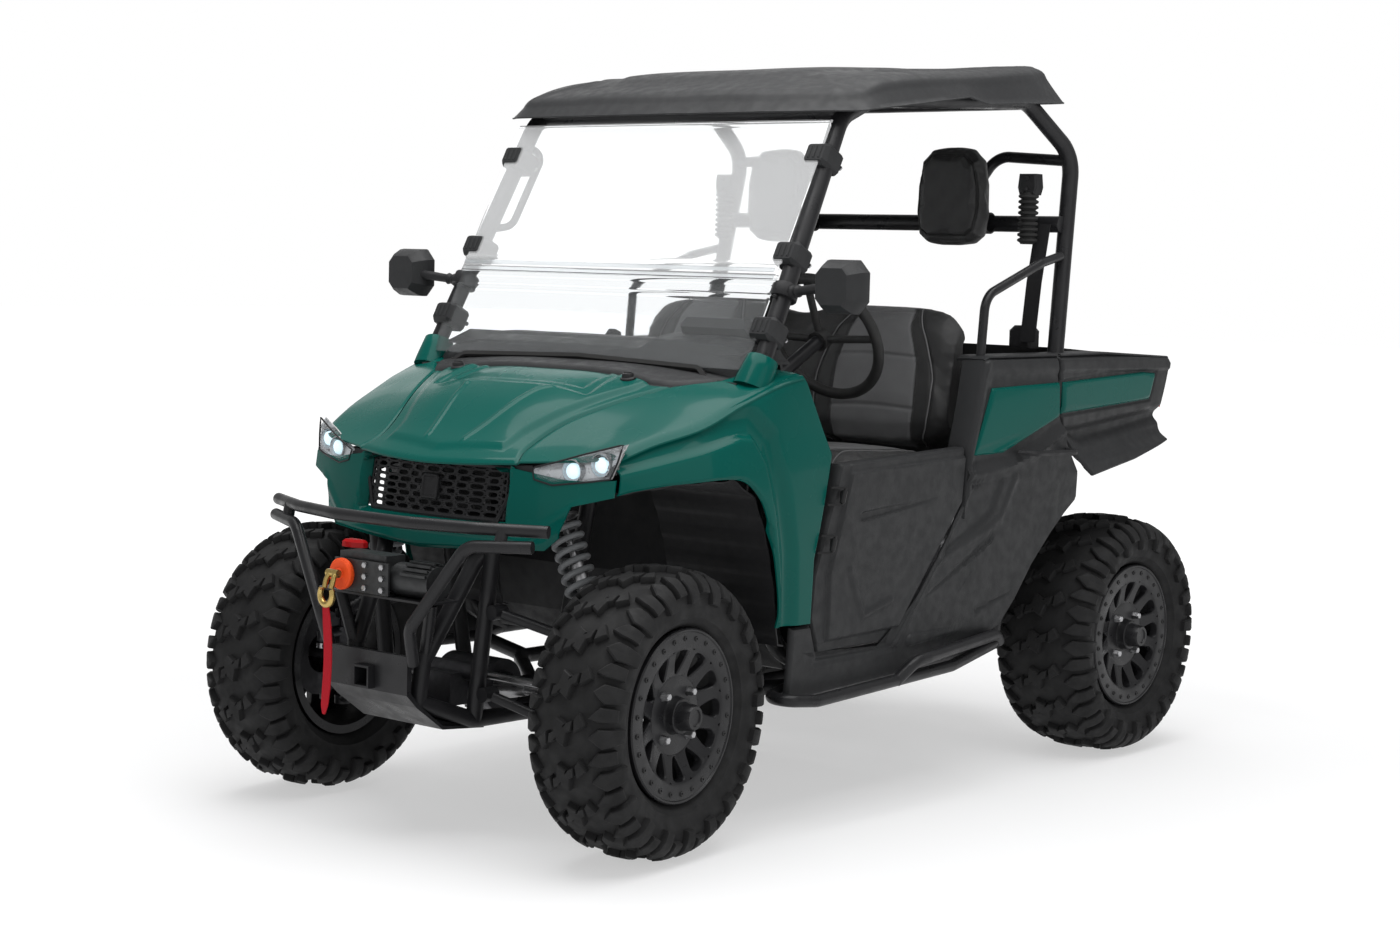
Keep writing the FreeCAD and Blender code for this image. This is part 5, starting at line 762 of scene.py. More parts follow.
def knot_weights(knots, places):
    """Weights of a cubic curve through knots, whose slope at each knot is that of its neighbours."""
    knots, places = np.asarray(knots, float), np.asarray(places, float)
    count = len(knots)
    before, after = np.maximum(np.arange(count) - 1, 0), np.minimum(np.arange(count) + 1, count - 1)
    eye = np.eye(count)
    slopes = (eye[after] - eye[before]) / (knots[after] - knots[before])[:, None]
    cell = np.clip(np.searchsorted(knots, places) - 1, 0, count - 2)
    span = knots[cell + 1] - knots[cell]
    t = np.clip((places - knots[cell]) / span, -0.4, 1.4)
    weights = (2 * t**3 - 3 * t**2 + 1)[:, None] * eye[cell] + (3 * t**2 - 2 * t**3)[:, None] * eye[cell + 1]
    weights += (span * (t**3 - 2 * t**2 + t))[:, None] * slopes[cell]
    return weights + (span * (t**3 - t**2))[:, None] * slopes[cell + 1]


class Moulding:
    """A smooth surface from a table of heights over two directions."""

    def __init__(self, first, second, table):
        """Knots of the two directions and a table of heights, a row for each first knot."""
        self.first, self.second, self.table = first, second, np.asarray(table, float)

    def __call__(self, first, second):
        """Heights at places of the two directions."""
        first, second = np.broadcast_arrays(np.asarray(first, float), np.asarray(second, float))
        rows = knot_weights(self.first, first.ravel())
        columns = knot_weights(self.second, second.ravel())
        return np.einsum("ni,ij,nj->n", rows, self.table, columns).reshape(first.shape)


def mirror_row(row):
    """A row given from the middle outwards, made whole."""
    return tuple(row[::-1]) + tuple(row[1:])


def resampled(path, count):
    """The path with count points, spread by length, that keeps its corners."""
    path = np.asarray(path, float)
    length = np.linalg.norm(np.diff(path, axis=0), axis=1)
    spots = np.concatenate(([0], np.cumsum(length))) / length.sum() * (count - 1)
    spots = np.round(spots)
    spots[1:-1] = np.clip(spots[1:-1], np.arange(1, len(spots) - 1), count - 1 - np.arange(len(spots) - 2, 0, -1))
    place = np.arange(count)
    return np.stack([np.interp(place, spots, path[:, axis]) for axis in range(path.shape[1])], -1)


def closed_ring(outline, count):
    """Points spread round a closed outline."""
    return resampled(np.concatenate((outline, outline[:1])), count + 1)[:-1]


def patch(low, right, high, left, rows, columns):
    """Fill four boundary paths: the mean of the two ways across less the mix of the corners."""
    low, high = resampled(low, columns), resampled(high, columns)
    left, right = resampled(left, rows), resampled(right, rows)
    u = np.linspace(0, 1, columns)[None, :, None]
    v = np.linspace(0, 1, rows)[:, None, None]
    straight = (1 - u) * left[:, None] + u * right[:, None]
    corners = (1 - u) * (1 - v) * low[0] + u * (1 - v) * low[-1] + (1 - u) * v * high[0] + u * v * high[-1]
    return (1 - v) * low[None] + v * high[None] + straight - corners


def gap_to(points, path, closed=False):
    """Distance from every point to a path, in the plane of the points."""
    path = np.asarray(path, float)
    start, end = (path, np.roll(path, -1, 0)) if closed else (path[:-1], path[1:])
    flat = np.asarray(points, float).reshape(-1, 1, 2)
    run = end - start
    share = np.sum((flat - start) * run, -1) / np.maximum(np.sum(run * run, -1), 1e-9)
    foot = start + np.clip(share, 0, 1)[..., None] * run
    return np.linalg.norm(flat - foot, axis=-1).min(1).reshape(np.shape(points)[:-1])


def depth_in(points, outline):
    """Distance to a closed outline, positive inside it and negative outside."""
    outline = np.asarray(outline, float)
    x, y = np.asarray(points, float).reshape(-1, 1, 2).transpose(2, 0, 1)
    ax, ay = outline.T
    bx, by = np.roll(outline, -1, 0).T
    crossing = (ay > y) != (by > y)
    lean = np.where(np.abs(by - ay) < 1e-9, 1e-9, by - ay)
    inside = (crossing & (x < (bx - ax) * (y - ay) / lean + ax)).sum(1) % 2 == 1
    gap = gap_to(points, outline, True)
    return np.where(inside.reshape(gap.shape), gap, -gap)


def soft(value):
    """Zero below 0, one above 1, and a smooth S between."""
    value = np.clip(value, 0, 1)
    return value * value * (3 - 2 * value)


def ridge(points, path, half, height):
    """A rounded ridge, or a groove where height is negative, along a path."""
    return height * soft(1 - gap_to(points, path) / half)


def raised(points, outline, slope, height):
    """A field lifted inside an outline, with a sloped border just inside it."""
    return height * soft(depth_in(points, outline) / slope)


def rolled(gap, width, drop):
    """How far a rolled edge turns in: the whole drop at the edge, none at a width from it."""
    return drop * (1 - soft(gap / width)) ** 2


def rounded_off(gap, width, drop):
    """The same with a plain parabola, for edges that meet another panel."""
    return drop * (1 - np.clip(gap / width, 0, 1)) ** 2


def shell(outer, push):
    """A closed wall between a grid of places and the same grid moved by push."""
    rows, columns = outer.shape[:2]
    inner = outer + np.asarray(push, float)
    index = np.arange(rows * columns).reshape(rows, columns)
    loop = np.concatenate((index[0], index[1:, -1], index[-1, -2::-1], index[-2:0:-1, 0]))
    after = np.roll(loop, -1)
    front = grid_faces(rows, columns)
    back = front[:, ::-1] + rows * columns
    rim = np.stack((loop, after, after + rows * columns, loop + rows * columns), -1)
    return np.concatenate((outer.reshape(-1, 3), inner.reshape(-1, 3))), np.concatenate((front, back, rim)).tolist()


TOP = Moulding((-240, -100, 20, 140, 260, 420, 620), (-660, -520, -400, -270, -150, 0, 150, 270, 400, 520, 660), [
    mirror_row(row) for row in (
        (834, 834, 830, 822, 812, 790), (918, 914, 898, 886, 872, 842), (1000, 996, 975, 952, 932, 892),
        (1052, 1049, 1032, 1010, 985, 945), (1075, 1074, 1066, 1055, 1038, 1000), (1090, 1090, 1090, 1088, 1082, 1060),
        (1090, 1090, 1090, 1089, 1085, 1070))])
FLANK = Moulding((-260, -120, 0, 120, 260, 400, 600), (450, 700, 850, 950, 1140), (
    (400, 396, 390, 374, 320), (462, 460, 456, 446, 392), (540, 536, 530, 508, 462), (600, 600, 592, 570, 525),
    (612, 618, 612, 598, 565), (612, 620, 615, 606, 594), (606, 612, 608, 602, 598)))
NOSE = Moulding((-660, -400, -200, 0, 200, 400, 660), (420, 780, 1180), (
    (-67, -13, 47), (-177, -123, -63), (-225, -171, -111), (-241, -187, -127), (-225, -171, -111),
    (-177, -123, -63), (-67, -13, 47)))
HOOD_SIDE = ((257, -146), (240, -104), (258, -30), (312, 70), (392, 222))
HOOD_FRONT = ((-257, -146), (-150, -176), (0, -188), (150, -176), (257, -146))
HOOD_REAR = ((-392, 222), (-345, 206), (-282, 212), (-215, 225), (0, 228), (215, 225), (282, 212), (345, 206),
             (392, 222))
HOOD_HINGE = (-171, 859)
LAMP_RADIUS = 21
ARCH = ((-72, 812), (-40, 822), (60, 838), (205, 842), (268, 800), (305, 720), (344, 571), (352, 492))


def smooth_path(corners, count=60):
    """A curve through points, by the same cubic weights as the mouldings."""
    corners = np.asarray(corners, float)
    length = lengths_along(corners)
    return knot_weights(length, np.linspace(0, length[-1], count)) @ corners


def mirrored_loop(corners, count):
    """A closed loop from its right half, which runs from the middle plane back to it."""
    right = resampled(corners, count)
    return np.concatenate((right, (right * (-1, 1))[-2:0:-1]))


def make_hood():
    """The hood: the top moulding over its own plan, with a raised dome, a rolled edge, a lip
    along the front and a shallow tray before the cowl."""
    side = smooth_path(HOOD_SIDE)
    front, rear, far = smooth_path(HOOD_FRONT), smooth_path(HOOD_REAR), side * (-1, 1)
    plan = patch(front, side, rear, far, 90, 150)
    edge = np.concatenate((front[:-1], side[:-1], rear[:0:-1], far[:0:-1]))
    dome = ((-196, -128), (0, -160), (196, -128), (206, -70), (268, 40), (334, 160), (350, 250), (228, 250), (240, 96),
            (-240, 96), (-228, 250), (-350, 250), (-334, 160), (-268, 40), (-206, -70))
    tray = ((-216, 110), (216, 110), (206, 250), (-206, 250))
    along = np.abs(plan) * (1, 0) + plan * (0, 1)
    height = over(TOP, plan[..., ::-1]) + raised(plan, dome, 20, 8) - raised(plan, tray, 9, 4.5)
    height += ridge(along, ((60, -120), (118, 60)), 11, 2.6) + ridge(along, ((118, 60), (150, 84)), 11, 2.6)
    height -= rolled(gap_to(plan, edge, True), 9, 5)
    show("hood_shell", shell(on_top(plan, height), (0, 0, -0.004)), "green_paint", "hood", ("hood",))
    for side in (-1, 1):
        foot = at(side * 282, 192, 1054)
        knob = lathe(((-0.004, AXIS), (-0.004, 0.019), (0.003, 0.019), (0.005, 0.017), (0.006, 0.0145),
                      (0.013, 0.0135), (0.015, 0.012), (0.0155, AXIS)), 24, foot, foot + (0, -0.02, 0.1))
        slot = carried(circle(0.0022, 8, 0.8), [foot + (-0.011, -0.002, 0.0155), foot + (0.011, -0.002, 0.0155)])
        show(f"hood_knob_{'left' if side > 0 else 'right'}", gathered([knob, slot]), "black_plastic", "hood")
    barrel = rod(0.006, -0.03, 0.03, 16, at(0, *HOOD_HINGE), at(100, *HOOD_HINGE))
    show("hood_hinge_barrel", barrel, "black_metal", "hood")


def crease_line(count=60):
    """Where the fender's side meets its top: solved by going back and forth between the two."""
    along = np.linspace(-62, 451, count)
    up = np.full(count, 950.0)
    for _ in range(12):
        across = FLANK(along, up)
        up = TOP(along, across)
    return np.stack((across, along, up), -1)


def make_fenders():
    """Front fenders: a top and a side panel that roll into each other along the shoulder, with a
    recessed channel under the shoulder and a raised blister over the wheel arch."""
    line = crease_line()
    seam = np.concatenate((smooth_path(HOOD_SIDE, 40) + (2.5, 0), ((470, 300), (492, 385), (508, 440))))
    front = ((259.5, -146), (300, -134), (420, -98), (line[0, 0], line[0, 1]))
    plan = patch(front, line[:, :2], ((508, 440), (560, 447), line[-1, :2]), seam, 110, 60)
    height = over(TOP, plan[..., ::-1]) - rounded_off(gap_to(plan, line[:, :2]), 26, 7)
    height -= rolled(gap_to(plan, seam), 8, 4)
    top = shell(on_top(plan, height), (0, 0, -0.004))
    shoulder = line[:, 1:]
    outer = np.concatenate((shoulder, ((563, 885), (494, 641), (494, 489))))
    lower = smooth_path(ARCH, 70)
    flat = patch(lower, ((352, 492), (494, 489)), outer, ((-72, 812), (-66, 863), shoulder[0]), 64, 190)
    channel = ((-70, 893), (60, 932), (190, 966), (262, 975), (318, 925), (356, 800), (384, 660), (396, 500))
    blister = ((-130, 858), (-66, 874), (60, 908), (215, 948), (262, 944), (302, 880), (334, 760), (362, 600),
               (372, 470), (330, 440), (300, 720), (200, 830), (-130, 780))
    across = over(FLANK, flat) + ridge(flat, channel, 46, -13)
    across += raised(flat, blister, 17, 13) * soft((flat[..., 1] - 470) / 60)
    across -= rounded_off(gap_to(flat, shoulder), 26, 7)
    rear = ((451, 1086), (563, 885), (494, 641), (494, 489))
    across -= rolled(gap_to(flat, rear), 10, 5) + rolled(gap_to(flat, lower), 8, 5)
    side = shell(on_side(across, flat), (-0.004, 0, 0))
    foot, head = at(532, 338, 1040), at(542 - 36 * 0.1, 345 + 338 * 0.1, 1060 + 625 * 0.1)
    cone = lathe(((0, 0.031), (0, 0.046), (0.02, 0.0445), (0.05, 0.041), (0.076, 0.038), (0.079, 0.0355),
                  (0.079, 0.031), (0, 0.031)), 40, foot, head)
    show("fender_panels", both(gathered([top, side, cone])), "green_paint", replaces=("front_fenders",))


def wall_ring(outer, push):
    """A closed wall from a grid that is a ring along its columns."""
    inner = outer + np.asarray(push, float)
    return surface(np.concatenate((outer, inner[::-1])), ring_rows=True, ring_cols=True)


def make_fascia():
    """The nose: a ring from the grille opening out to the fascia's border, bent onto the nose
    moulding, that turns in round the grille and rolls under along the bumper."""
    inner = mirrored_loop(((0, 862), (227, 862), (231, 736), (0, 736)), 90)
    outer = mirrored_loop(((0, 864), (244, 864), (306, 824), (352, 823), (492, 846), (492, 808), (402, 783),
                           (386, 742), (376, 712), (345, 682), (0, 662)), 90)
    v = np.linspace(0, 1, 30)[:, None, None]
    front = (1 - v) * inner + v * outer
    along = over(NOSE, front)
    along += 24 * (1 - soft(gap_to(front, inner, True) / 16)) * (v[..., 0] < 1)
    lower = ((-374, 712), (-345, 682), (0, 662), (345, 682), (374, 712))
    along += rolled(gap_to(front, lower), 12, 8)
    crease = ((-300, 700), (-210, 712), (210, 712), (300, 700), (420, 790))
    along += ridge(np.abs(front), crease, 16, -3)
    show("nose_fascia", wall_ring(on_front(front, along), (0, 0.004, 0)), "green_paint",
         replaces=("front_fascia",))


def grille_half(up):
    """Half the width of the grille opening at a height."""
    return np.interp(up, (736, 862), (231, 227))


def make_grille():
    """A mesh of staggered rounded slots: each cell is a ring from its border to its slot and back
    through the plate, with a frame round all and a bare block in the middle."""
    east, north, square, rounded = square_ways(24, 3)
    parts = []
    rows, tall = 8, 15.4
    for row in range(rows):
        up = 744 + tall * (row + 0.5) - 4
        reach = grille_half(up - tall / 2) - 6
        step = 41.0 if row % 2 else 46.0
        count = int(reach // (step / 2)) + 1
        middles = (np.arange(-count, count + 1) + (0.5 if row % 2 else 0)) * step
        for number, middle in enumerate(middles):
            low, high = np.clip((middle - step / 2, middle + step / 2), -reach, reach)
            if high - low < 10:
                continue
            half, centre = (high - low) / 2, (high + low) / 2
            wide = max(half - (4.5 if number % 3 else 8.5), 2.5)
            hole = np.stack((centre + wide * east * rounded, up + 4.6 * north * rounded), -1)
            lip = np.stack((centre + (wide + 1.2) * east * rounded, up + 5.8 * north * rounded), -1)
            border = np.stack((centre + half * np.clip(east * square, -1, 1),
                               up + tall / 2 * np.clip(north * square, -1, 1)), -1)
            loops = np.stack((border, lip, hole, hole, border))
            depth = np.array((22.0, 22.0, 23.5, 28.0, 28.0))[:, None]
            along = over(NOSE, loops) + depth
            parts.append(surface(on_front(loops, along), ring_rows=True, ring_cols=True))
    outer = mirrored_loop(((0, 866), (268, 866), (209, 732), (0, 732)), 40)
    inner = mirrored_loop(((0, 854), (252, 854), (202, 743), (0, 743)), 40)
    loops = np.stack((outer, (outer + inner) / 2, inner, inner, outer))
    along = over(NOSE, loops) + np.array((20.0, 17.0, 20.0, 29.0, 29.0))[:, None]
    parts.append(surface(on_front(loops, along), ring_rows=True, ring_cols=True))
    show("grille_mesh", gathered(parts), "black_mesh", replaces=("grille",))
    corners = np.array(((-24, -28), (24, -28), (27, -20), (27, 24), (20, 30), (-20, 30), (-27, 24), (-27, -20)))
    block = plate(corners, (0, 7, 9, 9, 6), (0, 0, 2, 6, 8),
                  lambda x, z, rise: at(x, NOSE(x, z + 800) + 22 - rise, z + 800))
    show("grille_block", block, "black_plastic")


def make_headlamps():
    """Headlamps: a dark tray, two round lamps in bright bowls, ribs at the outer end and a clear
    cover that bulges over them."""
    low, high = ((306, 838), (352, 828), (440, 841), (480, 848)), ((298, 863), (350, 878), (420, 901), (499, 925))
    flat = patch(low, (low[-1], (492, 886), high[-1]), high, (low[0], high[0]), 30, 60)
    edge = np.concatenate((low, ((492, 886),), high[::-1]))
    gap = gap_to(flat, edge, True)
    lean = over(NOSE, flat)
    lean = np.maximum(lean, np.interp(flat[..., 1], (833, 860, 930), (-200, -120, -62)) + (flat[..., 0] - 400) * 0.16)
    cover = on_front(flat, lean - 5 * soft(gap / 14) + 2)
    tray = on_front(flat, lean + 4 + 15 * soft(gap / 8))
    show("lamp_covers", both(shell(cover, (0, 0.002, 0))), "lamp")
    show("lamp_trays", both(shell(tray, (0, 0.003, 0))), "lamp_tray", replaces=("headlamps",))
    bowl = ((0.0, AXIS), (0.0, 0.55), (0.35, 0.9), (0.8, 1.12), (0.9, 1.18), (0.9, 1.26), (-0.1, 1.26), (-0.1, AXIS))
    lens = ((0.25, AXIS), (0.25, 0.8), (0.5, 0.86), (0.75, 0.78), (0.95, 0.5), (1.0, AXIS))
    bowl, lens = (np.array(shares) * LAMP_RADIUS / 1000 for shares in (bowl, lens))
    parts, lenses = [], []
    for across, up in ((386, 861), (449, 877)):
        along = float(NOSE(across, up))
        foot, ahead = at(across, along + 26, up), at(across + 8, along - 60, up)
        parts.append(lathe(bowl, 36, foot, ahead))
        lenses.append(lathe(lens, 36, foot, ahead))
    for number in range(5):
        across = 460 + number * 6
        low_up, high_up = 853 + number * 1.5, 890 + number * 4
        base = float(NOSE(across, 880)) + 8
        path = [at(across, base + 8, low_up), at(across + 3, base + 2, (low_up + high_up) / 2),
                at(across + 8, base + 14, high_up)]
        parts.append(carried(((-0.0035, -0.003), (0.0035, -0.003), (0.001, 0.004)), path))
    show("lamp_bowls", both(gathered(parts)), "steel")
    show("lamp_lenses", both(gathered(lenses)), "lamp_glow")
    cheek = patch(((244, 864), (306, 824)), ((306, 824), (310, 838)), ((292, 868), (310, 838)),
                  ((244, 864), (292, 868)), 12, 12)
    cheek = shell(on_front(cheek, over(NOSE, cheek) + 7), (0, 0.004, 0))
    show("lamp_cheeks", both(cheek), "black_plastic")
    outline = np.concatenate((resampled(low, 30), resampled(((492, 886), (499, 925)), 4),
                              resampled(high[::-1], 30)[1:]))
    seal = carried(circle(0.0022, 8), on_front(outline, over(NOSE, outline)), ring_path=True)
    show("lamp_seals", both(seal), "black_plastic")


QUARTER = Moulding((380, 700, 1000, 1250, 1480, 1680), (270, 450, 700, 900, 1000, 1130), (
    (592, 604, 612, 612, 608, 600), (598, 610, 618, 618, 614, 606), (604, 616, 628, 632, 630, 622),
    (608, 620, 634, 645, 646, 640), (608, 622, 640, 655, 659, 657), (608, 622, 642, 658, 660, 660)))
BED = Moulding((1440, 1600, 1800, 2000, 2120), (760, 850, 900, 960, 1060, 1150), (
    (655, 650, 645, 655, 660, 658), (668, 655, 645, 655, 660, 658), (678, 662, 645, 655, 660, 656),
    (688, 674, 648, 655, 660, 654), (692, 680, 650, 655, 660, 652)))
DOOR = ((577, 862), (1090, 882), (1086, 745), (820, 412), (534, 410), (494, 500), (497, 600))
HINGES = ((568, 790), (534, 678))
INSERT = ((1182, 1030), (1110, 858), (1240, 864), (1300, 885), (1478, 950), (1472, 1040))


def wedge(points, start, end, half, height):
    """A groove or ridge along a line that is widest at its start and fades to its end."""
    start, end = np.asarray(start, float), np.asarray(end, float)
    run = end - start
    share = np.clip(np.sum((points - start) * run, -1) / (run @ run), 0, 1)
    gap = np.linalg.norm(points - (start + share[..., None] * run), axis=-1)
    width = half * (1 - 0.75 * share)
    return height * (1 - share) ** 0.6 * soft((width - gap) / (half * 0.5) + 0.5)


def make_doors():
    """Half doors: a flat face inside a broad bevel, with a fading slot, a folded V and hinge leaves."""
    flat = patch(((534, 410), (820, 412)), ((820, 412), (1086, 745), (1090, 882)), ((577, 862), (1090, 882)),
                 ((534, 410), (494, 500), (497, 600), (577, 862)), 150, 160)
    lean = np.interp(flat[..., 1], (410, 700, 882), (606, 622, 630)) + 4
    top_bevel = soft((flat[..., 1] - np.interp(flat[..., 0], (577, 1086), (836, 856))) / 7) * 7
    low_bevel = soft((np.interp(flat[..., 1], (500, 600, 862), (560, 552, 622)) - flat[..., 0]) / 9) * 9
    foot = soft((np.interp(flat[..., 0], (540, 800), (446, 452)) - flat[..., 1]) / 12) * 12
    across = lean - np.maximum(np.maximum(top_bevel, low_bevel), foot)
    across += wedge(flat, (664, 733), (972, 762), 11, -7)
    dish = ((626, 604), (689, 488), (860, 530), (960, 640), (900, 700), (640, 690))
    across += ridge(flat, ((626, 604), (689, 488), (800, 516)), 16, 5) + raised(flat, dish, 40, -2.4)
    across -= rolled(depth_in(flat, DOOR), 7, 9)
    skin = shell(on_side(across, flat), (-0.026, 0, 0))
    for side, name in SIDES:
        body = f"door_{name}"
        part = skin if side > 0 else flipped(skin)
        show(f"{body}_panel", part, "grey_plastic", body, (body,))
        leaves, ears = [], []
        leaf = np.array(((-2, -11), (12, -11), (15, -6), (15, 6), (12, 11), (-2, 11)))
        for along, up in HINGES:
            low, high = at(side * 638, along - 6, up - 16), at(side * 638, along + 3, up + 12)
            leaves.append(rod(0.007, -0.002, 0.028, 20, low, high))
            leaves.append(plate(leaf, (0, 3, 4), (0, 0, 1.4),
                                lambda y, z, rise: at(side * (628 + rise), along + y, up + z)))
            low, high = at(side * 638, along - 8, up - 22), at(side * 638, along + 5, up + 18)
            ears.append(rod(0.0038, 0, 0.042, 14, low, high))
            for end in (low, high):
                ears.append(carried(flat_bar(0.005, 0.002), [end, end + (-side * 0.01, -0.01, 0),
                                                             end + (-side * 0.024, -0.024, 0)]))
        show(f"{body}_hinge_leaves", gathered(leaves), "black_metal", body)
        show(f"hinge_ears_{name}", gathered(ears), "black_metal")


def rail_lip(moulding, line):
    """The inward lip along the top of a side moulding, under a line of (along, up)."""
    path = resampled([(float(moulding(along, up)) - 4, along, up) for along, up in line], 30)
    profile = np.array(((-84, -3), (0, -3), (6, 0), (5, 3), (0, 5), (-80, 5), (-84, 2))) / 1000
    return carried(profile, at(*path.T) + (0, 0, -0.002))


def make_quarters():
    """Rear quarters and sills: ribs, a folded arm over the arch, the frame round the green insert
    and a rounded rail on top."""
    low = ((424, 305), (932, 328), (1190, 372), (1290, 408))
    right = ((1290, 408), (1352, 470), (1420, 560), (1500, 640), (1560, 690), (1606, 722), (1600, 800), (1530, 880),
             (1492, 948), (1478, 1040), (1462, 1112))
    high = ((496, 483), (528, 400), (826, 402), (1092, 738), (1095, 880), (1150, 1101), (1168, 1109), (1462, 1112))
    left = ((424, 305), (424, 483), (496, 483))
    flat = patch(low, right, high, left, 98, 240)
    outline = np.concatenate((low[:-1], right[:-1], high[:0:-1], left[:0:-1]))
    across = over(QUARTER, flat)
    across += raised(flat, ((1130, 790), (1262, 800), (1218, 708), (1172, 680), (1000, 606), (1060, 720)), 14, -7)
    across += ridge(flat, ((1307, 800), (1252, 694), (1194, 667), (995, 603)), 15, 4)
    across += wedge(flat, (1118, 786), (1300, 798), 8, -6) + wedge(flat, (1215, 640), (930, 508), 9, -7)
    across += wedge(flat, (1176, 462), (1356, 502), 8, -6) + wedge(flat, (895, 410), (1140, 418), 14, 7)
    across += ridge(flat, ((1096, 811), (1268, 826), (1400, 862), (1512, 912), (1580, 850)), 20, 9)
    across += raised(flat, ((1096, 832), (1262, 846), (1380, 880), (1500, 930), (1490, 1066), (1190, 1066),
                            (1160, 1030)), 8, -4)
    across += ridge(flat, ((1160, 1098), (1105, 880), (1090, 740), (836, 418)), 24, 5)
    across += 4 * soft((flat[..., 1] - 1066) / 8) - 10 * soft((flat[..., 1] - 1092) / 22) ** 2
    across -= rolled(depth_in(flat, outline), 8, 8)
    across += ridge(flat, ((520, 392), (830, 394)), 12, -4)
    skin = shell(on_side(across, flat), (-0.005, 0, 0))
    lip = rail_lip(QUARTER, ((1150, 1101), (1168, 1109), (1462, 1112)))
    front = resampled(((1092, 700), (1092, 738), (1095, 880), (1150, 1101)), 50)
    face = at(QUARTER(front[:, 0], front[:, 1]) - 4, front[:, 0] + 1, front[:, 1])
    jamb = carried(np.array(((62, 4), (4, 4), (-2, 0), (4, -3), (62, -3))) / 1000, face, level=(0, 1, 0))
    show("quarter_skins", both(gathered([skin, lip, jamb])), "grey_plastic", replaces=("quarter_panels",))
    show("quarter_insert_plates", both(inset_panel(INSERT, QUARTER)), "green_paint", replaces=("quarter_inserts",))
    handle = at(*np.transpose(((652, 1300, 862), (676, 1308, 862), (688, 1322, 861), (690, 1500, 858),
                               (682, 1520, 858), (655, 1528, 858))))
    latch = carried(np.array(((-9, -5), (9, -7), (11, 0), (8, 6), (-8, 6), (-11, 0))) / 1000, arc_path(handle, 0.016))
    show("bed_latch_handles", both(latch), "black_plastic")


def inset_panel(outline, moulding):
    """A plate over part of a side moulding, whose border is rounded off and turned in."""
    outline = np.asarray(outline, float)
    ring = closed_ring(outline, 160)
    middle = ring.mean(0)
    share = np.concatenate((np.linspace(0.0, 0.9, 18), (0.94, 0.965, 0.985, 1.0)))[:, None, None]
    flat = middle + (ring - middle) * share
    rim = depth_in(flat, outline) * (share[..., 0] < 1)
    fold = wedge(flat, outline[1], outline[1] * 0.45 + outline[4 if len(outline) > 5 else 2] * 0.55, 16, -3)
    proud, wall = 4.5, 0.004
    across = over(moulding, flat) + proud - rolled(rim, 7, proud + 2) + fold
    face = on_side(across, flat)
    return surface(np.concatenate((face, face[::-1] - (wall, 0, 0))), ring_cols=True, caps=True)


def make_bed_sides():
    """Bed sides: a rounded rail, the framed green insert, a hollow under it and a flared skirt."""
    high = ((1466, 1112), (1700, 1115), (2035, 1100), (2050, 1084))
    low = ((1534, 884), (1610, 806), (1640, 786), (1850, 822), (2034, 868))
    left = ((1534, 884), (1496, 950), (1482, 1040), (1466, 1112))
    right = ((2034, 868), (2010, 940), (2050, 1084))
    flat = patch(low, right, high, left, 110, 150)
    outline = np.concatenate((low[:-1], right[:-1], high[:0:-1], left[:0:-1]))
    across = over(BED, flat)
    across += 5 * soft((flat[..., 1] - np.interp(flat[..., 0], (1466, 2050), (1066, 1062))) / 8)
    across -= 12 * soft((flat[..., 1] - 1092) / 20) ** 2
    hollow = ((1500, 925), (1600, 930), (1950, 966), (2030, 972), (2030, 915), (1800, 884), (1600, 862), (1540, 890))
    across += raised(flat, hollow, 26, -16)
    across += raised(flat, ((1476, 1050), (1490, 945), (1952, 975), (1980, 1066), (1900, 1070), (1700, 1066)), 8, -4)
    across += 10 * soft((np.interp(flat[..., 0], (1560, 2034), (838, 892)) - flat[..., 1]) / 26)
    across -= rolled(depth_in(flat, outline), 7, 8)
    across = np.minimum(across, 694)
    skin = shell(on_side(across, flat), (-0.005, 0, 0))
    lip = rail_lip(BED, ((1470, 1112), (1700, 1115), (2035, 1100)))
    show("bed_side_skins", both(gathered([skin, lip])), "grey_plastic", "bed", ("bed_sides",))
    green = inset_panel(((1488, 1040), (1496, 956), (1943, 985), (1966, 1056), (1900, 1060)), BED)
    show("bed_insert_plates", both(green), "green_paint", "bed", ("bed_inserts",))


def bare(name, part):
    """A rough object of a part, for the steps before a piece is shown."""
    return linked(name, mesh_of(name, *part))


def worked(rough):
    """The mesh of an object after its modifiers, with the object taken away."""
    mesh = bpy.data.meshes.new_from_object(rough.evaluated_get(bpy.context.evaluated_depsgraph_get()))
    bpy.data.objects.remove(rough)
    return mesh


def places_of(mesh, field="co"):
    """The places, or another vector field, of a mesh's points."""
    flat = np.empty(len(mesh.vertices) * 3)
    mesh.vertices.foreach_get(field, flat)
    return flat.reshape(-1, 3)


CLOTH = {"quality": 4, "mass": 0.25, "tension_stiffness": 22, "compression_stiffness": 22, "shear_stiffness": 8,
         "bending_stiffness": 0.6, "use_pressure": True}
CLOTH_FRAMES = 20


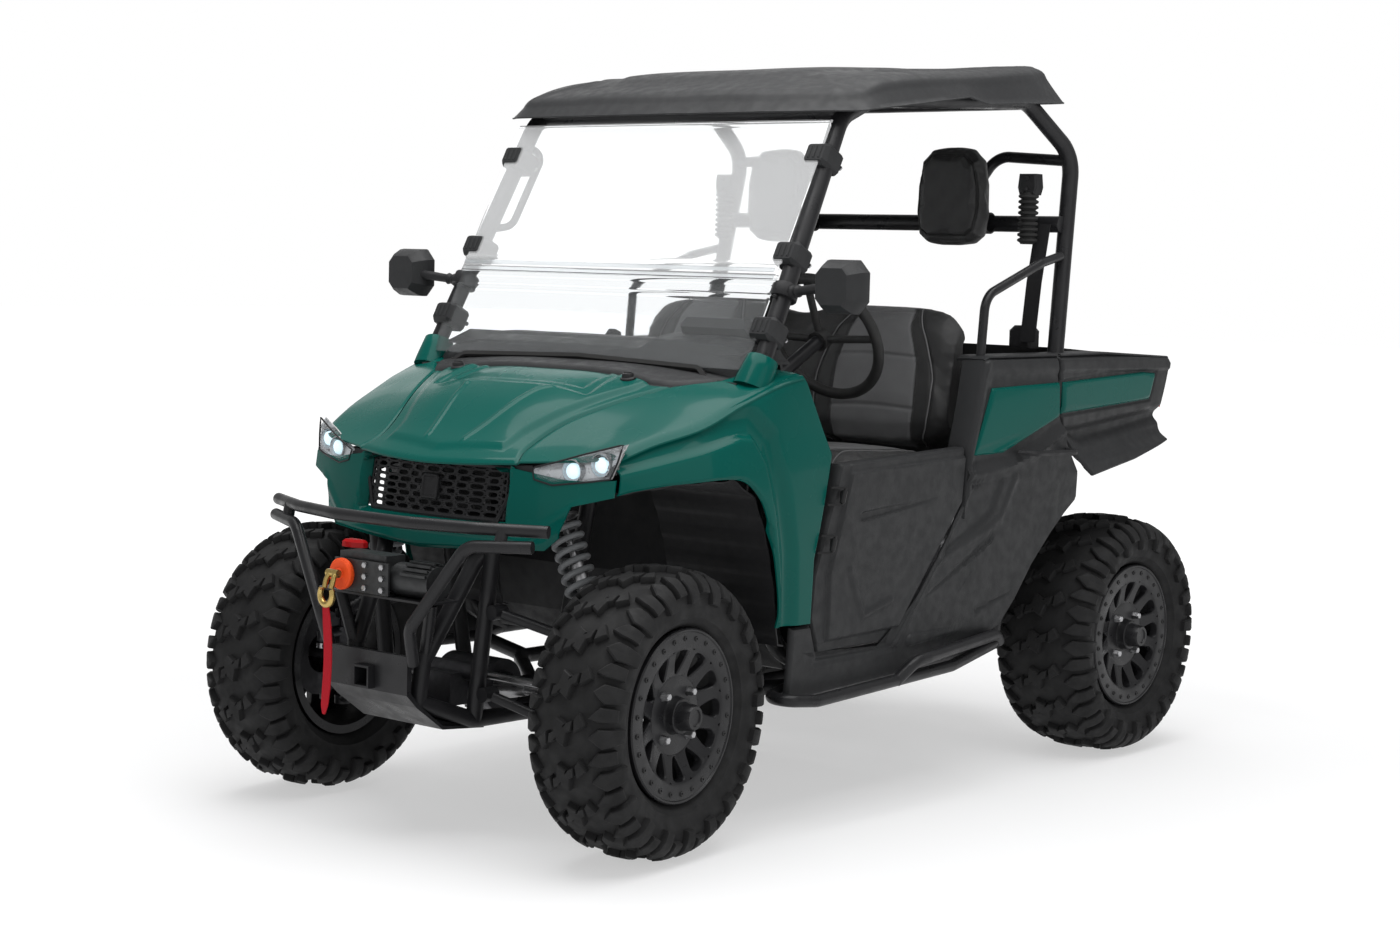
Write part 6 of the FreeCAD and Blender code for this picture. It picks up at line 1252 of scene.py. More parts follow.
def inflated(name, part, voxel, pressure, cap):
    """Remesh a closed form, blow it up gently as cloth for twenty frames, cap how far each
    point moved, and subdivide it once."""
    rough = bare(name, part)
    remesh = rough.modifiers.new("even_cloth", "REMESH")
    remesh.mode = "VOXEL"
    remesh.voxel_size = voxel
    mesh = worked(rough)
    rest = places_of(mesh)
    pad = linked(name, mesh)
    cloth = pad.modifiers.new("filling", "CLOTH")
    for key, value in CLOTH.items():
        setattr(cloth.settings, key, value)
    cloth.settings.uniform_pressure_force = pressure
    cloth.settings.effector_weights.gravity = 0
    cloth.collision_settings.use_collision = False
    for step in range(1, CLOTH_FRAMES + 1):
        bpy.context.scene.frame_set(step)
    swollen = worked(pad)
    bpy.context.scene.frame_set(1)
    move = places_of(swollen) - rest
    far = np.linalg.norm(move, axis=1, keepdims=True)
    rest = rest + move * np.minimum(1, cap / np.maximum(far, 1e-9))
    mesh = swollen
    mesh.vertices.foreach_set("co", rest.ravel())
    smooth = linked(name, mesh)
    finer = smooth.modifiers.new("smooth_cover", "SUBSURF")
    finer.levels = finer.render_levels = 1
    return worked(smooth)


def tree_of(mesh):
    """A mesh's faces, to cast rays at."""
    return BVHTree.FromPolygons(places_of(mesh).tolist(), [tuple(face.vertices) for face in mesh.polygons])


def laid(tree, path, way):
    """Points of a path pushed along a direction onto a surface, from 0.2 m behind."""
    way = Vector(way).normalized()
    found = []
    for place in path:
        hit = tree.ray_cast(Vector(place) - way * 0.2, way)[0]
        if hit is not None:
            found.append(tuple(hit))
    return np.array(found)


def upholster(name, mesh, node, seams, mark):
    """Press sewn channels into a cover, mark its grey insert as an attribute, and show it."""
    places, normals = places_of(mesh), places_of(mesh, "normal")
    for path, width, depth in seams:
        length = np.linalg.norm(np.diff(path, axis=0), axis=1).sum()
        spots = resampled(path, max(40, int(length / 0.004)))
        gap = np.full(len(places), 9.0)
        near = np.where(np.all((places > spots.min(0) - 0.03) & (places < spots.max(0) + 0.03), axis=1))[0]
        for chunk in np.array_split(near, max(1, len(near) // 4000)):
            gap[chunk] = np.linalg.norm(places[chunk, None] - spots[None], axis=-1).min(1)
        places = places - normals * (depth * soft(1 - gap / width))[:, None]
    mesh.vertices.foreach_set("co", places.ravel())
    field = mesh.attributes.new("insert", "FLOAT", "POINT")
    field.data.foreach_set("value", mark(places).astype(float))
    mesh.polygons.foreach_set("use_smooth", np.ones(len(mesh.polygons), bool))
    mesh.materials.clear()
    mesh.materials.append(FINISH["seat_cover"])
    piece = linked(name, mesh)
    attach(piece, "root")
    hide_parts(node)


def bench_sections(loop, half, dip, lift):
    """Sections of a bench pad across the vehicle: each is the loop, drawn towards its middle at
    both ends by a superellipse, lifted into a crown over each seat and dipped between them."""
    loop = np.asarray(loop, float)
    middle = loop.mean(0)
    across = np.linspace(-1, 1, 61)
    draw = (1 - np.abs(across) ** 7) ** (1 / 7)
    draw = np.maximum(draw, 0.72)[:, None, None]
    section = middle + (loop[None] - middle) * draw
    seat = np.exp(-((np.abs(across) * half - SEAT_ACROSS) / 150) ** 2)[:, None]
    share = (section[..., 1] - loop[:, 1].min()) / np.ptp(loop[:, 1])
    section[..., 1] += share * (lift * seat - dip * np.exp(-(across * half / 95) ** 2)[:, None])
    return at(across[:, None] * half, section[..., 0], section[..., 1])


BACK_INSERT = ((176, 866), (168, 960), (172, 1080), (206, 1180), (228, 1262), (368, 1262), (392, 1180), (426, 1080),
               (430, 960), (420, 866))
SEAT_INSERT = ((172, 690), (166, 900), (176, 1180), (424, 1180), (432, 900), (426, 690))
BACK_LOOP = ((1186, 786), (1214, 1010), (1240, 1222), (1230, 1240), (1208, 1238), (1172, 1180), (1140, 1000),
             (1133, 925), (1144, 874), (1180, 862), (1186, 786))
SEAT_LOOP = ((716, 778), (706, 802), (718, 852), (748, 868), (1126, 852), (1160, 842), (1166, 778), (716, 778))
BACK_PIPES = (((150, 868), (118, 930), (112, 1040), (146, 1140), (186, 1206), (214, 1246)),
              ((448, 868), (474, 930), (480, 1040), (450, 1140), (412, 1206), (384, 1246)))


def bench_pad(name, loop, dip=0.0, lift=0.0):
    """A bench pad inflated from its sections, with its faces to cast rays at."""
    sections = bench_sections(resampled(loop, 60)[:-1], BENCH_HALF, dip, lift)
    mesh = inflated(name, surface(sections, ring_cols=True, caps=True), 0.008, 4.0, 0.012)
    return mesh, tree_of(mesh)


def show_piping(name, paths):
    """Thin round beads along paths on a cover."""
    show(name, gathered([carried(circle(0.0019, 8), path) for path in paths]), "piping",
         tidy=False)


def make_bench():
    """Bench back and cushion: padded, with a grey insert for each rider, channels across it and
    pale piping round the bolsters."""
    back, back_tree = bench_pad("bench_back", BACK_LOOP, dip=26)

    def on_back(side, curve):
        """A curve of (across, up) laid on the back's front."""
        return laid(back_tree, [at(side * across, 1000, up) for across, up in curve], (0, 1, 0))
    seams, piping = [], []
    for side in (-1, 1):
        for up in (965, 1098):
            channel = [(across, up + 6 * math.cos((across - SEAT_ACROSS) / 90)) for across in np.linspace(172, 426, 60)]
            seams.append((on_back(side, channel), 0.008, 0.004))
        seams.append((on_back(side, smooth_path(BACK_INSERT, 90)), 0.007, 0.0035))
        piping += [on_back(side, smooth_path(curve, 60)) for curve in BACK_PIPES]
    seams += [(path, 0.009, 0.0035) for path in piping]

    def back_mark(places):
        """One inside the riders' inserts on the front of the back."""
        flat = np.stack((np.abs(places[:, 0]) * 1000, places[:, 2] * 1000), -1)
        ahead = (places[:, 1] - AXLE_Y) * 1000 < 1190 + (flat[:, 1] - 866) * 0.12
        return soft(depth_in(flat, BACK_INSERT) / 4 + 0.5) * ahead
    upholster("bench_back", back, "seat_back", seams, back_mark)
    show_piping("back_piping", piping)
    seat, seat_tree = bench_pad("bench_cushion", SEAT_LOOP, lift=4)

    def on_seat(side, curve):
        """A curve of (across, along) laid on top of the cushion."""
        return laid(seat_tree, [at(side * across, along, 1000) for across, along in curve], (0, 0, -1))
    seams, piping = [], []
    for side in (-1, 1):
        for along in (820, 960):
            channel = [(across, along) for across in np.linspace(168, 430, 60)]
            seams.append((on_seat(side, channel), 0.008, 0.004))
        for edge, shift in ((SEAT_INSERT[:3], -40), (SEAT_INSERT[3:], 40)):
            seams.append((on_seat(side, smooth_path(edge, 60)), 0.007, 0.0035))
            piping.append(on_seat(side, smooth_path([(across + shift, along) for across, along in edge], 60)))

    def seat_mark(places):
        """One inside the riders' inserts on top of the cushion."""
        flat = np.stack((np.abs(places[:, 0]) * 1000, (places[:, 1] - AXLE_Y) * 1000), -1)
        return soft(depth_in(flat, SEAT_INSERT) / 4 + 0.5) * (places[:, 2] > 0.82)
    upholster("bench_cushion", seat, "seat_cushion", seams, seat_mark)
    show_piping("seat_piping", piping)


def make_headrests():
    """Two padded headrests: rounded shields wider at the top, crowned in front, on their bar."""
    parts, edges = [], []
    outline = np.array(((-70, -124), (70, -124), (98, -104), (110, -50), (108, 30), (94, 92), (60, 122), (-60, 122),
                        (-94, 92), (-108, 30), (-110, -50), (-98, -104)), float)
    loop = closed_ring(outline, 80)
    for side in (-1, 1):
        layers = ((0.82, -34), (0.95, -26), (0.98, 0), (0.98, 18), (0.9, 32), (0.6, 36))
        rings = np.stack([at(side * SEAT_ACROSS + loop[:, 0] * size, 1478 + depth, 1526 + loop[:, 1] * size * 1.06)
                          for size, depth in layers])
        parts.append(surface(rings, ring_cols=True, caps=True))
    pads = inflated("headrest_pads", gathered(parts), 0.005, 3.0, 0.004)
    tree = tree_of(pads)
    for side in (-1, 1):
        ring = [at(side * SEAT_ACROSS + across * 0.86, 1400, 1528 + up * 0.88)
                for across, up in np.concatenate((loop, loop[:1]))]
        edges.append(laid(tree, ring, (0, 1, 0)))
    upholster("headrest_pads", pads, "headrests", [(edge, 0.007, 0.003) for edge in edges],
              lambda places: np.zeros(len(places)))
    beads = [carried(circle(0.0017, 8), edge[:-1], ring_path=True) for edge in edges]
    show("headrest_piping", gathered(beads), "grip_rubber", tidy=False)
    clamps = []
    for side in (-1, 1):
        for shift in (-62, 62):
            across = side * SEAT_ACROSS + shift
            clamps.append(lathe(((-0.028, 0.024), (-0.028, 0.029), (0.028, 0.029), (0.028, 0.024), (-0.028, 0.024)), 30,
                                at(across, 1526, 1455), at(across + 40, 1526, 1455)))
            strip = arc_path([at(across, 1516, 1472), at(across, 1514, 1500), at(across, 1508, 1560)], 0.02)
            clamps.append(carried(flat_bar(0.016, 0.003), strip, level=(1, 0, 0)))
    show("headrest_brackets", gathered(clamps), "black_metal")


def make_belts():
    """Belt retractor blocks and the ribbed sleeves round the belts below the rear bar."""
    rings = [(-0.004, AXIS), (-0.004, 0.018)]
    for base in np.arange(9) * 0.0145:
        rings += [(base, 0.02), (base + 0.004, 0.027), (base + 0.009, 0.027), (base + 0.013, 0.02)]
    rings += [(0.134, 0.016), (0.134, AXIS)]
    upper = np.array(((-24, -30), (24, -30), (30, -10), (26, 26), (-26, 26), (-30, -10)), float)
    lower = np.array(((-34, -26), (34, -26), (34, 20), (18, 34), (-18, 34), (-34, 20)), float)
    sleeves, blocks = [], []
    for side in (-1, 1):
        sleeves.append(lathe(rings, 28, at(side * 523, 1500, 1404), at(side * 523, 1500, 1536)))
        blocks.append(plate(upper, (0, 0, 30, 34), (4, 0, 0, 5),
                            lambda x, z, rise: at(side * 523 + x, 1522 - rise, 1560 + z)))
        for up in (1546, 1574):
            spot = at(side * 523, 1487, up)
            blocks.append(bolt_head(0.007, 0.004, 0.001, 0.002, spot, spot + (0, -0.02, 0)))
        blocks.append(plate(lower, (0, 0, 40, 46), (4, 0, 0, 6),
                            lambda x, z, rise: at(side * 512 + x, 1540 - rise, 1150 + z)))
    show("belt_sleeves", gathered(sleeves), "grip_rubber")
    show("belt_blocks", gathered(blocks), "black_plastic")


ROOF = Moulding((560, 650, 800, 1200, 1460, 1600, 1700), (-640, -575, -480, -300, -230, 0, 230, 300, 480, 575, 640), [
    mirror_row(row) for row in (
        (1728, 1728, 1724, 1714, 1700, 1684), (1760, 1760, 1756, 1746, 1726, 1704),
        (1810, 1810, 1806, 1796, 1776, 1752), (1846, 1846, 1838, 1836, 1816, 1788),
        (1858, 1858, 1850, 1862, 1838, 1800), (1862, 1862, 1854, 1868, 1836, 1800),
        (1842, 1842, 1836, 1840, 1812, 1784))])
ROOF_PLAN = ((0, 574), (330, 586), (526, 616), (588, 672), (592, 900), (588, 1480), (566, 1600), (510, 1646), (0, 1664))
ROOF_PAD = ((-250, 712), (250, 712), (318, 800), (318, 1560), (-318, 1560), (-318, 800))
COWL = Moulding((100, 190, 300, 400), (-560, -400, -200, 0, 200, 400, 560), [
    mirror_row(row) for row in ((1046, 1044, 1034, 1020), (1065, 1063, 1045, 1030), (1084, 1082, 1068, 1050),
                                (1093, 1091, 1082, 1058))])
DASH = Moulding((330, 352, 430, 520), (-520, -450, -250, 0, 250, 450, 520), [
    mirror_row(row) for row in ((1088, 1086, 1070, 1040), (1117, 1116, 1104, 1066), (1137, 1137, 1130, 1094),
                                (1143, 1143, 1136, 1098))])
COWL_EDGE = ((-492, 338), (-470, 300), (-400, 228), (-345, 211), (-282, 217), (-215, 230), (0, 233), (215, 230),
             (282, 217), (345, 211), (400, 228), (470, 300), (492, 338))
GLASS_FOOT, GLASS_HEAD, GLASS_HALF = np.array((329, 1084)), np.array((641, 1672)), 519
GLASS_SLOPE = 0.5306
PILLAR_FOOT, PILLAR_HEAD = np.array((542, 345, 1060)), np.array((506, 683, 1685))


def make_roof():
    """Moulded roof: rounded plan, a wall that flares to its rim, a raised middle and side rails."""
    loop = mirrored_loop(ROOF_PLAN, 141)
    for _ in range(3):
        loop = (np.roll(loop, 1, 0) + 2 * loop + np.roll(loop, -1, 0)) / 4
    run = unit(np.roll(loop, -1, 0) - np.roll(loop, 1, 0))
    inward = np.stack((-run[:, 1], run[:, 0]), -1)
    centre = np.array((0, 1130))

    def height(plan, drop=0.0):
        """Height of the roof's top over its plan, less a drop."""
        field = np.stack((np.abs(plan[..., 0]), plan[..., 1]), -1)
        up = ROOF(plan[..., 1], plan[..., 0]) + raised(plan, ROOF_PAD, 34, 5)
        up = up + ridge(field, ((500, 668), (372, 772)), 20, 4) + ridge(field, ((452, 900), (470, 1560)), 26, 5)
        return up - drop
    rim = np.interp(loop[:, 1], (560, 660, 1110, 1190, 1540, 1700), (1692, 1696, 1758, 1746, 1772, 1782))

    def ring(inset, level=None, drop=0.0):
        """The rim's loop drawn in, at a level or on the roof's top."""
        plan = loop + inward * inset
        return on_top(plan, height(plan, drop) if level is None else level)
    lean = 34 + 22 * np.clip((loop[:, 1:] - 1300) / 300, 0, 1)
    inner = loop + inward * (lean + 28)

    def skin(shares, drop=0.0):
        """Rings from the middle outwards, at shares of the way to the inner loop."""
        plans = [centre + (inner - centre) * share for share in shares]
        return [on_top(plan, height(plan, drop)) for plan in plans]
    top = skin(np.linspace(0, 1, 44) ** 0.85)
    brow = height(loop + inward * lean)
    top += [ring(lean + 16, drop=1.2), ring(lean + 7, drop=4), ring(lean, drop=9)]
    wall = [ring(lean * (1 - share ** 1.1), (brow - 11) * (1 - share) + rim * share)
            for share in (0.15, 0.35, 0.55, 0.75, 0.92)]
    hem = [ring(0, rim + 3), ring(0.6, rim), ring(5, rim), ring(7, rim + 4), ring(lean + 5, brow - 15),
           ring(lean + 18, drop=9)]
    below = skin(np.linspace(0.96, 0, 16), 7)
    moulding = surface(np.stack(top + wall + hem + below), ring_cols=True)
    show("roof_moulding", moulding, "grey_plastic", replaces=("roof",))
    saddles = []
    for side in (-1, 1):
        for along, across, up in ((712, 304, 1726), (1425, 324, 1795)):
            top_z = float(height(np.array((side * across, along)))) - 7
            saddles.append(plate(flat_bar(36, 18), (up, top_z - 3, top_z), (2, 0, 4),
                                 lambda x, y, rise: at(side * across + x, along + y, rise)))
    show("roof_saddles", gathered(saddles), "black_plastic")


def make_cowl():
    """Cowl: a shallow tray before the windscreen, with a rolled front edge that turns down."""
    front = smooth_path(COWL_EDGE, 121)
    rear = np.array(((-492, 338), (0, 336), (492, 338)))
    stub = ((0, 0), (0, 0.5))
    plan = patch(front, front[-1:] + stub, rear, front[:1] + stub, 40, 121)
    up = over(COWL, plan[..., ::-1])
    up = up - rounded_off(gap_to(plan, front), 14, 12)
    skin = shell(on_top(plan, up), (0, 0, -0.007))
    bead, ends = (on_top(front, over(COWL, front[:, ::-1]) - drop) for drop in (12, 46))
    lip = surface(np.stack([bead + (0, -0.001, 0.002), bead + (0, -0.004, -0.002), ends + (0, -0.004, 0),
                            ends + (0, 0.004, 0), bead + (0, 0.006, 0.001)]), ring_rows=True)
    show("cowl_mat", gathered([skin, lip]), "grey_plastic", replaces=("cowl",))
    corners = ((-521, 1046), (-432, 1052), (-388, 1082), (0, 1093), (388, 1082), (432, 1052), (521, 1046))
    run = np.array([(across, GLASS_FOOT[0] + (up - GLASS_FOOT[1]) * GLASS_SLOPE - 8, up)
                    for across, up in corners])
    profile = np.array(((-6, -8), (5, -8), (7, 0), (4, 7), (-6, 7))) / 1000
    seal = carried(profile, arc_path(at(*run.T), 0.03), level=(0, -0.88, 0.47))
    show("windscreen_seal", seal, "grip_rubber")


def leaning(middle, rise, out):
    """A placer of (across, up, out) in mm about a middle; rise and out are in metres for 1 mm."""
    def place(across, up, depth):
        """Places on the leaning plane."""
        across, up, depth = np.broadcast_arrays(across, up, depth)
        return middle + across[..., None] / 1000 * (1, 0, 0) + up[..., None] * rise + depth[..., None] * out
    return place


def make_dash():
    """Dashboard top with its gauge pod, switches and shift lever."""
    along, across = np.meshgrid(np.linspace(332, 500, 40), np.linspace(-516, 516, 90), indexing="ij")
    field = np.stack((across, along), -1)
    up = DASH(along, across) + raised(field, ((170, 350), (500, 350), (500, 520), (170, 520)), 22, 16)
    up -= ridge(field, ((-440, 356), (-60, 350), (100, 352)), 6, 3)
    show("dash_hood", shell(at(across, along, up), (0, 0, -0.005)), "grey_plastic")
    pod = np.array(((-118, -42), (118, -42), (128, -8), (104, 36), (-104, 36), (-128, -8)), float)
    pod_place = leaning(at(330, 520, 1146), np.array((0, 0.47, 0.88)) / 1000, np.array((0, 0.88, -0.47)) / 1000)
    show("gauge_pod", plate(pod, (-90, -20, 6, 12, 12, 4), (26, 2, 0, 3, 12, 16), pod_place), "black_plastic")
    show("gauge_glass", plate(pod * 0.72, (3, 7, 7.5), (0, 0, 2), pod_place), "clear_black")
    rows = []
    for place, width in ((150, 26), (108, 26), (66, 26), (24, 26), (-18, 26), (-180, 60), (-260, 60)):
        rows.append(plate(flat_bar(width / 2 - 2, 15), (0, 5, 8), (0, 0, 3),
                          lambda x, z, depth: at(place + x, 507.5 + depth + (z + 10) * 0.26, 1020 + z)))
    show("dash_switches", gathered(rows), "black_plastic")
    stem = arc_path([at(-150, 500, 1000), at(-150, 560, 1010), at(-150, 596, 1085)], 0.03)
    lever = [carried(circle(0.008, 12), stem),
             lathe(((0, AXIS), (0, 0.012), (0.012, 0.02), (0.05, 0.024), (0.072, 0.017), (0.078, AXIS)), 24,
                   at(-150, 594, 1080), at(-150, 610, 1120))]
    show("shift_lever", gathered(lever), "grip_rubber")


def glass_place(across, share, out):
    """A place on the windscreen: across in mm, share of the run from foot to head, out in mm."""
    run = GLASS_HEAD - GLASS_FOOT
    normal = np.array((-run[1], run[0])) / np.linalg.norm(run)
    across, share, out = np.broadcast_arrays(across, share, out)
    along, up = (GLASS_FOOT[axis] + run[axis] * share + normal[axis] * out for axis in (0, 1))
    return at(across, along, up)


def make_windscreen():
    """Two clear panes with formed stiffening steps along the split, held by ribbed clamps."""
    length = np.linalg.norm(GLASS_HEAD - GLASS_FOOT)
    origin = glass_place(0, 0, 0)
    normal, rise = glass_place(0, 0, 1) - origin, (glass_place(0, 1, 0) - origin) / length
    panes, beads, hems = [], [], []
    for low, high, steps in ((0.0, 0.372, ((0.285, 10), (0.345, 10))), (0.348, 1.0, ((0.405, 9), (0.985, 5)))):
        share = np.linspace(low, high, 150)[:, None]
        across = np.linspace(-GLASS_HALF, GLASS_HALF, 41)[None]
        out = 3 + (6 if low else 0) + 0 * share * across
        for where, half in steps:
            out = out + 5 * soft(1 - np.abs(share - where) * length / half)
        out = out + 1.5 * (1 - (across / GLASS_HALF) ** 4)
        panes.append(shell(glass_place(across, share, out), normal * -4))
    show("windscreen_panes", panes[0], "clear_pane", replaces=("windscreen",), crease=50)
    # The upper pane glows by its emission, a painted veil of light over what is seen through it.
    show("upper_pane", panes[1], "hazy_pane", crease=50)
    for share, out in ((0.371, 7), (0.349, 13), (0.998, 9)):
        line = glass_place(np.linspace(-GLASS_HALF + 4, GLASS_HALF - 4, 30), share, out)
        beads.append(carried(flat_bar(0.0011, 0.001), line))
    show("pane_edges", gathered(beads), "piping")
    for low, high, out in ((0.352, 0.366, 6), (0.376, 0.39, 13)):
        share = np.linspace(low, high, 6)[:, None]
        across = np.linspace(-GLASS_HALF + 6, GLASS_HALF - 6, 30)[None]
        hems.append(shell(glass_place(across, share, out + 0 * share), normal * 3))
    show("pane_hems", gathered(hems), "frosted")
    clamps, ribs, bolts = [], [], []
    outline = np.array(((-34, -20), (-26, -29), (26, -29), (34, -20), (34, 20), (26, 29), (-26, 29), (-34, 20)), float)
    for side in (-1, 1):
        for share in (0.175, 0.455, 0.83):
            spot = (PILLAR_FOOT + (PILLAR_HEAD - PILLAR_FOOT) * share) * (side, 1, 1)
            middle = at(spot[0] - side * 8, spot[1], spot[2])
            front = ((origin - middle) * (0, 1, 1)) @ (normal * 1000) * 1000
            clamp_place = leaning(middle, rise, normal)
            clamps.append(plate(outline, (-27, -24, front, front + 3, front + 12), (3, 0, 0, 2, 8), clamp_place))
            for x in (-15, 0, 15):
                ribs.append(plate(np.array(flat_bar(3, 16)) + (x, 0), (front + 8, front + 13, front + 14.5),
                                  (0, 0, 1.6), clamp_place))
            for x in (-24, 24):
                bolts.append(bolt_head(0.006, 0.004, 0.001, 0.002, clamp_place(x, 0, -34), clamp_place(x, 0, -50)))
    show("pane_clamps", gathered(clamps), "grey_plastic", replaces=("pillar_clamps",), crease=18)
    show("clamp_ribs", gathered(ribs), "grey_plastic")
    show("clamp_bolts", gathered(bolts), "steel")


def make_mirrors():
    """Eight sided mirror shells with bevelled fronts, glass behind, on stalks clamped to the pillars."""
    shells, glass, stalks = [], [], []
    outline = np.array(((-64, -34), (-38, -62), (38, -62), (64, -34), (64, 34), (38, 62), (-38, 62), (-64, 34)), float)
    for side in (-1, 1):
        def mirror_place(x, z, depth):
            """A place on this side's mirror head."""
            return at(side * 712 + x, 440 - depth, 1282 + z)
        shells.append(plate(outline, (-16, -17.5, -12, 0, 14, 42, 48), (7, 2, 0, 0, 2, 15, 20), mirror_place))
        glass.append(plate(outline * 0.9, (-18.5, -15, -14), (1, 0, 0), mirror_place))
        root = (PILLAR_FOOT + (PILLAR_HEAD - PILLAR_FOOT) * 0.325) * (side, 1, 1)
        foot, head = at(*root), at(side * 700, 415, 1282)
        start = foot + unit(head - foot) * 0.022
        reach = np.linalg.norm(head - start)
        stalks.append(lathe(((0, AXIS), (0, 0.013), (0.012, 0.016), (0.02, 0.012), (0.03, 0.015), (0.036, 0.011),
                             (0.044, 0.011), (reach - 0.02, 0.013), (reach, 0.01), (reach, AXIS)), 24, start, head))
        run = unit((PILLAR_HEAD - PILLAR_FOOT) * (side, 1, 1)) * 0.017
        stalks.append(lathe(((0, 0.0225), (0, 0.031), (0.003, 0.033), (0.031, 0.033), (0.034, 0.031), (0.034, 0.0225),
                             (0, 0.0225)), 36, foot - run, foot + run))
        for shift in (-0.5, 0.5):
            spot = foot + run * shift + (0, -0.03, 0)
            stalks.append(bolt_head(0.0055, 0.006, 0.001, 0.0015, spot, spot + (0, -0.02, 0)))
    show("mirror_shells", gathered(shells), "grey_plastic", replaces=("mirrors",), crease=18)
    show("mirror_glass", gathered(glass), "steel")
    show("mirror_stalks", gathered(stalks), "black_plastic")


def make_recovery_gear():
    """Winch dressing, clevis hook and the flat pull strap that hangs from it."""
    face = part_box("winch")[0].y
    disc = at(-86, 0, 604) * (1, 0, 1) + (0, face, 0)
    stop = lathe(((0.001, AXIS), (0.001, 0.034), (-0.004, 0.036), (-0.012, 0.036), (-0.016, 0.032), (-0.016, 0.013),
                  (-0.02, 0.011), (-0.02, AXIS)), 40, disc, disc + (0, 0.1, 0))
    show("hawse_stop", stop, "orange_rubber")
    bolts = []
    for across in (-16, 40):
        for up in (578, 604, 630):
            spot = at(across, 0, up) * (1, 0, 1) + (0, face, 0)
            bolts.append(bolt_head(0.0075, 0.005, 0.0015, 0.002, spot, spot - (0, 0.02, 0)))
    show("winch_bolts", gathered(bolts), "steel")
    fins = []
    for angle in np.radians(np.arange(200, 360, 20)):
        spot = np.array((0.0, np.cos(angle), -np.sin(angle)))
        middle = at(128, -300, 606)
        fins.append(carried(flat_bar(0.0025, 0.003),
                            [middle + spot * 0.039 - (0.04, 0, 0), middle + spot * 0.039 + (0.04, 0, 0)]))
    show("motor_fins", gathered(fins), "winch_metal")
    boot = np.array(((-30, -16), (8, -16), (30, -4), (30, 10), (-8, 16), (-30, 12)), float)
    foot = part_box("winch")[1].z
    show("terminal_boot", plate(boot, (-6, 6, 12), (0, 0, 5),
                                lambda x, y, rise: at(-176 + x, -232 + y, foot * 1000 + rise)),
         "red_lens")
    hook = at(-86, -400, 560)
    turns = np.radians(np.arange(150, 395, 12))
    cosine, level, sine = np.cos(turns), 0 * turns, np.sin(turns)
    bow = hook + np.stack((0.02 * cosine, level, 0.023 * sine), -1)
    last = len(bow) - 1
    thick = np.interp(np.arange(len(bow)), (0, 6, 14, last), (0.0066, 0.0078, 0.0082, 0.006))[:, None, None]
    out, beside = circle(1.0, 12)[None, :, :1] * thick, circle(1.0, 12)[None, :, 1:] * thick
    rings = bow[:, None] + out * np.stack((cosine, level, sine), -1)[:, None] + beside * (0, 1, 0)
    parts = [surface(rings, ring_cols=True, caps=True)]
    for side in (-1, 1):
        leg = arc_path([hook + (side * 0.011, 0.004, 0.014), hook + (side * 0.012, 0.01, 0.034),
                        hook + (side * 0.008, 0.018, 0.05)], 0.02)
        parts.append(carried(circle(0.0062, 12), leg))
    parts.append(lathe(((0, 0.009), (0.003, 0.0095), (0.034, 0.0095), (0.037, 0.009), (0.037, AXIS), (0, AXIS),
                        (0, 0.009)), 20, hook + (-0.0185, 0.02, 0.047), hook + (0.02, 0.02, 0.047)))
    show("clevis_hook", gathered(parts), "gold_steel", replaces=("winch_hook",))
    top = hook[2] - 0.018
    drop = np.linspace(0, 0.255, 60)
    path = np.stack((hook[0] + 0.006 * np.sin(drop * 14), hook[1] + 0.004 * np.sin(drop * 11) - 0.002,
                     top - drop), -1)
    wide = np.interp(drop, (0, 0.02, 0.05, 0.2, 0.235, 0.255), (0.009, 0.011, 0.013, 0.0128, 0.011, 0.004))
    thin, edge = 0.0014, wide + 0.0004
    rows = path[:, None] + np.stack((-wide, wide, edge, wide, -wide, -edge), -1)[..., None] * (1, 0, 0)
    rows += ((0, -thin, 0), (0, -thin, 0), (0, 0, 0), (0, thin, 0), (0, thin, 0), (0, 0, 0))
    strap = show("pull_tab", surface(rows, ring_cols=True, caps=True), "red_web", replaces=("pull_strap",))


COIL_TURNS = 8


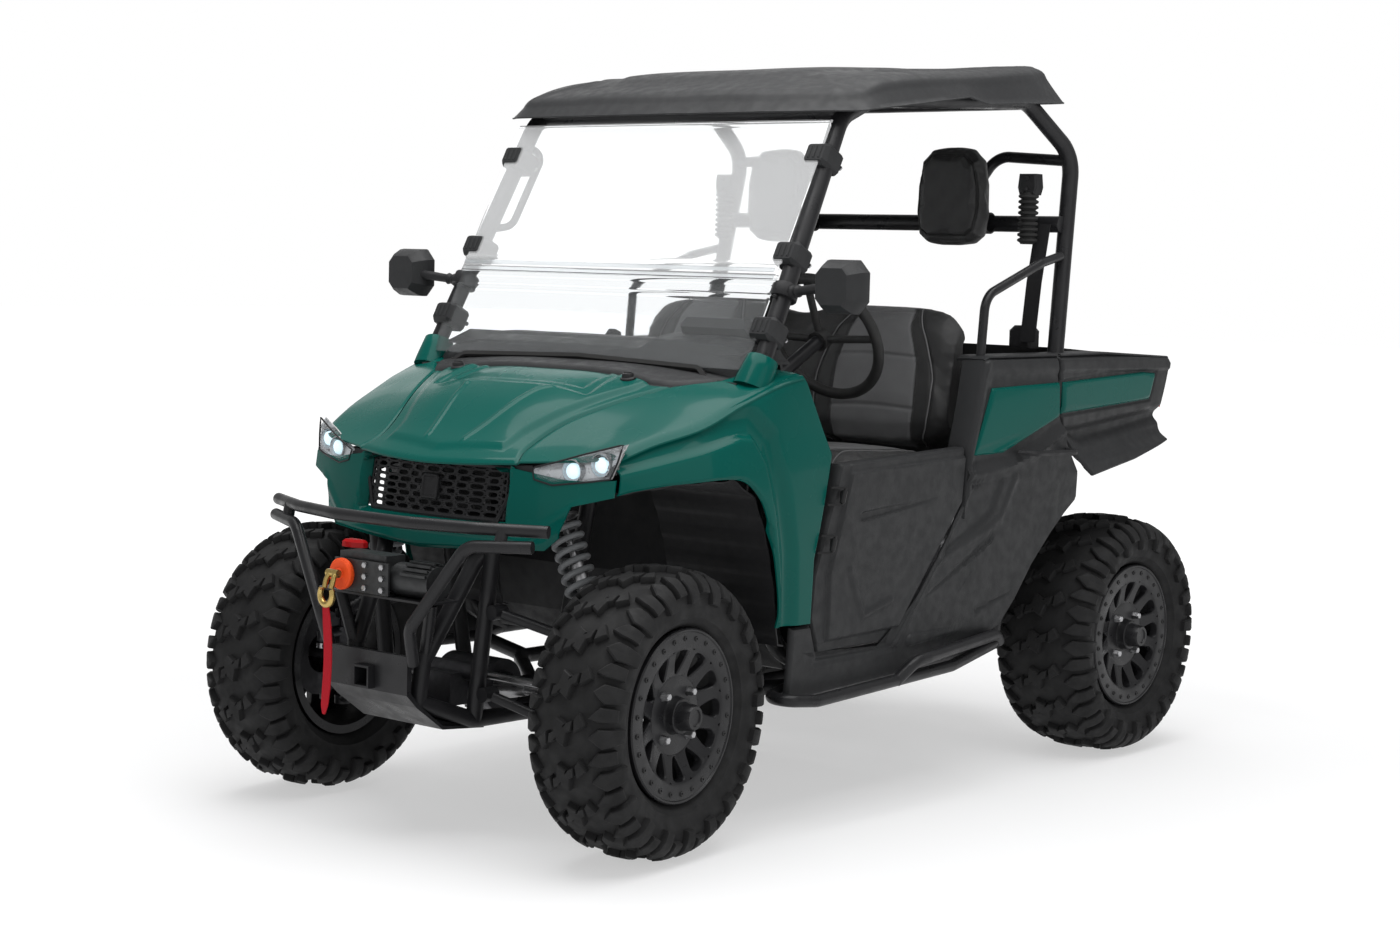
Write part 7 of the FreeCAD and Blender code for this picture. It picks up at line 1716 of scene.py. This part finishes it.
def make_springs():
    """Coil springs: a thick wire wound round each strut's own long axis, in wider turns towards the foot."""
    spots = places_of(frame["nodes"]["shock_springs"].data)
    coils = []
    for side in (-1, 1):
        for end in (-1, 1):
            part = spots[(spots[:, 0] * side > 0) & ((spots[:, 1] - at(0, 940, 0)[1]) * end > 0)]
            centre = (part.max(0) + part.min(0)) / 2
            way = np.linalg.svd(part - part.mean(0), full_matrices=False)[2][0]
            way = way * np.sign(way[2])
            reach = (part - centre) @ way
            across = unit(np.cross(way, (0, 1, 0)))
            beside = np.cross(way, across)
            share = np.linspace(0, 1, COIL_TURNS * 26)
            rise = reach.min() + 0.007 + (np.ptp(reach) - 0.014) * share ** 0.9
            turn = share * COIL_TURNS * 2 * np.pi
            round_it = np.cos(turn)[:, None] * across + np.sin(turn)[:, None] * beside
            path = centre + rise[:, None] * way + 0.034 * round_it
            coils.append(carried(circle(0.0072, 12), path))
    show("spring_coils", gathered(coils), "coil_paint", replaces=("shock_springs",))


def make_wheel_liners():
    """Front wheel liners: a band that follows the wheel arch, from the frame out to just inside
    the fender's own side, with shallow ribs across it."""
    path = resampled(((-52, 812), (58, 832), (202, 836), (266, 796), (305, 707), (347, 571), (371, 445),
                      (396, 443)), 120)
    run = unit(np.gradient(path, axis=0))
    away = np.stack((-run[:, 1], run[:, 0]), -1)
    reach = FLANK(path[:, 0], path[:, 1]) - 9
    across = 292 + (reach[:, None] - 292) * np.linspace(0, 1, 22)
    rise = 2.5 * soft(2.2 * np.abs(np.sin(np.arange(120) * np.pi / 12)) - 0.9)
    band = at(across, (path[:, 0] + away[:, 0] * rise)[:, None], (path[:, 1] + away[:, 1] * rise)[:, None])
    push = np.stack((0 * away[:, 0], away[:, 0], away[:, 1]), -1)[:, None] * 0.004
    wall = shell(band, np.broadcast_to(push, band.shape))
    show("liner_bands", both(wall), "black_plastic", replaces=("wheel_liners",))


place_camera()
light_studio()
dress_nodes()
make_wheels()
make_hood()
make_fenders()
make_fascia()
make_grille()
make_headlamps()
make_doors()
make_quarters()
make_bed_sides()
make_bench()
make_headrests()
make_belts()
make_roof()
make_cowl()
make_dash()
make_windscreen()
make_mirrors()
make_recovery_gear()
make_springs()
make_wheel_liners()
